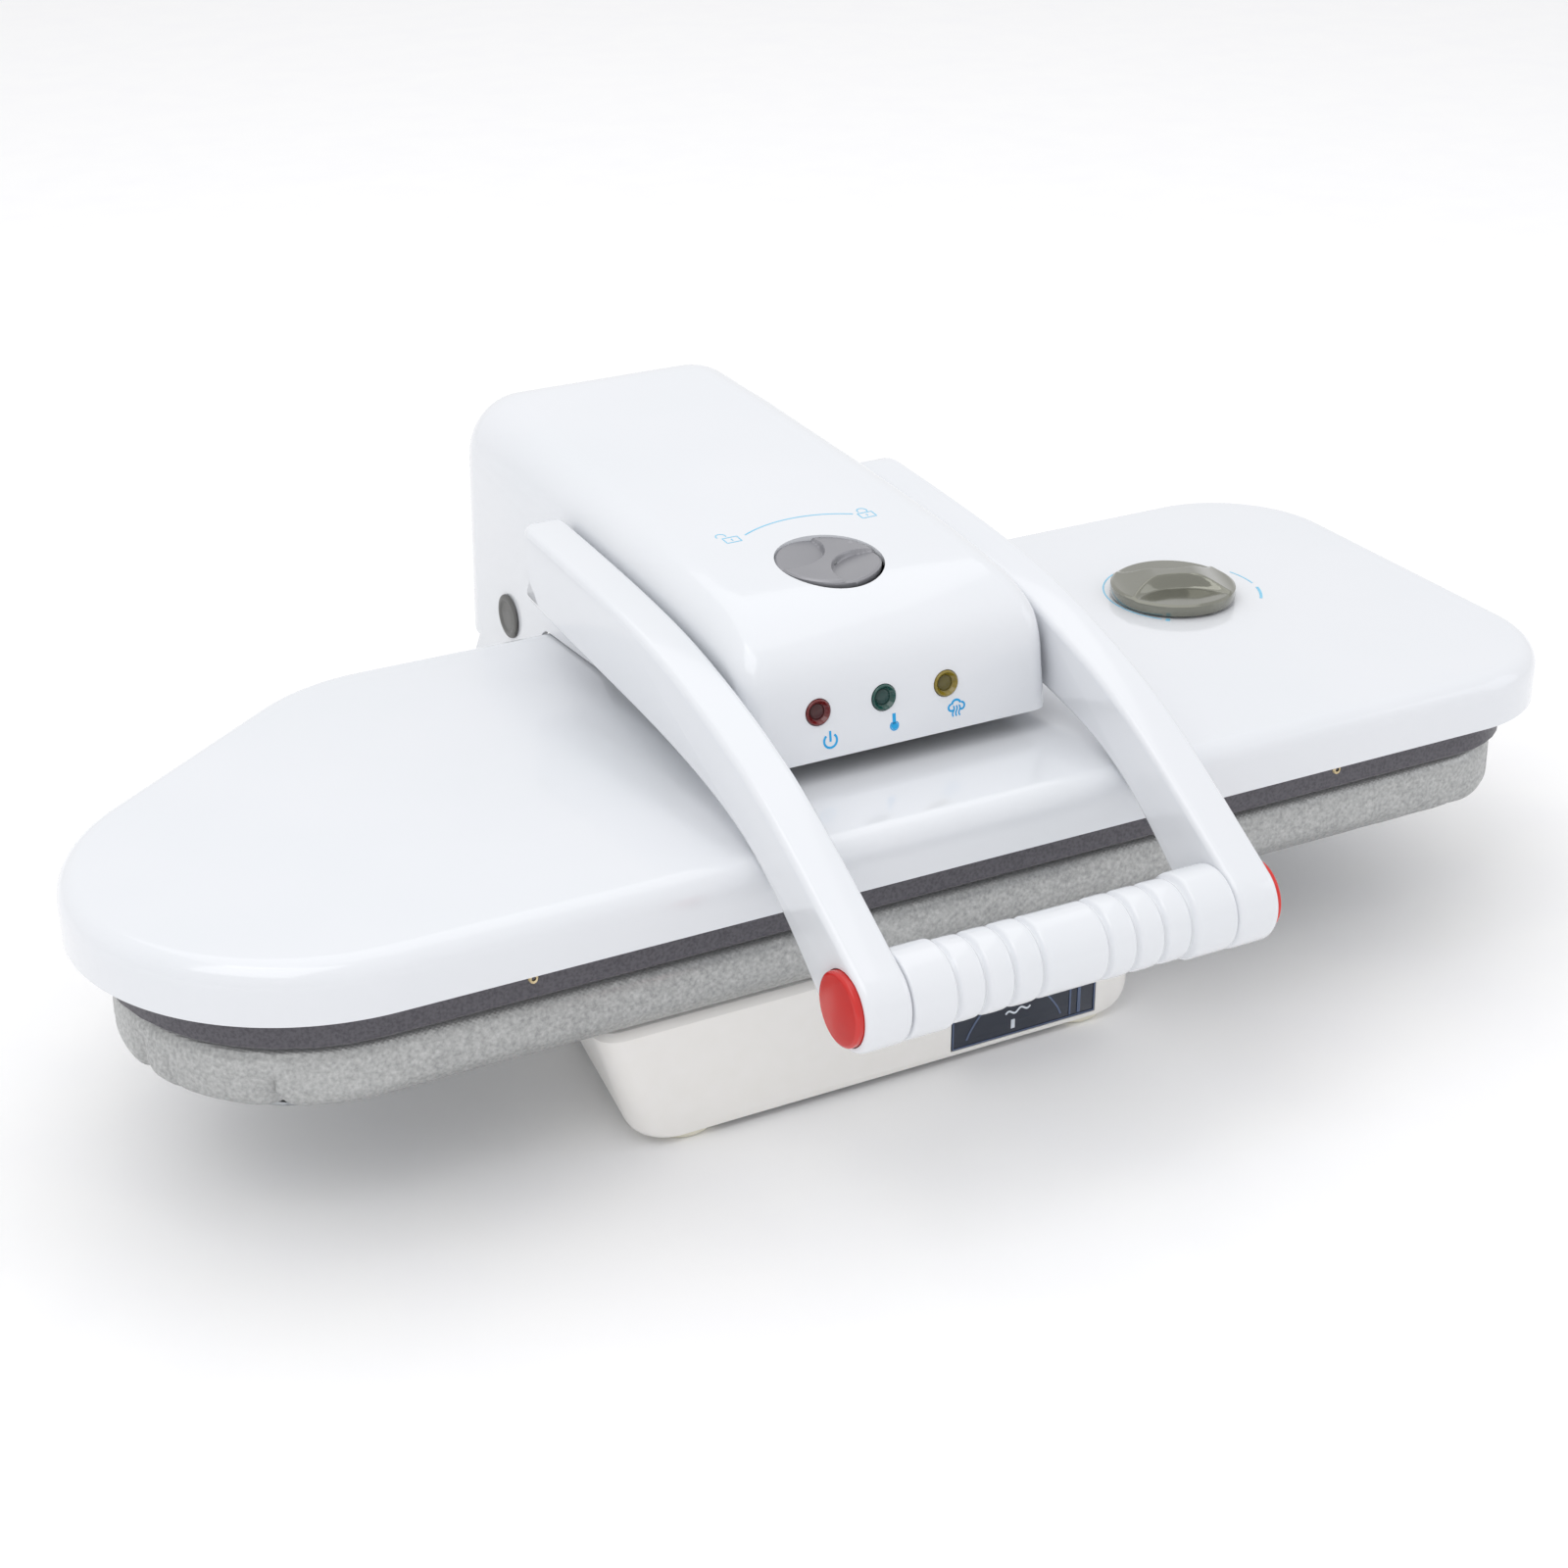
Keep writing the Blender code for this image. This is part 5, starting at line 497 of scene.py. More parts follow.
def lens_acrylic(hue: str, colour: str, shade: str) -> Finish:
    """Gives a clear lens: polished acrylic, deep in colour."""
    return Finish(f"{hue}_acrylic", colour, shade, 0.08, Pattern.CLEAR, 3.0, 0.004, ior=1.49, coat=0.5,
                  clear=0.12, spread=0.02)


def core_acrylic(hue: str, colour: str, shade: str) -> Finish:
    """Gives the dark middle of a lens, slightly duller than its rim."""
    return Finish(f"dark_{hue}_acrylic", colour, shade, 0.14, Pattern.CLEAR, 3.0, 0.004, ior=1.49)


def screen_ink(hue: str, colour: str, shade: str, roughness: float) -> Finish:
    """Gives a screen-printed ink, flat and slightly raised."""
    return Finish(f"{hue}_screen_ink", colour, shade, roughness, Pattern.ERODED, 0.6, 0.002)


@dataclass(frozen=True)
class Finishes:
    """Every finish on the press, by the part that it is on."""

    # Injection-moulded ABS from a polished tool: bright, even highlights on cool white
    gloss_abs: Finish = Finish("gloss_white_abs", "#E2E4E8", "#DFE2E6", 0.15, Pattern.MOULDED, 9.0, 0.010,
                               ior=1.54, coat=0.35, spread=0.03)
    # ABS from a spark-eroded tool: warm white with a soft broad sheen
    satin_abs: Finish = Finish("satin_white_abs", "#EDEBE8", "#EBE9E5", 0.38, Pattern.ERODED, 0.9, 0.006,
                               ior=1.54)
    # Moulded thermoplastic rubber, slightly yellow and dull
    rubber: Finish = Finish("ivory_rubber", "#E6E3D4", "#D9D5C4", 0.72, Pattern.ERODED, 1.2, 0.02, ior=1.52)
    # Cast aluminium with a dark non-stick coat: dull, with small pits
    coated_plate: Finish = Finish("coated_cast_aluminium", "#5C5A60", "#4E4C52", 0.42, Pattern.CAST, 1.4,
                                  0.03, metallic=0.35)
    # Cotton with a metallised face: pale grey with bright flecks; the 0.5 mm weave is drawn at 1.2 mm to show
    metal_cotton: Finish = Finish("metallised_cotton", "#BFC0BF", "#999A9A", 0.38, Pattern.WOVEN, 1.2, 0.08,
                                  metallic=0.70, spread=0.10)
    # Zinc-coated sheet steel: flat grey crystals
    zinc_sheet: Finish = Finish("zinc_coated_sheet", "#B9BCBE", "#9A9DA0", 0.38, Pattern.SPANGLED, 6.0, 0.004,
                                metallic=1.0, spread=0.10)
    # Turned or drawn bright steel: fine lines along it
    drawn_steel: Finish = Finish("drawn_steel", "#B4B5B6", "#8D8F91", 0.30, Pattern.BRUSHED, 0.8, 0.004,
                                 metallic=1.0, spread=0.08)
    # Cold-drawn spring wire, oiled: darker and shinier than the bright steel
    spring_steel: Finish = Finish("oiled_spring_steel", "#8E8F90", "#6C6D6F", 0.28, Pattern.BRUSHED, 0.6,
                                  0.003, metallic=1.0, spread=0.08)
    # Pressed brass with a thin nickel coat that lets some yellow through
    brass: Finish = Finish("nickelled_brass", "#D8C8A4", "#B5A37C", 0.30, Pattern.CAST, 2.0, 0.004,
                           metallic=1.0, spread=0.10)
    # Moulded ABS with a silver-grey pigment
    knob_abs: Finish = Finish("silver_grey_abs", "#9A9A9E", "#8E8E93", 0.30, Pattern.MOULDED, 5.0, 0.006,
                              metallic=0.40, ior=1.54)
    # Moulded ABS under a grey-green metallic lacquer: hard bright glints on a dull olive ground
    dial_abs: Finish = Finish("grey_green_lacquer", "#86867B", "#7B7B71", 0.12, Pattern.MOULDED, 5.0, 0.004,
                              metallic=0.60, ior=1.54, coat=0.5, spread=0.03)
    # Dark grey ABS from an eroded tool: nearly matt
    plug_abs: Finish = Finish("dark_grey_abs", "#636361", "#575755", 0.46, Pattern.ERODED, 0.9, 0.01,
                              ior=1.54)
    # Moulded polyamide, waxy and off-white
    nylon: Finish = Finish("natural_nylon", "#E2DECF", "#D5D0BE", 0.48, Pattern.MOULDED, 4.0, 0.008, ior=1.53)
    # Black ABS from an eroded tool: a soft grey sheen
    black_abs: Finish = Finish("black_abs", "#1B1B1C", "#242425", 0.46, Pattern.ERODED, 0.8, 0.012, ior=1.54)
    # Red moulded button with a polished crown
    red_abs: Finish = Finish("red_abs", "#D01408", "#BD0F07", 0.24, Pattern.MOULDED, 4.0, 0.006, ior=1.54,
                             coat=0.3)
    # Clear acrylic lenses, dark while their lamps are off, with a lighter step round a dark core
    red_lens: Finish = lens_acrylic("red", "#7C1415", "#5E0D10")
    green_lens: Finish = lens_acrylic("green", "#0F4F46", "#093A34")
    amber_lens: Finish = lens_acrylic("amber", "#8A7716", "#685910")
    red_core: Finish = core_acrylic("red", "#4A1E20", "#3C1618")
    green_core: Finish = core_acrylic("green", "#21423F", "#193532")
    amber_core: Finish = core_acrylic("amber", "#5B5324", "#4C451B")
    # Smoked polycarbonate tank: blue-black where it is thick
    smoked: Finish = Finish("smoked_polycarbonate", "#3B4456", "#2A3142", 0.10, Pattern.CLEAR, 8.0, 0.006,
                            ior=1.58, clear=0.45)
    # The same where a rib or the frame catches light: paler blue-grey
    smoked_rib_highlight: Finish = Finish("smoked_polycarbonate_rib_highlight", "#5C6A86", "#4B5873", 0.16, Pattern.CLEAR, 4.0,
                                0.004, ior=1.58)
    # Extruded silicone tube: milky and slightly dull
    silicone: Finish = Finish("translucent_silicone", "#D6D2CA", "#C6C2B9", 0.52, Pattern.MOULDED, 3.0, 0.006,
                              ior=1.41)
    # Glass-fibre board under green lacquer: even and semi-matt
    board_resin: Finish = Finish("glass_epoxy_board", "#1E5A33", "#17482A", 0.42, Pattern.ERODED, 1.5,
                                 0.01, ior=1.55)
    # Printed signs: the small filled ones are full blue, the thin lines paler
    blue_ink: Finish = screen_ink("blue", "#0FA3E0", "#0B98D4", 0.40)
    pale_ink: Finish = screen_ink("pale_blue", "#86CBE8", "#7AC2E1", 0.42)
    white_ink: Finish = screen_ink("white", "#DDE3EA", "#CBD2DA", 0.42)


@dataclass
class Paintbox:
    """Makes each finish's material once and hands it out.

    Attributes:
        finishes: the finishes to choose from.
        made: materials made so far, by name.
    """

    finishes: Finishes = field(default_factory=Finishes)
    made: dict[str, Material] = field(default_factory=dict)

    def get(self, finish: Finish) -> Material:
        """Gives the material of a finish, made the first time that it is asked for.

        Args:
            finish: the finish wanted.

        Returns:
            Its material.
        """
        if finish.name not in self.made:
            self.made[finish.name] = finish.make()
        return self.made[finish.name]

    def named(self, name: str) -> Material:
        """Gives the material of the finish that stands under a name in the list of finishes."""
        return self.get(getattr(self.finishes, name))


# Outline of the board


@dataclass(frozen=True)
class BoardOutline:
    """Plan outline that the cover, plate and pad share: round nose, tapered back and square end.

    Attributes are sizes in metres, and the taper angle in radians.
    """

    length: float = 0.700
    front_y: float = -0.141
    back_y: float = 0.124
    nose_radius: float = 0.100
    taper: float = math.radians(36.5)
    blend_radius: float = 0.090
    corner_radius: float = 0.062

    @property
    def middle(self) -> np.ndarray:
        """Gives the middle of the board in plan."""
        return np.array([0.0, (self.front_y + self.back_y) / 2])

    def ring(self, inset: float, count: int = 480) -> np.ndarray:
        """Gives evenly spaced points on the outline.

        Each arc is centre + (radius - inset) * (cos t, sin t), and straight lines join them.

        Args:
            inset: how far the outline is drawn in.
            count: number of points.

        Returns:
            Points as (x, y), going round once.
        """
        quarter = math.pi / 2
        nose = np.array([-self.length / 2 + self.nose_radius, self.front_y + self.nose_radius])
        normal = np.array([-math.sin(self.taper), math.cos(self.taper)])
        blend_y = self.back_y - self.blend_radius
        blend_x = (nose @ normal + self.nose_radius - self.blend_radius - blend_y * normal[1]) / normal[0]
        end_x = self.length / 2 - self.corner_radius
        arcs = (((end_x, self.back_y - self.corner_radius), self.corner_radius, 0.0, quarter),
                ((blend_x, blend_y), self.blend_radius, quarter, quarter + self.taper),
                (tuple(nose), self.nose_radius, quarter + self.taper, 3 * quarter),
                ((end_x, self.front_y + self.corner_radius), self.corner_radius, 3 * quarter, 4 * quarter))
        parts = []
        for centre, radius, start, end in arcs:
            turn = np.linspace(start, end, 49)
            parts.append(around(centre, radius - inset, turn))
        loop = np.concatenate(parts + [parts[0][:1]])
        run = run_along(loop)
        return read_line(np.linspace(0.0, run[-1], count, endpoint=False), run, loop)

    def share(self, points: np.ndarray, inset: float) -> np.ndarray:
        """Says how far points lie from the board's middle towards the outline: 0 there, and 1 on it.

        For a convex outline that is the largest, over its edges, of distance along the edge's normal over
        the edge's own distance.

        Args:
            points: (x, y) pairs.
            inset: how far the outline is drawn in.

        Returns:
            One share for each point.
        """
        loop = self.ring(inset, 160) - self.middle
        along = np.roll(loop, -1, axis=0) - loop
        normal = np.stack([along[:, 1], -along[:, 0]], axis=1)
        reach = np.sum(normal * loop, axis=1)
        return np.max((np.asarray(points) - self.middle) @ (normal / reach[:, None]).T, axis=1)


# Pictograms


@dataclass
class Ink:
    """Draws flat strokes on a surface as thin raised prints.

    Attributes:
        surface: gives (x, y, z) for stroke coordinates (a, b) and a lift off the surface.
        height: thickness of the ink.
    """

    surface: Callable[[np.ndarray, float], np.ndarray]
    height: float = 0.00012

    def stroke(self, path: np.ndarray, width: float,
               closed: bool = False) -> tuple[np.ndarray, list[list[int]]]:
        """Makes a band of constant width along a path: point +- width / 2 * side.

        Args:
            path: (a, b) points of its middle line.
            width: width of the band.
            closed: the path comes back to its start.

        Returns:
            Points and faces of a thin closed solid.
        """
        path = np.asarray(path, float)
        if closed:
            along = np.roll(path, -1, axis=0) - np.roll(path, 1, axis=0)
        else:
            along = np.gradient(path, axis=0)
        along /= np.linalg.norm(along, axis=1)[:, None] + 1e-12
        side = np.stack([-along[:, 1], along[:, 0]], axis=1) * width / 2
        low = self.surface(np.concatenate([path - side, path + side]), -self.height / 4)
        high = self.surface(np.concatenate([path - side, path + side]), self.height)
        count = len(path)
        grid = np.stack([low[:count], high[:count], high[count:], low[count:]], axis=1)
        faces = grid_faces(count, 4, wrap_rows=closed).tolist()
        if not closed:
            faces.append([3, 2, 1, 0])
            faces.append([(count - 1) * 4 + i for i in range(4)])
        return grid.reshape(-1, 3), faces

    def print_strokes(self, name: str, strokes: Sequence[tuple[np.ndarray, float, bool]],
                      material: Material) -> Piece:
        """Makes one piece of several strokes.

        Args:
            name: name of the piece.
            strokes: (path, width, closed) for each stroke.
            material: the ink.

        Returns:
            The printed piece.
        """
        points = []
        faces = []
        start = 0
        for path, width, closed in strokes:
            some, joined = self.stroke(path, width, closed)
            points.append(some)
            faces.extend([[start + i for i in face] for face in joined])
            start += len(some)
        return new_piece(name, np.concatenate(points), faces, material)


def arc_path(centre: Sequence[float], radius: float, start: float, end: float, count: int = 24) -> np.ndarray:
    """Gives points of an arc: centre + radius * (cos t, sin t).

    Args:
        centre: (a, b) of its centre.
        radius: its radius.
        start: first angle in degrees.
        end: last angle in degrees.
        count: number of points.

    Returns:
        The (a, b) points.
    """
    return around(centre, radius, np.radians(np.linspace(start, end, count)))


def line_path(*corners: Sequence[float], count: int = 6) -> np.ndarray:
    """Gives points along straight stretches between corners.

    Args:
        corners: (a, b) of each corner.
        count: number of points on each stretch.

    Returns:
        The (a, b) points.
    """
    table = np.asarray(corners, float)
    marks = np.linspace(0, len(table) - 1, (len(table) - 1) * count + 1)
    return read_line(marks, np.arange(len(table)), table)


def wave_path(start: Sequence[float], end: Sequence[float], swing: float, waves: float,
              count: int = 40) -> np.ndarray:
    """Gives points of a wavy line: the straight way, moved sideways by swing * sin(2 pi waves t).

    Args:
        start: (a, b) of its start.
        end: (a, b) of its end.
        swing: height of the wave.
        waves: number of waves.
        count: number of points.

    Returns:
        The (a, b) points.
    """
    t = np.linspace(0.0, 1.0, count)[:, None]
    start, end = np.asarray(start, float), np.asarray(end, float)
    along = end - start
    side = np.array([-along[1], along[0]]) / np.linalg.norm(along)
    return start + along * t + side * swing * np.sin(2 * math.pi * waves * t)


# Head: cover over the lifting arm


@dataclass
class HeadCover:
    """Moulded cover over the lifting arm, with its lamps, plugs and printed signs.

    Attributes are sizes in metres, and those called shares are shares of a size; corner_steps is the number
    of points round each upper corner.
    """

    paint: Paintbox
    centre_x: float = 0.0045
    width: float = 0.150
    front_y: float = -0.0905
    back_y: float = 0.2305
    bottom_z: float = 0.150
    height: float = 0.078
    wall: float = 0.003
    draft: float = 0.0012
    front_fillet: float = 0.009
    side_fillet: float = 0.019
    rear_fillet: float = 0.031
    ear_front_y: float = 0.1252
    skirt_front_y: float = 0.056
    skirt_z: float = 0.1394
    skirt_rise: float = 0.0026
    skirt_run: float = 0.008
    skirt_bend: float = 0.0112
    ear_bottom_z: float = 0.097
    ear_rear_rise: float = 0.010
    ear_rear_length: float = 0.025
    rear_wall_z: float = 0.124
    hinge: Pair = (0.1605, 0.131)
    pivot: Pair = (0.0585, 0.18582)
    lamp_x: tuple[float, ...] = (-0.037, -0.005, 0.026)
    lamp_share: float = 0.276
    bore_reach: float = 0.09
    hinge_bore: float = 0.0084
    shaft_bore: float = 0.0066
    lamp_bore: float = 0.0061
    lamp_reach: float = 0.008
    knob_bore: float = 0.0243
    knob_reach: float = 0.060
    corner_steps: int = 13
    knob_place: Triple = (0.0, -0.030, 0.190)
    knob_axis: Triple = (0.0, -0.055, 1.0)
    holder_x: tuple[float, ...] = (-0.0500, -0.0498, -0.0490, 0.0385, 0.0393, 0.0395)
    holder_shrink_shares: tuple[float, ...] = (0.90, 0.96, 1.0, 1.0, 0.96, 0.90)
    holder_half: Pair = (0.0012, 0.0098)
    holder_sink: float = 0.0072
    lens_profile: tuple[Pair, ...] = (
        (-0.0060, 0.0004), (-0.0060, 0.0058), (0.0003, 0.0058), (0.0008, 0.0055), (0.0009, 0.0051),
        (0.0006, 0.0048), (-0.0008, 0.0040), (-0.0010, 0.0036), (-0.0010, 0.0004),
    )
    core_profile: tuple[Pair, ...] = (
        (-0.00105, 0.0004), (-0.00105, 0.0037), (-0.0006, 0.0034), (-0.0003, 0.0022), (-0.0002, 0.0004),
    )
    plug_profile: tuple[Triple, ...] = (
        (-0.020, 0.0004, 0), (-0.020, 0.0079, 0.0005), (0.0006, 0.0079, 0.0), (0.0006, 0.0110, 0.0002),
        (0.0016, 0.0108, 0.0008), (0.0021, 0.0085, 0.0012), (0.0012, 0.0072, 0.0008), (0.0012, 0.0004, 0),
    )
    profile_shares: tuple[Pair, ...] = (
        (0.000, 0.000), (0.0124, 0.420), (0.021, 0.540), (0.034, 0.605), (0.056, 0.673), (0.090, 0.745),
        (0.140, 0.798), (0.230, 0.839), (0.330, 0.872), (0.500, 0.914), (0.700, 0.952), (0.840, 0.983),
        (0.900, 1.000),
    )

    def profile(self) -> np.ndarray:
        """Gives the side profile from the front lower edge over the top to the rear lower edge.

        The table's points are joined by straight lines, and the line is softened by a running average that
        leaves its ends and its straight front in place; the rear rounding is back - r + r * (cos t, sin t).

        Returns:
            (y, z) points.
        """
        length = self.back_y - self.front_y
        table = np.asarray(self.profile_shares) * (length, self.height) + (self.front_y, self.bottom_z)
        run = run_along(table)
        marks = np.concatenate([np.linspace(0, run[1] * 0.9, 5)[:-1], np.linspace(run[1] * 0.9, run[-1], 90)])
        line = read_line(marks, run, table)
        for _ in range(6):
            line[5:-1] = line[5:-1] / 2 + (line[4:-2] + line[6:]) / 4
        turn = np.linspace(math.pi / 2, 0.0, 17)
        r = self.rear_fillet
        top = self.bottom_z + self.height
        rear = around((self.back_y - r, top - r), r, turn)
        low_z = self.ear_bottom_z + self.ear_rear_rise
        levels = np.concatenate([np.linspace(top - r, self.rear_wall_z, 6)[1:],
                                 np.linspace(self.rear_wall_z, low_z, 4)[1:]])
        wall = np.stack([np.full(len(levels), self.back_y), levels], axis=1)
        return np.concatenate([line[:-1], rear, wall])

    def top_z(self, y: np.ndarray) -> np.ndarray:
        """Reads the height of the cover's top at places along Y.

        Args:
            y: the places.

        Returns:
            Heights in metres.
        """
        line = self.profile()
        count = int(np.argmax(line[:, 1]))
        return np.interp(y, line[:count, 0], line[:count, 1])

    def outer_grid(self) -> np.ndarray:
        """Works out the cover's outside as a grid along the profile and across from left to right.

        Across at each profile point, with turn a from 0 at the side wall to 90 degrees on the top:
        x = +-(half - f (1 - cos a)) and the point moves inward from the profile by f (1 - sin a), where f is
        the local rounding.

        Returns:
            Points by place along the profile, by place across and by axis.
        """
        line = self.profile()
        along = np.gradient(line, axis=0)
        along /= np.linalg.norm(along, axis=1)[:, None]
        inward = np.stack([along[:, 1], -along[:, 0]], axis=1)
        inward[0] = (1.0, 0.0)
        share = (line[:, 0] - self.front_y) / (self.back_y - self.front_y)
        fillet = np.interp(share, (0.0, 0.12, 0.75, 1.0),
                           (self.front_fillet, self.side_fillet, self.side_fillet * 1.25, self.rear_fillet))
        steps = self.corner_steps
        turn = np.concatenate([np.linspace(0.0, math.pi / 2, steps), np.linspace(math.pi / 2, 0.0, steps)])
        sign = np.repeat([-1.0, 1.0], steps)
        draw = fillet[:, None] * (1.0 - np.sin(turn))[None, :]
        y = line[:, 0][:, None] + inward[:, 0][:, None] * draw
        z = line[:, 1][:, None] + inward[:, 1][:, None] * draw
        z[0] = self.bottom_z
        z[-1] = line[-1, 1]
        half = self.width / 2
        spread = half - fillet[:, None] * (1.0 - np.cos(turn))[None, :]
        taper = 1.0 - self.draft / half * (z - self.bottom_z) / self.height
        x = self.centre_x + sign[None, :] * spread * taper
        return np.stack([x, y, z], axis=2)

    def shell(self) -> Piece:
        """Makes the cover as a moulded shell, open below and behind the hinge.

        The grid is the outside; each side wall is closed by the edge column, the two ends of the ear, and
        the skirt that follows the platen cover's edge, corner - bend * (1 - cos t, 1 - sin t).

        Returns:
            The shell with its hinge and shaft bores.
        """
        grid = self.outer_grid()
        rows, columns = grid.shape[:2]
        faces = grid_faces(rows, columns, wrap_columns=False)
        middle = grid.reshape(-1, 3)[faces].mean(axis=1)
        inner = np.abs(middle[:, 0] - self.centre_x) < self.width / 2 - self.rear_fillet / 2
        open_rear = inner & (middle[:, 2] < self.rear_wall_z) & (middle[:, 1] > self.back_y - 0.002)
        faces = faces[~open_rear].tolist()
        points = grid.reshape(-1, 3)
        half = self.width / 2
        extra = []
        for side, column in ((-1, 0), (1, columns - 1)):
            edge = [row * columns + column for row in range(rows)]
            corners = []
            turn = np.linspace(0.0, math.pi / 2, 6)
            bend = zip(self.ear_front_y - self.skirt_bend * (1 - np.cos(turn)),
                       self.skirt_z - self.skirt_bend * (1 - np.sin(turn)))
            for y, z in ((self.back_y - self.ear_rear_length, self.ear_bottom_z),
                         (self.ear_front_y, self.ear_bottom_z), *bend,
                         (self.skirt_front_y, self.skirt_z + self.skirt_rise),
                         (self.skirt_front_y - self.skirt_run, self.bottom_z)):
                taper = 1.0 - self.draft / half * (z - self.bottom_z) / self.height
                extra.append((self.centre_x + side * half * taper, y, z))
                corners.append(len(points) + len(extra) - 1)
            faces.append(edge + corners)
        points = np.concatenate([points, np.asarray(extra)])
        material = self.paint.named("gloss_abs")
        piece = new_piece("head_shell", points, faces, material, sharp=30.0)
        wall = piece.modifiers.new("Wall", "SOLIDIFY")
        wall.thickness = self.wall
        wall.offset = -1.0
        wall.use_even_offset = True
        apply_modifiers(piece)
        reach = self.bore_reach
        for place, radius in ((self.hinge, self.hinge_bore), (self.pivot, self.shaft_bore)):
            drill(piece, turned("bore", (self.centre_x - reach, *place), (1, 0, 0),
                                [(0, radius), (2 * reach, radius)], material))
        return piece

    def lamp_frame(self) -> tuple[np.ndarray, np.ndarray]:
        """Finds where the lamps stand on the cover's straight front.

        Returns:
            The (y, z) of the lamps and the unit (y, z) up along the front.
        """
        rise = self.height * self.lamp_share
        share, top = self.profile_shares[1]
        along = np.array([share * (self.back_y - self.front_y), top * self.height])
        along /= np.linalg.norm(along)
        return np.array([self.front_y, self.bottom_z]) + along * rise / along[1], along

    def lamps(self, shell: Piece) -> list[Piece]:
        """Cuts the lamp holes and makes the holder behind them and each lamp's stepped lens.

        Args:
            shell: the cover that the lamps look through.

        Returns:
            The holder, the lenses and their dark cores.
        """
        place, along = self.lamp_frame()
        out = np.array([0.0, -along[1], along[0]])
        black = self.paint.named("black_abs")
        pieces = [self.lamp_holder(place, along, black)]
        kinds = self.paint.finishes
        names = (("red", kinds.red_lens, kinds.red_core), ("green", kinds.green_lens, kinds.green_core),
                 ("amber", kinds.amber_lens, kinds.amber_core))
        for x, (name, finish, core_finish) in zip(self.lamp_x, names):
            centre = (x, *place)
            low = tuple(np.asarray(centre) - self.lamp_reach * out)
            drill(shell, turned("lamp_bore", low, out,
                                [(0.0, self.lamp_bore), (2 * self.lamp_reach, self.lamp_bore)], black))
            lens = turned(f"lamp_lens_{name}", centre, out, self.lens_profile, self.paint.get(finish),
                          sides=56, sharp=SOFT_DEGREES)
            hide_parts(f"lens_{name}")
            core = turned(f"lamp_core_{name}", centre, out, self.core_profile, self.paint.get(core_finish),
                          sides=48, sharp=SOFT_DEGREES)
            pieces += [lens, core]
        return pieces

    def lamp_holder(self, place: np.ndarray, along: np.ndarray, black: Material) -> Piece:
        """Makes the bar behind the front that carries the three lamps.

        Its section is a rounded rectangle, |a / half_a| ** 4 + |b / half_b| ** 4 = 1, carried along x.

        Args:
            place: (y, z) of the lamps.
            along: unit (y, z) up along the front.
            black: its material.

        Returns:
            The holder.
        """
        out = np.array([-along[1], along[0]])
        turn = np.linspace(0.0, 2 * math.pi, 48, endpoint=False)
        half_a, half_b = self.holder_half
        a = half_a * np.sign(np.cos(turn)) * np.abs(np.cos(turn)) ** 0.5 - self.holder_sink
        b = half_b * np.sign(np.sin(turn)) * np.abs(np.sin(turn)) ** 0.5
        section = place + a[:, None] * out + b[:, None] * along
        middle = section.mean(axis=0)
        rows = [np.column_stack([np.full(len(turn), place_x), middle + (section - middle) * scale])
                for place_x, scale in zip(self.holder_x, self.holder_shrink_shares)]
        holder = skin("lamp_bar", np.stack(rows), black)
        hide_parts("lamp_holder")
        return holder

    def plugs(self) -> list[Piece]:
        """Makes the shallow domed plugs that close the hinge bores.

        Returns:
            The left and the right plug.
        """
        pieces = []
        rise = (self.hinge[1] - self.bottom_z) / self.height
        half = self.width / 2 * (1.0 - self.draft / (self.width / 2) * rise)
        grey = self.paint.named("plug_abs")
        profile = rounded_profile(self.plug_profile)
        for side, name in ((-1, "left"), (1, "right")):
            plug = turned(f"hinge_plug_{name}_cap", (self.centre_x + side * half, *self.hinge), (side, 0, 0),
                          profile, grey, sides=56)
            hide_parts(f"hinge_plug_{name}")
            pieces.append(plug)
        return pieces

    def front_surface(self, points: np.ndarray, lift: float) -> np.ndarray:
        """Places (x, up the front from the lamps' height) on the leaning front.

        Args:
            points: the (a, b) pairs.
            lift: distance off the surface.

        Returns:
            (x, y, z) points.
        """
        place, along = self.lamp_frame()
        y = place[0] + points[:, 1] * along[0] - lift * along[1]
        z = place[1] + points[:, 1] * along[1] + lift * along[0]
        return np.stack([points[:, 0], y, z], axis=1)

    def top_surface(self, points: np.ndarray, lift: float) -> np.ndarray:
        """Places (x, y) on the cover's top, at a height above it.

        Args:
            points: the (x, y) pairs.
            lift: distance above the surface.

        Returns:
            (x, y, z) points.
        """
        return np.stack([points[:, 0], points[:, 1], self.top_z(points[:, 1]) + lift], axis=1)

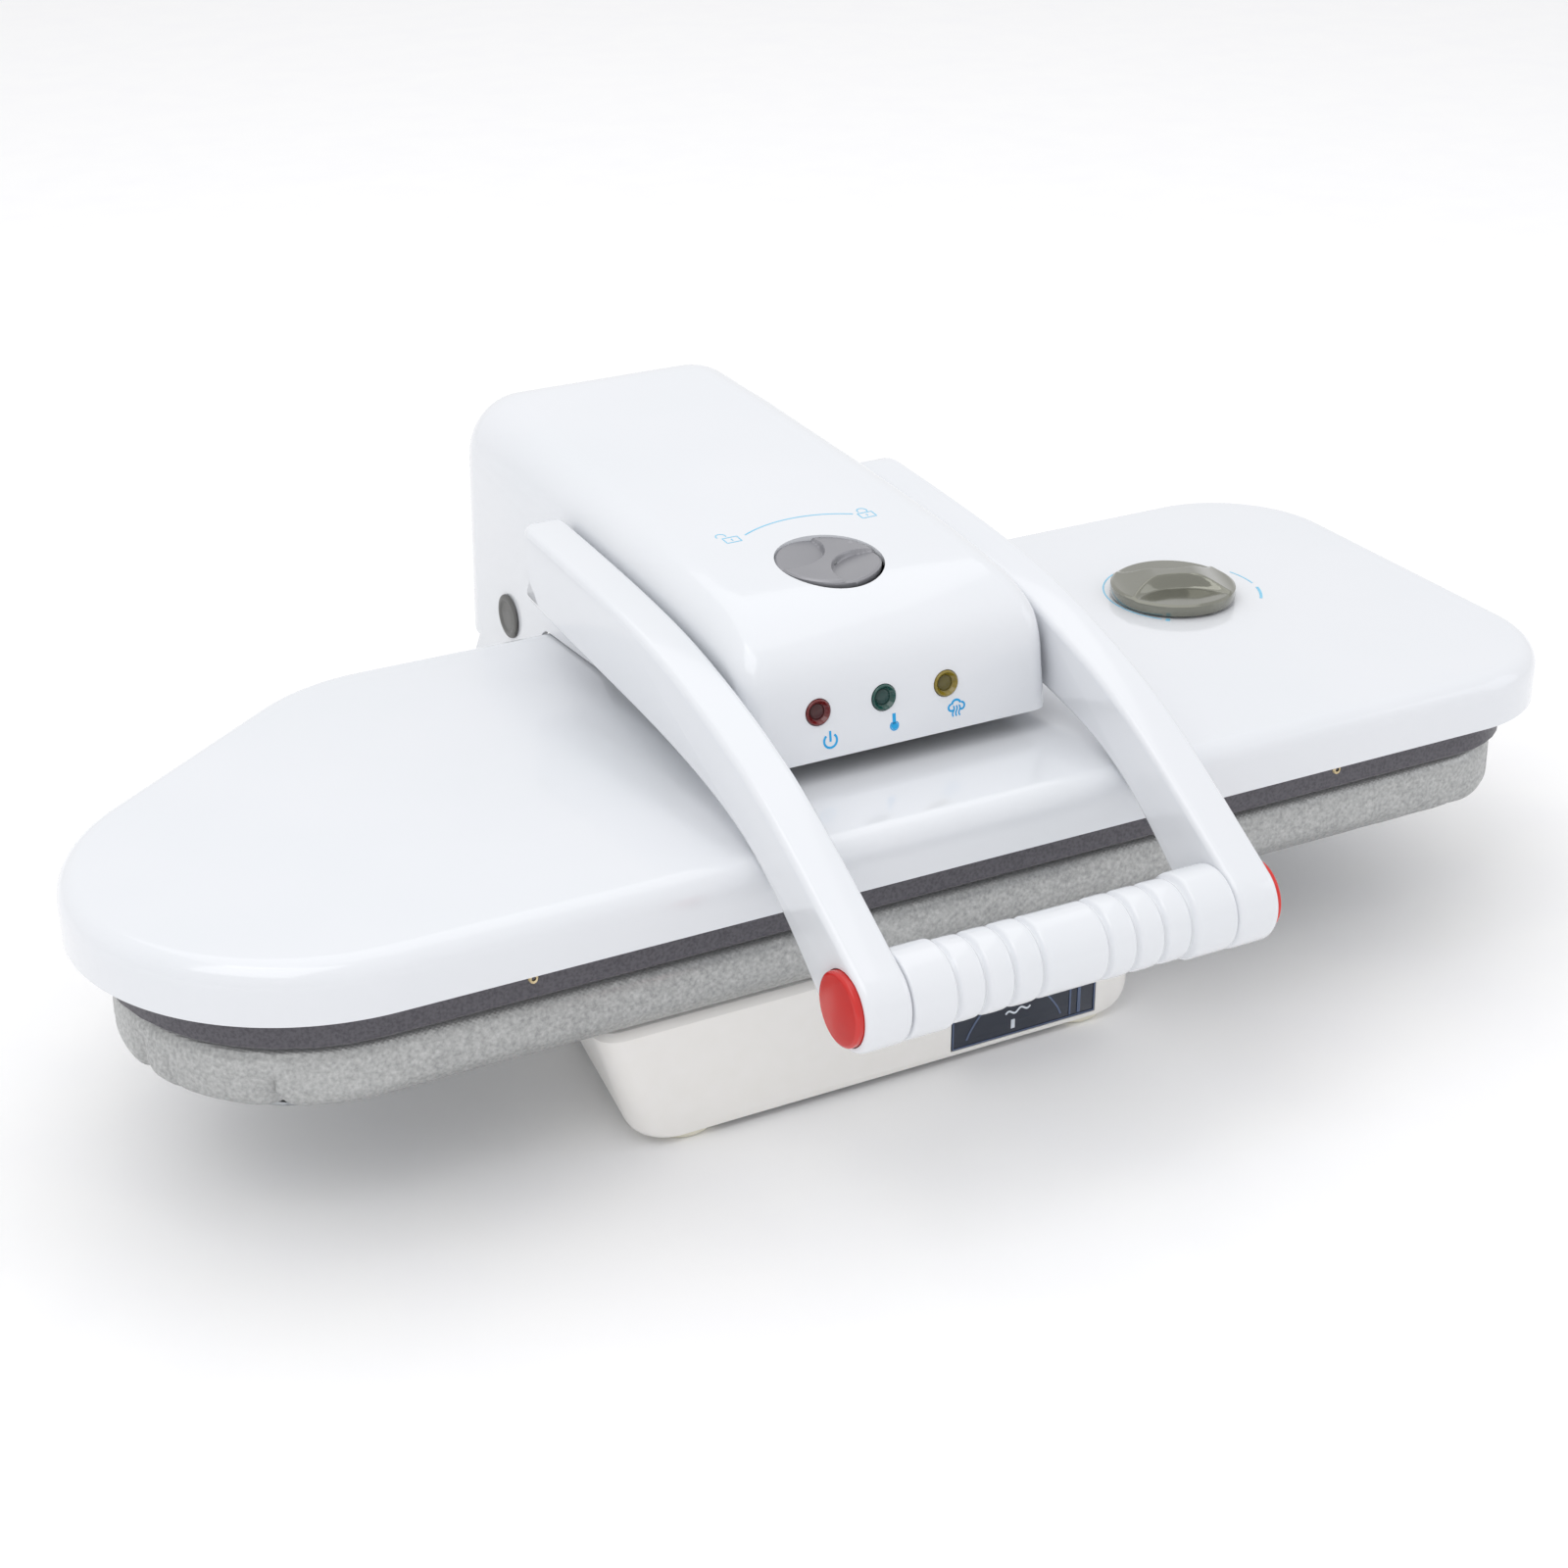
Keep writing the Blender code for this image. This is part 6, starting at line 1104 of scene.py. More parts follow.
    def front_signs(self) -> Piece:
        """Prints the generic power, temperature and steam signs under the lamps.

        Each sign's strokes are placed from its own middle (x, b), b being the way up the front.

        Returns:
            The printed piece.
        """
        strokes = []
        x, b = self.lamp_x[0] + 0.0052, -0.0138
        strokes.append((arc_path((x, b), 0.0031, 130, 410, 32), 0.0010, False))
        strokes.append((line_path((x, b + 0.0044), (x, b - 0.0004)), 0.0010, False))
        x, b = self.lamp_x[1] + 0.0046, -0.0117
        strokes.append((arc_path((x, b - 0.0020), 0.0008, 0, 345, 20), 0.0016, True))
        strokes.append((arc_path((x, b - 0.0020), 0.0020, 122, 418, 28), 0.0005, False))
        strokes.append((line_path((x, b - 0.0012), (x, b + 0.0036)), 0.0016, False))
        x, b = self.lamp_x[2] + 0.0047, -0.0124
        strokes.append((arc_path((x - 0.0024, b + 0.0008), 0.0015, 95, 300, 18), 0.0009, False))
        strokes.append((arc_path((x, b + 0.0018), 0.0022, 15, 170, 18), 0.0010, False))
        strokes.append((arc_path((x + 0.0025, b + 0.0009), 0.0016, -110, 85, 18), 0.0009, False))
        for shift in (-0.0014, 0.0, 0.0014):
            wisp = wave_path((x + shift, b + 0.0014), (x + shift * 1.2, b - 0.0034), 0.0004, 1.0, 20)
            strokes.append((wisp, 0.0007, False))
        ink = Ink(self.front_surface)
        return ink.print_strokes("front_signs", strokes, self.paint.named("blue_ink"))

    def lock_signs(self, knob: Pair) -> Piece:
        """Prints the arc behind the lock knob with an open padlock at one end and a closed one at the other.

        Args:
            knob: (x, y) of the knob's axis.

        Returns:
            The printed piece.
        """
        middle = (knob[0] + 0.0049, knob[1] - 0.0148)
        strokes = [(arc_path(middle, 0.0566, 61, 119, 48), 0.0007, False)]
        for x, y, is_open in ((-0.0300, 0.0045, True), (0.0378, 0.0032, False)):
            left, right, low, high = x - 0.0036, x + 0.0036, y - 0.0042, y + 0.0008
            body = line_path((left, low), (right, low), (right, high), (left, high), (left, low))[:-1]
            strokes.append((body, 0.0005, True))
            shift, start = (-0.0032, -20) if is_open else (0.0, -40)
            strokes.append((arc_path((x + shift, y + 0.0030), 0.0023, start, 200, 20), 0.0005, False))
            strokes.append((line_path((x, y - 0.0008), (x, y - 0.0026)), 0.0005, False))
        ink = Ink(self.top_surface)
        return ink.print_strokes("lock_signs", strokes, self.paint.named("pale_ink"))

    def build(self) -> list[Piece]:
        """Builds the cover and all that is on it.

        Returns:
            The shell, lamp pieces, plugs and signs.
        """
        shell = self.shell()
        drill(shell, turned("knob_bore", self.knob_place, self.knob_axis,
                            [(0.0, self.knob_bore), (self.knob_reach, self.knob_bore)],
                            shell.data.materials[0]))
        lamps = self.lamps(shell)
        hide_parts("head_cover")
        pieces = [shell, *lamps, *self.plugs(), self.front_signs(), self.lock_signs(self.knob_place[:2])]
        for piece in pieces:
            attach(piece, "head")
        return pieces


# Knobs


@dataclass
class RoundKnob:
    """A round knob worked out as a height over a disc.

    Attributes:
        name: name of the piece.
        node: the CAD node that it stands for.
        body: the body that it rides on.
        centre: middle of its underside, in metres.
        axis: its axis.
        radius: radius of its rim.
        thickness: height of its rim above its underside.
        turn: direction of its ridge in degrees from X.
        shape: gives the height to add at (along the ridge, across the ridge), both over the radius.
        material: what it is made of.
        sides: number of points round its axis.
        rings: number of rings on its top, without the three that roll over the rim.
        rim_roll: how far the top rolls down at the rim.
    """

    name: str
    node: str
    body: str
    centre: Triple
    axis: Triple
    radius: float
    thickness: float
    turn: float
    shape: Callable[[np.ndarray, np.ndarray], np.ndarray]
    material: Material
    sides: int = 216
    rings: int = 72
    rim_roll: float = 0.0008

    def build(self) -> Piece:
        """Builds the knob: radius * (cos t, sin t) in its plane, and thickness plus shape along its axis.

        Returns:
            The knob.
        """
        up = np.asarray(self.axis, float) / np.linalg.norm(self.axis)
        along = np.array([math.cos(math.radians(self.turn)), math.sin(math.radians(self.turn)), 0.0])
        along -= up * (along @ up)
        along /= np.linalg.norm(along)
        across = np.cross(up, along)
        turn = np.linspace(0.0, 2 * math.pi, self.sides, endpoint=False)
        reach = np.concatenate([np.linspace(0.012, 0.955, self.rings), [0.975, 0.990, 0.998]])
        a = reach[:, None] * np.cos(turn)[None, :]
        b = reach[:, None] * np.sin(turn)[None, :]
        roll = self.rim_roll * smooth_step(0.95, 1.0, reach)[:, None]
        top = self.thickness + self.shape(a, b) - roll
        rim = np.array([(1.0, self.thickness - 0.0016), (1.0, 0.0004), (0.985, 0.0), (0.20, 0.0)])
        rim_a = rim[:, 0][:, None] * np.cos(turn)[None, :]
        rim_b = rim[:, 0][:, None] * np.sin(turn)[None, :]
        rim_h = np.broadcast_to(rim[:, 1][:, None], rim_a.shape)
        plane_a = np.concatenate([a, rim_a]) * self.radius
        plane_b = np.concatenate([b, rim_b]) * self.radius
        height = np.concatenate([top, rim_h])
        grid = (np.asarray(self.centre) + plane_a[..., None] * along + plane_b[..., None] * across
                + height[..., None] * up)
        piece = skin(self.name, grid, self.material, sharp=SOFT_DEGREES)
        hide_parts(self.node)
        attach(piece, self.body)
        return piece


def lock_shape(a: np.ndarray, b: np.ndarray) -> np.ndarray:
    """Scoops the lock knob on both sides of a bow tie.

    Each scoop is a disc of radius 0.894 whose edge comes within 0.11 of the middle. Inside it the floor
    lies tan(8.5 degrees) * (1 - |b|) * radius below the rim, and a short smooth step leads down to it.

    Args:
        a: place along the tie over the radius.
        b: place across the tie over the radius.

    Returns:
        Height to add, in metres.
    """
    reach = 0.894
    inside = smooth_step(0.0, 0.055, reach - np.hypot(a, np.abs(b) - 0.11 - reach))
    floor = LOCK_RADIUS * math.tan(math.radians(8.5)) * np.clip(1.0 - np.abs(b), 0.0, 1.0)
    pointer = 0.0009 * np.exp(-((a - 0.88) ** 2 + (b + 0.13) ** 2) / 0.0030)
    crown = 0.0004 * (1.0 - a ** 2 - b ** 2)
    return crown + pointer - floor * inside


def dial_shape(a: np.ndarray, b: np.ndarray) -> np.ndarray:
    """Raises a bow tie with steep hollow sides on the dial, and dishes the disc on both sides of it.

    The tie is 6 mm high between two discs of radius 0.95 whose edges come within 0.12 of the middle, and
    it falls to the rim at its ends; the dish is 0.9 mm deep beside it.

    Args:
        a: place along the ridge over the radius.
        b: place across the ridge over the radius.

    Returns:
        Height to add, in metres.
    """
    reach = 0.95
    inside = smooth_step(-0.02, 0.085, reach - np.hypot(a, np.abs(b) - 0.12 - reach))
    ends = 1.0 - smooth_step(0.30, 0.90, np.abs(a))
    dish = 0.0009 * np.clip(1.0 - np.abs(b), 0.0, 1.0) * inside
    return 0.0060 * (1.0 - inside) * ends - dish


# Platen cover, and the padded board under the plate


@dataclass
class Platen:
    """Moulded cover over the heating plate, with the dial's printed scale and the two spring clips.

    Attributes are sizes in metres.
    """

    paint: Paintbox
    outline: BoardOutline
    rim_z: float = 0.113
    rise: float = 0.025
    fillet: float = 0.010
    crown: float = 0.003
    sheet: float = 0.002
    spindle: Pair = (0.0045, -0.0085)
    dial: Pair = (0.21602, 0.0095)
    inlet: Pair = (0.0345, 0.0515)
    scale_shift: Pair = (0.0074, 0.0023)
    scale_radius: float = 0.0384
    scale_line: float = 0.0007
    lip: float = 0.0006
    spindle_hole: float = 0.0064
    dial_hole: float = 0.0043
    inlet_hole: float = 0.0083
    eye_drop: float = 0.0046
    eye_radius: float = 0.0022
    eye_bore: float = 0.0010
    eye_end: float = 0.0036
    strip_half: float = 0.0015
    clip_sheet: float = 0.0006

    def top_z(self, points: np.ndarray) -> np.ndarray:
        """Gives the cover's height at (x, y): top + crown * (1 - share squared).

        Args:
            points: the (x, y) pairs.

        Returns:
            Heights in metres.
        """
        share = self.outline.share(points, self.fillet)
        return self.rim_z + self.rise + self.crown * (1.0 - np.clip(share, 0, 1) ** 2)

    def side(self, inset: float, low: float, high: float, fillet: float) -> list[np.ndarray]:
        """Gives the loops of one side of the shell: straight wall, rounded edge and crowned top.

        Args:
            inset: how far inside the outline the wall stands.
            low: height of its lower edge.
            high: height of the top's rim.
            fillet: radius of its rounded edge.

        Returns:
            Loops of (x, y, z) from the lower edge to the hole round the spindle.
        """
        loops = []
        plan = self.outline.ring(inset)
        for z in (low, low + self.lip, (low + high - fillet) / 2, high - fillet):
            loops.append(at_height(plan, z))
        for turn in np.linspace(0, math.pi / 2, 9)[1:]:
            plan = self.outline.ring(inset + fillet * (1 - math.cos(turn)))
            loops.append(at_height(plan, high - fillet + fillet * math.sin(turn)))
        edge = self.outline.ring(inset + fillet)
        turn = np.arctan2(edge[:, 1] - self.spindle[1], edge[:, 0] - self.spindle[0])
        hole = around(self.spindle, self.spindle_hole, turn)
        for mix in (0.03, 0.08, 0.16, 0.28, 0.42, 0.58, 0.74, 0.88, 1.0):
            plan = edge * (1 - mix) + hole * mix
            z = high + self.crown * (1.0 - self.outline.share(plan, inset + fillet) ** 2)
            loops.append(np.column_stack([plan, z]))
        return loops

    def cover(self) -> Piece:
        """Makes the cover as one closed shell: outside up and over, and inside back down.

        Returns:
            The cover with its holes for the dial's spindle and the steam inlet.
        """
        outside = self.side(0.0, self.rim_z, self.rim_z + self.rise, self.fillet)
        inside = self.side(self.sheet, self.rim_z, self.rim_z + self.rise - self.sheet,
                           self.fillet - self.sheet)
        grid = np.stack(outside + inside[::-1])
        piece = skin("platen_shell", grid, self.paint.named("gloss_abs"), closed_rows=True)
        for point, radius in ((self.dial, self.dial_hole), (self.inlet, self.inlet_hole)):
            bore = turned("bore", (*point, self.rim_z + 0.01), (0, 0, 1), [(0.0, radius), (0.03, radius)],
                          piece.data.materials[0], sides=32)
            drill(piece, bore)
        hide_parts("platen_cover")
        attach(piece, "head")
        return piece

    def top_surface(self, points: np.ndarray, lift: float) -> np.ndarray:
        """Places (x, y) on the cover's top, at a height above it.

        Args:
            points: the (x, y) pairs.
            lift: distance above the surface.

        Returns:
            (x, y, z) points.
        """
        return np.column_stack([points, self.top_z(points) + lift])

    def dial_scale(self) -> Piece:
        """Prints the ring round the dial, its dot and its end mark.

        Returns:
            The printed piece.
        """
        ink = Ink(self.top_surface)
        middle = (self.dial[0] + self.scale_shift[0], self.dial[1] + self.scale_shift[1])
        radius, line = self.scale_radius, self.scale_line
        strokes = [(arc_path(middle, radius, 116, 220, 60), line, False),
                   (arc_path(middle, radius, -10, 16, 24), line, False),
                   (arc_path(middle, radius, 223, 226, 6), 0.0026, False),
                   (arc_path(middle, 0.0386, -40, -18, 16), 2 * line, False)]
        piece = ink.print_strokes("dial_scale", strokes, self.paint.named("pale_ink"))
        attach(piece, "head")
        return piece

    def clip(self, name: str) -> Piece:
        """Makes one spring clip: a narrow strip that hooks over the plate's rim and ends in a round eye.

        The strip's middle line goes up the plate's wall and over its rim. Its half width across x follows the
        circle sqrt(r squared - fall squared) of the eye at the lower end, and is narrower above it.

        Args:
            name: left or right.

        Returns:
            The clip.
        """
        low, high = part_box(f"platen_clip_{name}")
        x, wall_y = (low.x + high.x) / 2, low.y + self.clip_sheet
        start_z = self.rim_z - self.eye_drop
        radius = self.eye_radius
        fall = np.concatenate([np.linspace(0.0, 2 * radius, 16),
                               np.linspace(self.eye_drop, high.z - start_z - 0.0002, 10)])
        half = np.where(fall < radius, np.sqrt(np.maximum(radius ** 2 - (fall - radius) ** 2, 1e-10)), radius)
        half = np.where(fall > self.eye_end, self.strip_half, half)
        z = start_z + fall
        rows = []
        for height, side in zip(z, half):
            rows.append([(x - side, wall_y + 0.0002, height), (x - side * 0.8, wall_y - 0.0004, height),
                         (x + side * 0.8, wall_y - 0.0004, height), (x + side, wall_y + 0.0002, height),
                         (x + side, wall_y + self.clip_sheet, height),
                         (x - side, wall_y + self.clip_sheet, height)])
        top = z[-1]
        for across in (self.clip_sheet, 0.0030, 0.0065, high.y - wall_y - self.clip_sheet):
            y, left, right = wall_y + across, x - self.strip_half, x + self.strip_half
            rows.append([(left, y, top), (left, y, top + 0.0005), (right, y, top + 0.0005), (right, y, top),
                         (x + 0.0012, y, top - 0.0002), (x - 0.0012, y, top - 0.0002)])
        piece = skin(f"spring_clip_{name}", np.asarray(rows), self.paint.named("brass"),
                     sharp=SOFT_DEGREES)
        eye = turned("eye", (x, wall_y - 0.003, start_z + radius), (0, 1, 0),
                     [(0.0, self.eye_bore), (0.006, self.eye_bore)], piece.data.materials[0], sides=24)
        drill(piece, eye)
        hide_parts(f"platen_clip_{name}")
        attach(piece, "head")
        return piece

    def build(self) -> list[Piece]:
        """Builds the cover, the dial's scale and the clips."""
        return [self.cover(), self.dial_scale(), self.clip("left"), self.clip("right")]


class PadStage(Enum):
    """Which pieces of work on the pad are done."""

    SHAPED = "the plain form with its gathers, used for quick looks"
    SIMULATED = "the form after the cloth simulation"


@dataclass
class BoardPad:
    """Padded board under the plate: metallised cotton drawn tight round felt, gathered under its ends.

    Attributes are sizes in metres, apart from the counts, the shares, the cloth's pressure and the random
    seed. Of the tried creases kept_share stay along the middle, and that much more towards the ends.
    """

    paint: Paintbox
    outline: BoardOutline
    inset: float = 0.015
    low_z: float = 0.0637
    high_z: float = 0.0937
    edge_roll: float = 0.009
    drawn_in: float = 0.0055
    lower_roll: float = 0.0085
    start_shrink: float = 0.0022
    reach: float = 0.004
    margin: float = 0.0006
    play: float = 0.0002
    columns: int = 1080
    coarse_columns: int = 240
    frames: int = 20
    pressure: float = 4.0
    under_reach: float = 0.010
    pressed_share: float = 0.90
    fold_zone: Pair = (0.80, 0.93)
    seed: int = 11
    tries: int = 900
    kept_share: Pair = (0.012, 0.11)
    middle_x: float = -0.015
    end_zone: Pair = (0.15, 0.29)
    crease_width: Pair = (0.0016, 0.0040)
    crease_lean: Pair = (-0.022, 0.022)
    crease_reach: Pair = (0.30, 0.95)
    crease_depth: Pair = (0.0016, 0.0040)

    def gathers(self, plan: np.ndarray, height: np.ndarray) -> np.ndarray:
        """Gives how far the cloth is creased in at each point, for creases that run up from the lower edge.

        Each crease adds depth * exp(-((run - place - lean * height) / width) squared), times a fall from the
        underside to the height that it reaches; most of them stand round the two ends.

        Args:
            plan: (x, y) pairs.
            height: share of the pad's height, 0 at its underside.

        Returns:
            Depth in metres, positive inwards.
        """
        rng = np.random.default_rng(self.seed)
        loop = self.outline.ring(self.inset, 1440)
        run = run_along(loop)
        angle = np.unwrap(np.arctan2(loop[:, 1] - self.outline.middle[1], loop[:, 0]))
        turn = np.arctan2(plan[:, 1] - self.outline.middle[1], plan[:, 0])
        turn = angle[0] + np.mod(turn - angle[0], 2 * math.pi)
        place = np.interp(turn, angle, run)
        spots = rng.uniform(0.0, run[-1], self.tries)
        near_end = smooth_step(*self.end_zone, np.abs(np.interp(spots, run, loop[:, 0]) - self.middle_x))
        keep = rng.uniform(0.0, 1.0, self.tries) < self.kept_share[0] + self.kept_share[1] * near_end
        spots, near_end = spots[keep], near_end[keep]
        count = len(spots)
        width = rng.uniform(*self.crease_width, count)
        lean = rng.uniform(*self.crease_lean, count)
        reach = rng.uniform(*self.crease_reach, count)
        deep = rng.uniform(*self.crease_depth, count) * (0.35 + 0.65 * near_end)
        depth = np.zeros(len(plan))
        for i in range(count):
            away = (place - spots[i] - lean[i] * height) / width[i]
            depth += deep[i] * np.exp(-away ** 2) * (1.0 - smooth_step(reach[i] * 0.3, reach[i], height))
        return depth

    def section(self) -> list[Pair]:
        """Gives the side's section, with a quarter circle at the lower and at the upper edge.

        Returns:
            (inset, z) pairs from the underside to the top.
        """
        low = self.low_z + self.margin
        high = self.high_z - self.margin
        pairs = [(self.inset + self.drawn_in + self.under_reach, low)]
        for t in np.linspace(0.0, 1.0, 9):
            pairs.append((self.inset + self.start_shrink + self.drawn_in * (1 - math.sin(t * math.pi / 2)),
                          low + self.lower_roll * (1 - math.cos(t * math.pi / 2))))
        for t in np.linspace(0.0, 1.0, 8)[1:]:
            pairs.append((self.inset + self.start_shrink + self.edge_roll * (1 - math.cos(t * math.pi / 2)),
                          high - self.edge_roll + self.edge_roll * math.sin(t * math.pi / 2)))
        return pairs

    def form(self, columns: int) -> np.ndarray:
        """Gives the plain form: loops of the outline up the side and towards the middle at top and bottom.

        Args:
            columns: how many points each loop has.

        Returns:
            Points by loop, by column and by axis.
        """
        pairs = self.section()
        loops = []
        start = self.outline.ring(pairs[0][0], columns)
        middle = self.outline.middle
        for mix in (0.97, 0.7, 0.4, 0.15):
            loops.append(at_height(start * (1 - mix) + middle * mix, pairs[0][1]))
        for inset, z in pairs:
            loops.append(at_height(self.outline.ring(inset, columns), z))
        last = self.outline.ring(pairs[-1][0], columns)
        for mix in (0.03, 0.1, 0.25, 0.5, 0.75, 0.97):
            loops.append(at_height(last * (1 - mix) + middle * mix, pairs[-1][1]))
        return np.stack(loops)

    def simulate(self) -> np.ndarray:
        """Swells a coarse copy of the form with a short cloth simulation.

        The cloth is pinned where it is drawn under the tray and where the plate presses on it, and no point
        may move further than reach.

        Returns:
            How far each point of the fine form moves, by loop, by column and by axis.
        """
        coarse = self.form(self.coarse_columns)
        start = coarse.reshape(-1, 3)
        piece = skin("pad_trial", coarse, self.paint.named("metal_cotton"), sharp=ALL_SMOOTH_DEGREES)
        share = self.outline.share(start[:, :2], self.inset)
        pressed = (start[:, 2] > self.high_z - 2 * self.margin) & (share < self.pressed_share)
        held = piece.vertex_groups.new(name="Held")
        drawn_under = start[:, 2] < self.low_z + 2 * self.margin
        held.add(np.flatnonzero(pressed | drawn_under).tolist(), 1.0, "REPLACE")
        cloth = piece.modifiers.new("Cloth", "CLOTH")
        cloth.settings.vertex_group_mass = held.name
        cloth.settings.quality = 6
        cloth.settings.use_pressure = True
        cloth.settings.uniform_pressure_force = self.pressure
        cloth.settings.effector_weights.gravity = 0.0
        scene = bpy.context.scene
        cloth.point_cache.frame_start = 1
        cloth.point_cache.frame_end = self.frames
        for frame in range(1, self.frames + 1):
            scene.frame_set(frame)
        apply_modifiers(piece)
        scene.frame_set(1)
        moved = self.read(piece) - start
        bpy.data.objects.remove(piece)
        length = np.linalg.norm(moved, axis=1)[:, None] + 1e-9
        moved = (moved / length * np.minimum(length, self.reach)).reshape(coarse.shape)
        round_once = np.concatenate([moved, moved[:, :1]], axis=1)
        marks = np.arange(self.columns) * self.coarse_columns / self.columns
        low = np.floor(marks).astype(int)
        mix = smooth_step(0.0, 1.0, marks - low)[None, :, None]
        return round_once[:, low] * (1.0 - mix) + round_once[:, low + 1] * mix

    @staticmethod
    def read(piece: Piece) -> np.ndarray:
        """Reads a mesh's points as one array.

        Args:
            piece: the object to read.

        Returns:
            One row of x, y and z for each point.
        """
        values = np.zeros(len(piece.data.vertices) * 3)
        piece.data.vertices.foreach_get("co", values)
        return values.reshape(-1, 3)

    @staticmethod
    def write(piece: Piece, points: np.ndarray) -> None:
        """Writes a mesh's points.

        Args:
            piece: the object to change.
            points: one row of x, y and z for each point.
        """
        piece.data.vertices.foreach_set("co", np.ascontiguousarray(points, float).ravel())
        piece.data.update()

    def settle(self, piece: Piece) -> None:
        """Folds in the cloth's gathers and keeps it inside the space between tray and plate.

        Args:
            piece: the pad.
        """
        points = self.read(piece)
        middle = self.outline.middle
        share = self.outline.share(points[:, :2], self.inset)
        plan = points[:, :2] - middle
        height = np.clip((points[:, 2] - self.low_z) / (self.high_z - self.low_z), 0.0, 1.0)
        outer = smooth_step(*self.fold_zone, share)
        distance = np.linalg.norm(plan, axis=1) + 1e-9
        fold = self.gathers(points[:, :2], height) * outer
        over = np.maximum(share, 1.0)
        plan = plan / over[:, None] * (1.0 - fold / distance)[:, None]
        points[:, :2] = plan + middle
        points[:, 2] = np.clip(points[:, 2], self.low_z + self.play, self.high_z - self.play)
        self.write(piece, points)
        piece.data.shade_smooth()

    def build(self, stage: PadStage) -> Piece:
        """Builds the pad.

        Args:
            stage: whether the simulation is run.

        Returns:
            The finished pad.
        """
        points = self.form(self.columns)
        if stage is PadStage.SIMULATED:
            points = points + self.simulate()
        piece = skin("pad_cloth", points, self.paint.named("metal_cotton"), sharp=ALL_SMOOTH_DEGREES)
        self.settle(piece)
        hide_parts("board_pad")
        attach(piece, "base")
        return piece


# Handle


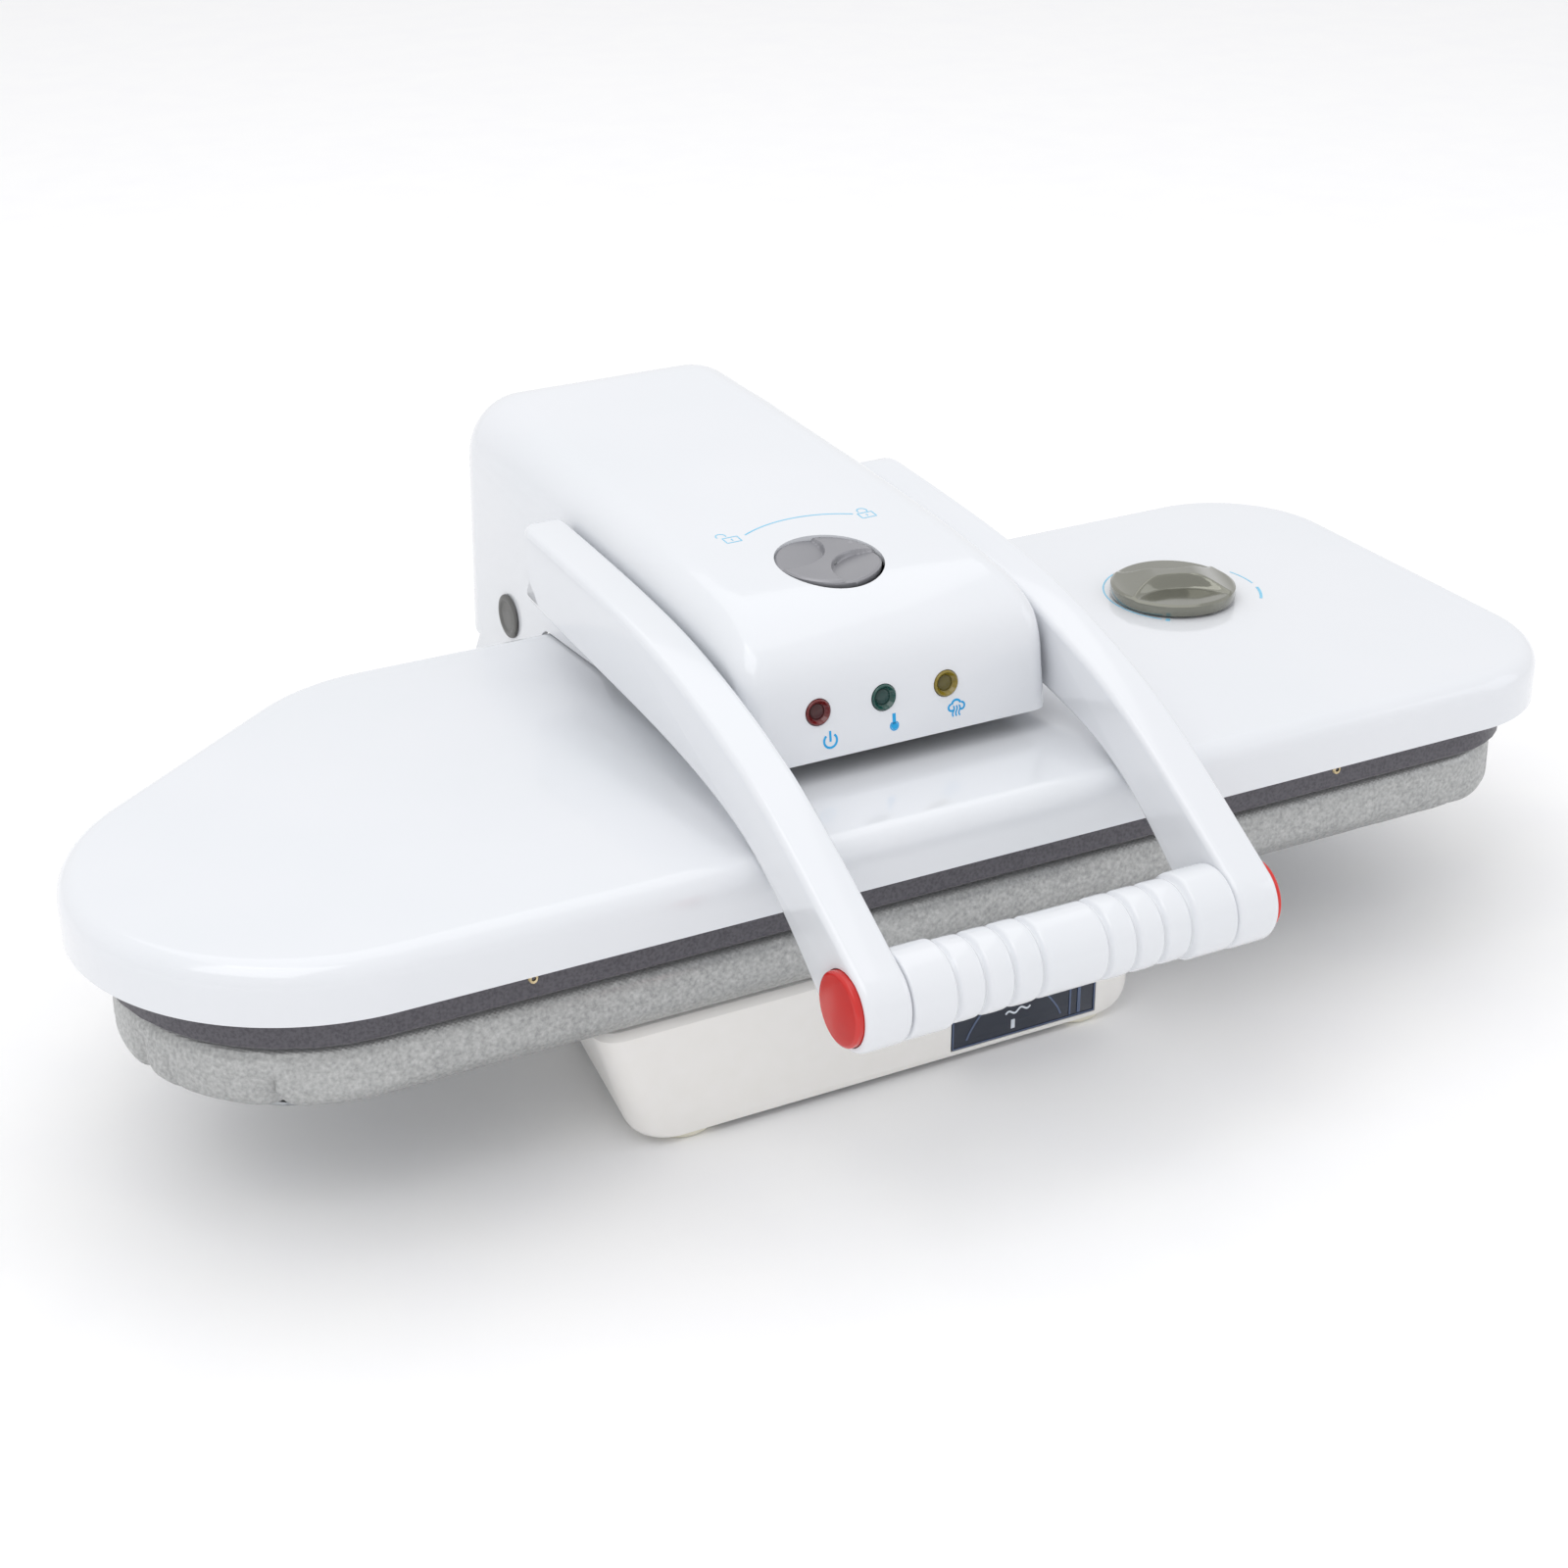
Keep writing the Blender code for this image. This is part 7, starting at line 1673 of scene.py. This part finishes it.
@dataclass
class Handle:
    """Bent handle arms with a grooved grip between them and a steam button in each end.

    Attributes are sizes in metres, apart from the two counts and the line's shares.
    """

    paint: Paintbox
    centre_x: float = 0.0045
    width: float = 0.197
    thickness: float = 0.0212
    pivot: Pair = (0.0585, 0.18582)
    grip: Pair = (-0.2115, 0.107)
    end_radius: float = 0.019
    edge: float = 0.0034
    rear_corner: float = 0.013
    rear_softening: int = 14
    grip_radius: float = 0.017
    groove_first: float = 0.0225
    groove_pitch: float = 0.0135
    groove_depth: float = 0.0019
    groove_width: float = 0.00125
    groove_edge: float = 0.0017
    grip_gap: float = 0.0003
    grip_swell: float = 0.0003
    barrel_radius: float = 0.0186
    button_radius: float = 0.0157
    pocket_gap: float = 0.0004
    pocket_depth: float = 0.0105
    core_bore: float = 0.0083
    sleeve_bore: float = 0.0086
    loop_points: int = 420
    line_shares: tuple[Triple, ...] = (
        (-0.130, -0.048, 0.930), (0.060, 0.000, 1.000), (0.220, 0.042, 1.015), (0.363, 0.088, 0.990),
        (0.500, 0.170, 0.885), (0.633, 0.280, 0.790), (0.726, 0.400, 0.745), (0.804, 0.540, 0.750),
        (0.900, 0.755, 0.860), (1.000, 1.000, 1.000),
    )

    def outline(self) -> np.ndarray:
        """Gives an arm's side view as a closed loop of (y, z).

        The centre line is the table's points, softened, and each side is the centre line moved square to
        itself by the local half depth; the grip end is a half circle.

        Returns:
            The loop's points.
        """
        reach = self.pivot[0] - self.grip[0]
        fall = self.pivot[1] - self.grip[1]
        table = np.asarray(self.line_shares)
        marks = np.linspace(0.0, 1.0, 90)
        run = np.linspace(0.0, 1.0, len(table))
        y = self.pivot[0] - np.interp(marks, run, table[:, 0]) * reach
        z = self.pivot[1] - np.interp(marks, run, table[:, 1]) * fall
        half = np.interp(marks, run, table[:, 2]) * self.end_radius
        line = np.column_stack([y, z, half])
        for _ in range(40):
            line[1:-1] = line[1:-1] / 2 + (line[:-2] + line[2:]) / 4
        along = np.gradient(line[:, :2], axis=0)
        along /= np.linalg.norm(along, axis=1)[:, None]
        across = np.stack([along[:, 1], -along[:, 0]], axis=1)
        upper = line[:, :2] + across * line[:, 2:]
        lower = line[:, :2] - across * line[:, 2:]
        start = math.atan2(across[-1, 1], across[-1, 0])
        turn = np.linspace(start, start + math.pi, 34)[1:-1]
        end = around(self.grip, self.end_radius, turn)
        loop = np.concatenate([upper, end, lower[::-1], upper[:1]])
        run = run_along(loop)
        loop = read_line(np.linspace(0.0, run[-1], self.loop_points, endpoint=False), run, loop)
        near = smooth_step(0.020, 0.006, loop[:, 0].max() - loop[:, 0])[:, None]
        for _ in range(self.rear_softening):
            soft = loop / 2 + (np.roll(loop, 1, axis=0) + np.roll(loop, -1, axis=0)) / 4
            loop = loop * (1.0 - near) + soft * near
        return loop

    def arm(self, name: str, side: int) -> Piece:
        """Makes one arm: the side view drawn in by r (1 - cos t) while x goes by r (1 - sin t) at each face.

        Args:
            name: left or right.
            side: -1 for the left arm and 1 for the right one.

        Returns:
            The arm.
        """
        loop = self.outline()
        along = np.roll(loop, -1, axis=0) - np.roll(loop, 1, axis=0)
        along /= np.linalg.norm(along, axis=1)[:, None]
        centre = np.stack([-along[:, 1], along[:, 0]], axis=1)
        area = 0.5 * np.sum(loop[:, 0] * np.roll(loop[:, 1], -1) - np.roll(loop[:, 0], -1) * loop[:, 1])
        inward = centre * np.sign(area)
        turn = np.linspace(0.0, math.pi / 2, 6)
        inset = self.edge * (1 - np.sin(turn))
        depth = self.edge * (1 - np.cos(turn))
        insets = np.concatenate([inset, inset[::-1]])
        depths = np.concatenate([depth, self.thickness - depth[::-1]])
        outer = self.centre_x + side * self.width / 2
        rear = loop[:, 0].max()
        rows = []
        for draw, sink in zip(insets, depths):
            flat = loop + inward * draw
            past = np.clip(flat[:, 0] - (rear - self.rear_corner), 0.0, self.rear_corner)
            shift = self.rear_corner - np.sqrt(np.maximum(self.rear_corner ** 2 - past ** 2, 0.0))
            x = outer - side * (sink + (1.0 - sink / self.thickness) * shift)
            rows.append(np.column_stack([x, flat]))
        piece = skin(f"handle_{name}_shell", np.stack(rows), self.paint.named("gloss_abs"),
                     sharp=HANDLE_DEGREES)
        start = (outer + side * 0.002, *self.grip)
        for radius, reach in ((self.button_radius + self.pocket_gap, self.pocket_depth),
                              (self.core_bore, 0.030)):
            drill(piece, turned("bore", start, (-side, 0, 0), [(0.0, radius), (reach, radius)],
                                piece.data.materials[0]))
        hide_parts(f"handle_arm_{name}")
        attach(piece, "handle")
        return piece

    def grip_sleeve(self) -> Piece:
        """Makes the grip: a barrel at each end, narrow grooves, and a slight swell between them.

        The radius at each place is grip_radius, plus a smooth step up to barrel_radius outside the outermost
        grooves, less groove_depth * exp(-(distance / groove_width) squared) for each groove.

        Returns:
            The grip.
        """
        length = self.width - 2 * (self.thickness + self.grip_gap)
        along = np.linspace(0.0, length, 420)
        from_end = np.minimum(along, length - along)
        first = self.groove_first - self.groove_edge
        middles = first + self.groove_pitch * np.arange(4)
        groove = np.exp(-((from_end[:, None] - middles[None, :]) / self.groove_width) ** 2).sum(axis=1)
        swell = np.abs(np.sin(math.pi * (from_end - first) / self.groove_pitch)) * (from_end < middles[-1])
        radius = self.grip_radius + (self.barrel_radius - self.grip_radius) * (1 - smooth_step(
            first - 0.0015, first + 0.0015, from_end))
        radius += self.grip_swell * swell * (from_end > first) - self.groove_depth * groove
        radius -= 0.0006 * np.exp(-from_end / 0.0005)
        start_x = self.centre_x - length / 2
        profile = [(0.0, self.sleeve_bore)] + list(zip(along, radius)) + [(length, self.sleeve_bore)]
        piece = turned("grip_sleeve", (start_x, *self.grip), (1, 0, 0), profile + profile[:1],
                       self.paint.named("gloss_abs"), sides=72, sharp=HANDLE_DEGREES)
        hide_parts("handle_grip")
        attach(piece, "handle")
        return piece

    def button(self, name: str, side: int) -> Piece:
        """Makes one steam button with a softly domed face.

        Args:
            name: left or right.
            side: -1 for the left button and 1 for the right one.

        Returns:
            The button.
        """
        outer = self.centre_x + side * self.width / 2
        back = outer - side * 0.0052
        r = self.button_radius
        profile = rounded_profile([(-0.010, 0.0005, 0), (-0.010, 0.0030, 0.0004), (0.0, 0.0030, 0),
                                   (0.0, r, 0.0004), (0.0074, r, 0.0005), (0.0083, r - 0.0011, 0.0008),
                                   (0.0086, r * 0.5, 0.004), (0.0087, 0.0005, 0)])
        piece = turned(f"button_{name}_cap", (back, *self.grip), (side, 0, 0), profile,
                       self.paint.named("red_abs"), sides=80)
        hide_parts(f"steam_button_{name}")
        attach(piece, f"button_{name}")
        return piece

    def build(self) -> list[Piece]:
        """Builds both arms, the grip and both buttons."""
        return [self.arm("left", -1), self.arm("right", 1), self.grip_sleeve(), self.button("left", -1),
                self.button("right", 1)]


# Base and what stays as the frame gives it


@dataclass
class SmoothCopy:
    """A frame node whose loose triangles are merged and whose crisp edges are rounded.

    Attributes:
        node: the CAD node.
        body: the body that it rides on.
        material: what it is made of.
        edge: radius of the rounding in metres, or 0 for none.
        angle: edges that turn by more degrees than this count as crisp.
    """

    node: str
    body: str
    material: Material
    edge: float = 0.0
    angle: float = 40.0

    def build(self, nodes: dict[str, Piece]) -> Piece:
        """Builds the copy.

        Args:
            nodes: the frame's nodes by name.

        Returns:
            The piece that stands for the node.
        """
        mesh = nodes[self.node].data.copy()
        mesh.name = f"{self.node}_skin"
        if "custom_normal" in mesh.attributes:
            mesh.attributes.remove(mesh.attributes["custom_normal"])
        work = bmesh.new()
        work.from_mesh(mesh)
        bmesh.ops.remove_doubles(work, verts=work.verts, dist=NODE_MERGE_M)
        bmesh.ops.dissolve_limit(work, angle_limit=math.radians(1.0), verts=work.verts, edges=work.edges)
        work.to_mesh(mesh)
        work.free()
        mesh.materials.clear()
        mesh.materials.append(self.material)
        mesh.shade_smooth()
        mesh.set_sharp_from_angle(angle=math.radians(self.angle))
        piece = bpy.data.objects.new(f"{self.node}_skin", mesh)
        bpy.context.scene.collection.objects.link(piece)
        if self.edge > 0:
            soft_edges(piece, self.edge, 2, self.angle)
        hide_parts(self.node)
        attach(piece, self.body)
        return piece


@dataclass
class Base:
    """The base's four feet, and the printed sign and the painted highlights of the ribs on the window of its
    tank.

    Attributes are sizes in metres.
    """

    paint: Paintbox
    front_y: float = -0.1185
    window_x: Pair = (0.0145, 0.0915)
    window_z: Pair = (0.0060, 0.0455)

    def window_surface(self, points: np.ndarray, lift: float) -> np.ndarray:
        """Places (x, z) on the tank's window.

        Args:
            points: the (x, z) pairs.
            lift: distance in front of it.

        Returns:
            (x, y, z) points.
        """
        return np.column_stack([points[:, 0], np.full(len(points), self.front_y - lift), points[:, 1]])

    def level_sign(self) -> Piece:
        """Prints the fill line and the water sign on the window.

        Returns:
            The printed piece.
        """
        middle = sum(self.window_x) / 2
        strokes = [(line_path((middle - 0.0055, 0.0262), (middle + 0.0010, 0.0262)), 0.0007, False),
                   (wave_path((middle - 0.0100, 0.0175), (middle + 0.0030, 0.0190), 0.0009, 2.0), 0.0009,
                    False),
                   (line_path((middle - 0.0060, 0.0095), (middle - 0.0060, 0.0140)), 0.0020, False)]
        piece = Ink(self.window_surface).print_strokes("level_sign", strokes,
                                                       self.paint.named("white_ink"))
        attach(piece, "tank")
        return piece

    def window_rib_highlights(self) -> Piece:
        """Paints the moulded frame line, the two upright ribs and the curved bulkhead seen in the window as
        thin paler lines: painted highlights where they catch light.

        Returns:
            The painted rib highlights as one piece.
        """
        left, right = self.window_x
        low, high = self.window_z
        edge = 0.0009
        frame = line_path((left + edge, low + edge), (right - edge, low + edge), (right - edge, high - edge),
                          (left + edge, high - edge), (left + edge, low + edge), count=8)[:-1]
        strokes = [(frame, 0.0007, True)]
        for away, width in ((0.0140, 0.0009), (0.0092, 0.0016)):
            rib = line_path((right - away, low + 0.002), (right - away, high - 0.002))
            strokes.append((rib, width, False))
        t = np.linspace(0.0, 1.0, 40)
        arch = np.sin(math.pi * t) ** 0.8
        bulkhead = np.column_stack([left + 0.008 + 0.050 * t, low + 0.004 + 0.022 * arch])
        strokes.append((bulkhead, 0.0009, False))
        # The paler blue-grey ink is a painted highlight where the frame, ribs and bulkhead catch light
        piece = Ink(self.window_surface, height=0.00025).print_strokes(
            "window_rib_highlights", strokes, self.paint.named("smoked_rib_highlight"))
        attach(piece, "tank")
        return piece

    def foot(self, name: str) -> Piece:
        """Makes one rubber foot with a rounded lower edge.

        Args:
            name: the CAD node that it stands for.

        Returns:
            The foot.
        """
        low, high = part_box(name)
        x, y = (low.x + high.x) / 2, (low.y + high.y) / 2
        profile = rounded_profile([(0.0, 0.0005, 0), (0.0, 0.0152, 0.0016), (0.0040, 0.0165, 0.0004),
                                   (0.0040, 0.0060, 0), (high.z, 0.0060, 0.0003), (high.z, 0.0005, 0)])
        piece = turned(f"{name}_rubber", (x, y, 0.0), (0, 0, 1), profile, self.paint.named("rubber"))
        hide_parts(name)
        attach(piece, "base")
        return piece

    def build(self) -> list[Piece]:
        """Builds the feet, and the sign and the painted rib highlights on the tank's window.

        Returns:
            The pieces.
        """
        feet = [self.foot(f"foot_{along}_{across}") for along in ("front", "rear")
                for across in ("left", "right")]
        return [*feet, self.level_sign(), self.window_rib_highlights()]


# Floor, light and camera


@dataclass(frozen=True)
class AreaLamp:
    """One soft box.

    Attributes:
        name: its name.
        place: where it hangs, in metres.
        aim: the point that it faces.
        size: its width in metres.
        power: its power in watts.
        colour: its sRGB hex colour.
    """

    name: str
    place: Triple
    aim: Triple
    size: float
    power: float
    colour: str = "#FFFFFF"

    def build(self) -> Piece:
        """Hangs the lamp.

        Returns:
            The lamp.
        """
        data = bpy.data.lights.new(self.name, "AREA")
        data.shape = "SQUARE"
        data.size = self.size
        data.energy = self.power
        data.color = linear(self.colour)
        lamp = bpy.data.objects.new(self.name, data)
        lamp.location = self.place
        lamp.rotation_euler = (Vector(self.aim) - Vector(self.place)).to_track_quat("-Z", "Y").to_euler()
        bpy.context.scene.collection.objects.link(lamp)
        return lamp


@dataclass(frozen=True)
class Studio:
    """Pale floor, even light and the camera at the photograph's viewing angle."""

    lamps: tuple[AreaLamp, ...] = (
        AreaLamp("key", (-1.0, -0.6, 1.9), (0.0, 0.0, 0.1), 1.5, 9.5),
        AreaLamp("fill", (1.9, -1.0, 1.0), (0.0, 0.0, 0.1), 1.2, 2.8, "#F6F8FF"),
        AreaLamp("top", (0.2, 0.6, 2.2), (0.0, 0.0, 0.1), 2.2, 8.5),
    )
    floor_reach: float = 9.0
    sky: str = "#FBFBFC"
    sky_strength: float = 0.90
    camera_place: Triple = (-0.584, -1.0625, 0.683)
    camera_tilt: float = 64.0
    camera_yaw: float = -28.567
    lens: float = 66.98
    sensor: float = 36.0
    far: float = 50.0

    def floor(self) -> Piece:
        """Makes the floor, a pale matt sheet with a faint grain.

        Returns:
            The floor.
        """
        finish = Finish("matt_studio_paper", "#FCFCFC", "#FAFAFB", 0.85, Pattern.ERODED, 4.0, 0.01)
        reach = self.floor_reach
        corners = np.array([(-reach, -reach, 0.0), (reach, -reach, 0.0), (reach, reach, 0.0),
                            (-reach, reach, 0.0)])
        piece = new_piece("studio_floor", corners, [[0, 1, 2, 3]], finish.make())
        return piece

    def build(self) -> None:
        """Sets up the floor, the light, the sky and the camera."""
        self.floor()
        for lamp in self.lamps:
            lamp.build()
        world = bpy.data.worlds.new("studio_sky")
        world.use_nodes = True
        background = world.node_tree.nodes["Background"]
        background.inputs["Color"].default_value = (*linear(self.sky), 1.0)
        background.inputs["Strength"].default_value = self.sky_strength
        bpy.context.scene.world = world
        data = bpy.data.cameras.new("photo_camera")
        data.lens = self.lens
        data.sensor_width = self.sensor
        data.clip_end = self.far
        camera = bpy.data.objects.new("photo_camera", data)
        camera.location = self.camera_place
        camera.rotation_euler = Euler((math.radians(self.camera_tilt), 0.0, math.radians(self.camera_yaw)))
        bpy.context.scene.collection.objects.link(camera)
        bpy.context.scene.camera = camera
        bpy.context.scene.view_settings.view_transform = "Standard"


# Frame nodes that are dressed as they are


def dress_nodes(nodes: dict[str, Piece], paint: Paintbox) -> None:
    """Gives every frame node its own finish.

    Args:
        nodes: the frame's nodes by name.
        paint: where the materials come from.
    """
    kinds = paint.finishes
    groups = {
        kinds.zinc_sheet: ("base_bottom", "hinge_column", "board_tray", "arm_frame", "pressure_beam"),
        kinds.drawn_steel: ("hinge_pin_left", "hinge_pin_right", "beam_pin", "platen_spindle", "spindle_nut",
                            "lock_spindle", "dial_spindle", "grip_core", "handle_shaft", "press_cam"),
        kinds.spring_steel: ("lift_spring", "platen_spring"),
        kinds.nylon: ("hinge_bush_left", "hinge_bush_right", "tank_valve"),
        kinds.silicone: ("feed_hose", "steam_hose_lower", "steam_hose_upper"),
        kinds.black_abs: ("pump", "cord_gland", "lamp_holder", "steam_switch_left", "steam_switch_right"),
        kinds.plug_abs: ("pump_bracket", "heating_element", "thermostat"),
        kinds.board_resin: ("control_board",),
        kinds.brass: ("steam_inlet",),
        kinds.satin_abs: ("tank_bay", "column_shroud", "base_housing"),
        kinds.smoked: ("water_tank", "tank_lid"),
        kinds.coated_plate: ("heating_plate",),
    }
    for finish, names in groups.items():
        for name in names:
            nodes[name].data.materials.clear()
            nodes[name].data.materials.append(paint.get(finish))


def main() -> None:
    """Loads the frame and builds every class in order."""
    logging.basicConfig(level=logging.INFO, format="%(name)s: %(message)s")
    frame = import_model()
    nodes = frame["nodes"]
    Studio().build()
    paint = Paintbox()
    kinds = paint.finishes
    dress_nodes(nodes, paint)
    outline = BoardOutline()
    pieces = Platen(paint, outline).build()
    pieces += HeadCover(paint).build()
    pieces += Handle(paint).build()
    pieces += Base(paint).build()
    pieces.append(RoundKnob(
        "lock_knob_cap", "lock_knob", "lock", centre=(0.0, -0.0298, 0.2098), axis=(0.0, -0.055, 1.0),
        radius=LOCK_RADIUS, thickness=0.0042, turn=41.0, shape=lock_shape,
        material=paint.get(kinds.knob_abs)).build())
    pieces.append(RoundKnob(
        "dial_cap", "temperature_dial", "dial", centre=(0.21602, 0.0095, 0.1411), axis=(0.0, 0.0, 1.0),
        radius=DIAL_RADIUS, thickness=0.0058, turn=-20.0, shape=dial_shape,
        material=paint.get(kinds.dial_abs)).build())
    copies = (
        SmoothCopy("base_housing", "base", paint.get(kinds.satin_abs), 0.0012),
        SmoothCopy("column_shroud", "base", paint.get(kinds.satin_abs), 0.0006),
        SmoothCopy("water_tank", "tank", paint.get(kinds.smoked), 0.0005),
        SmoothCopy("heating_plate", "head", paint.get(kinds.coated_plate)),
    )
    pieces += [copy.build(nodes) for copy in copies]
    stage = PadStage.SIMULATED
    pieces.append(BoardPad(paint, outline).build(stage))


if __name__ == "__main__":
    main()
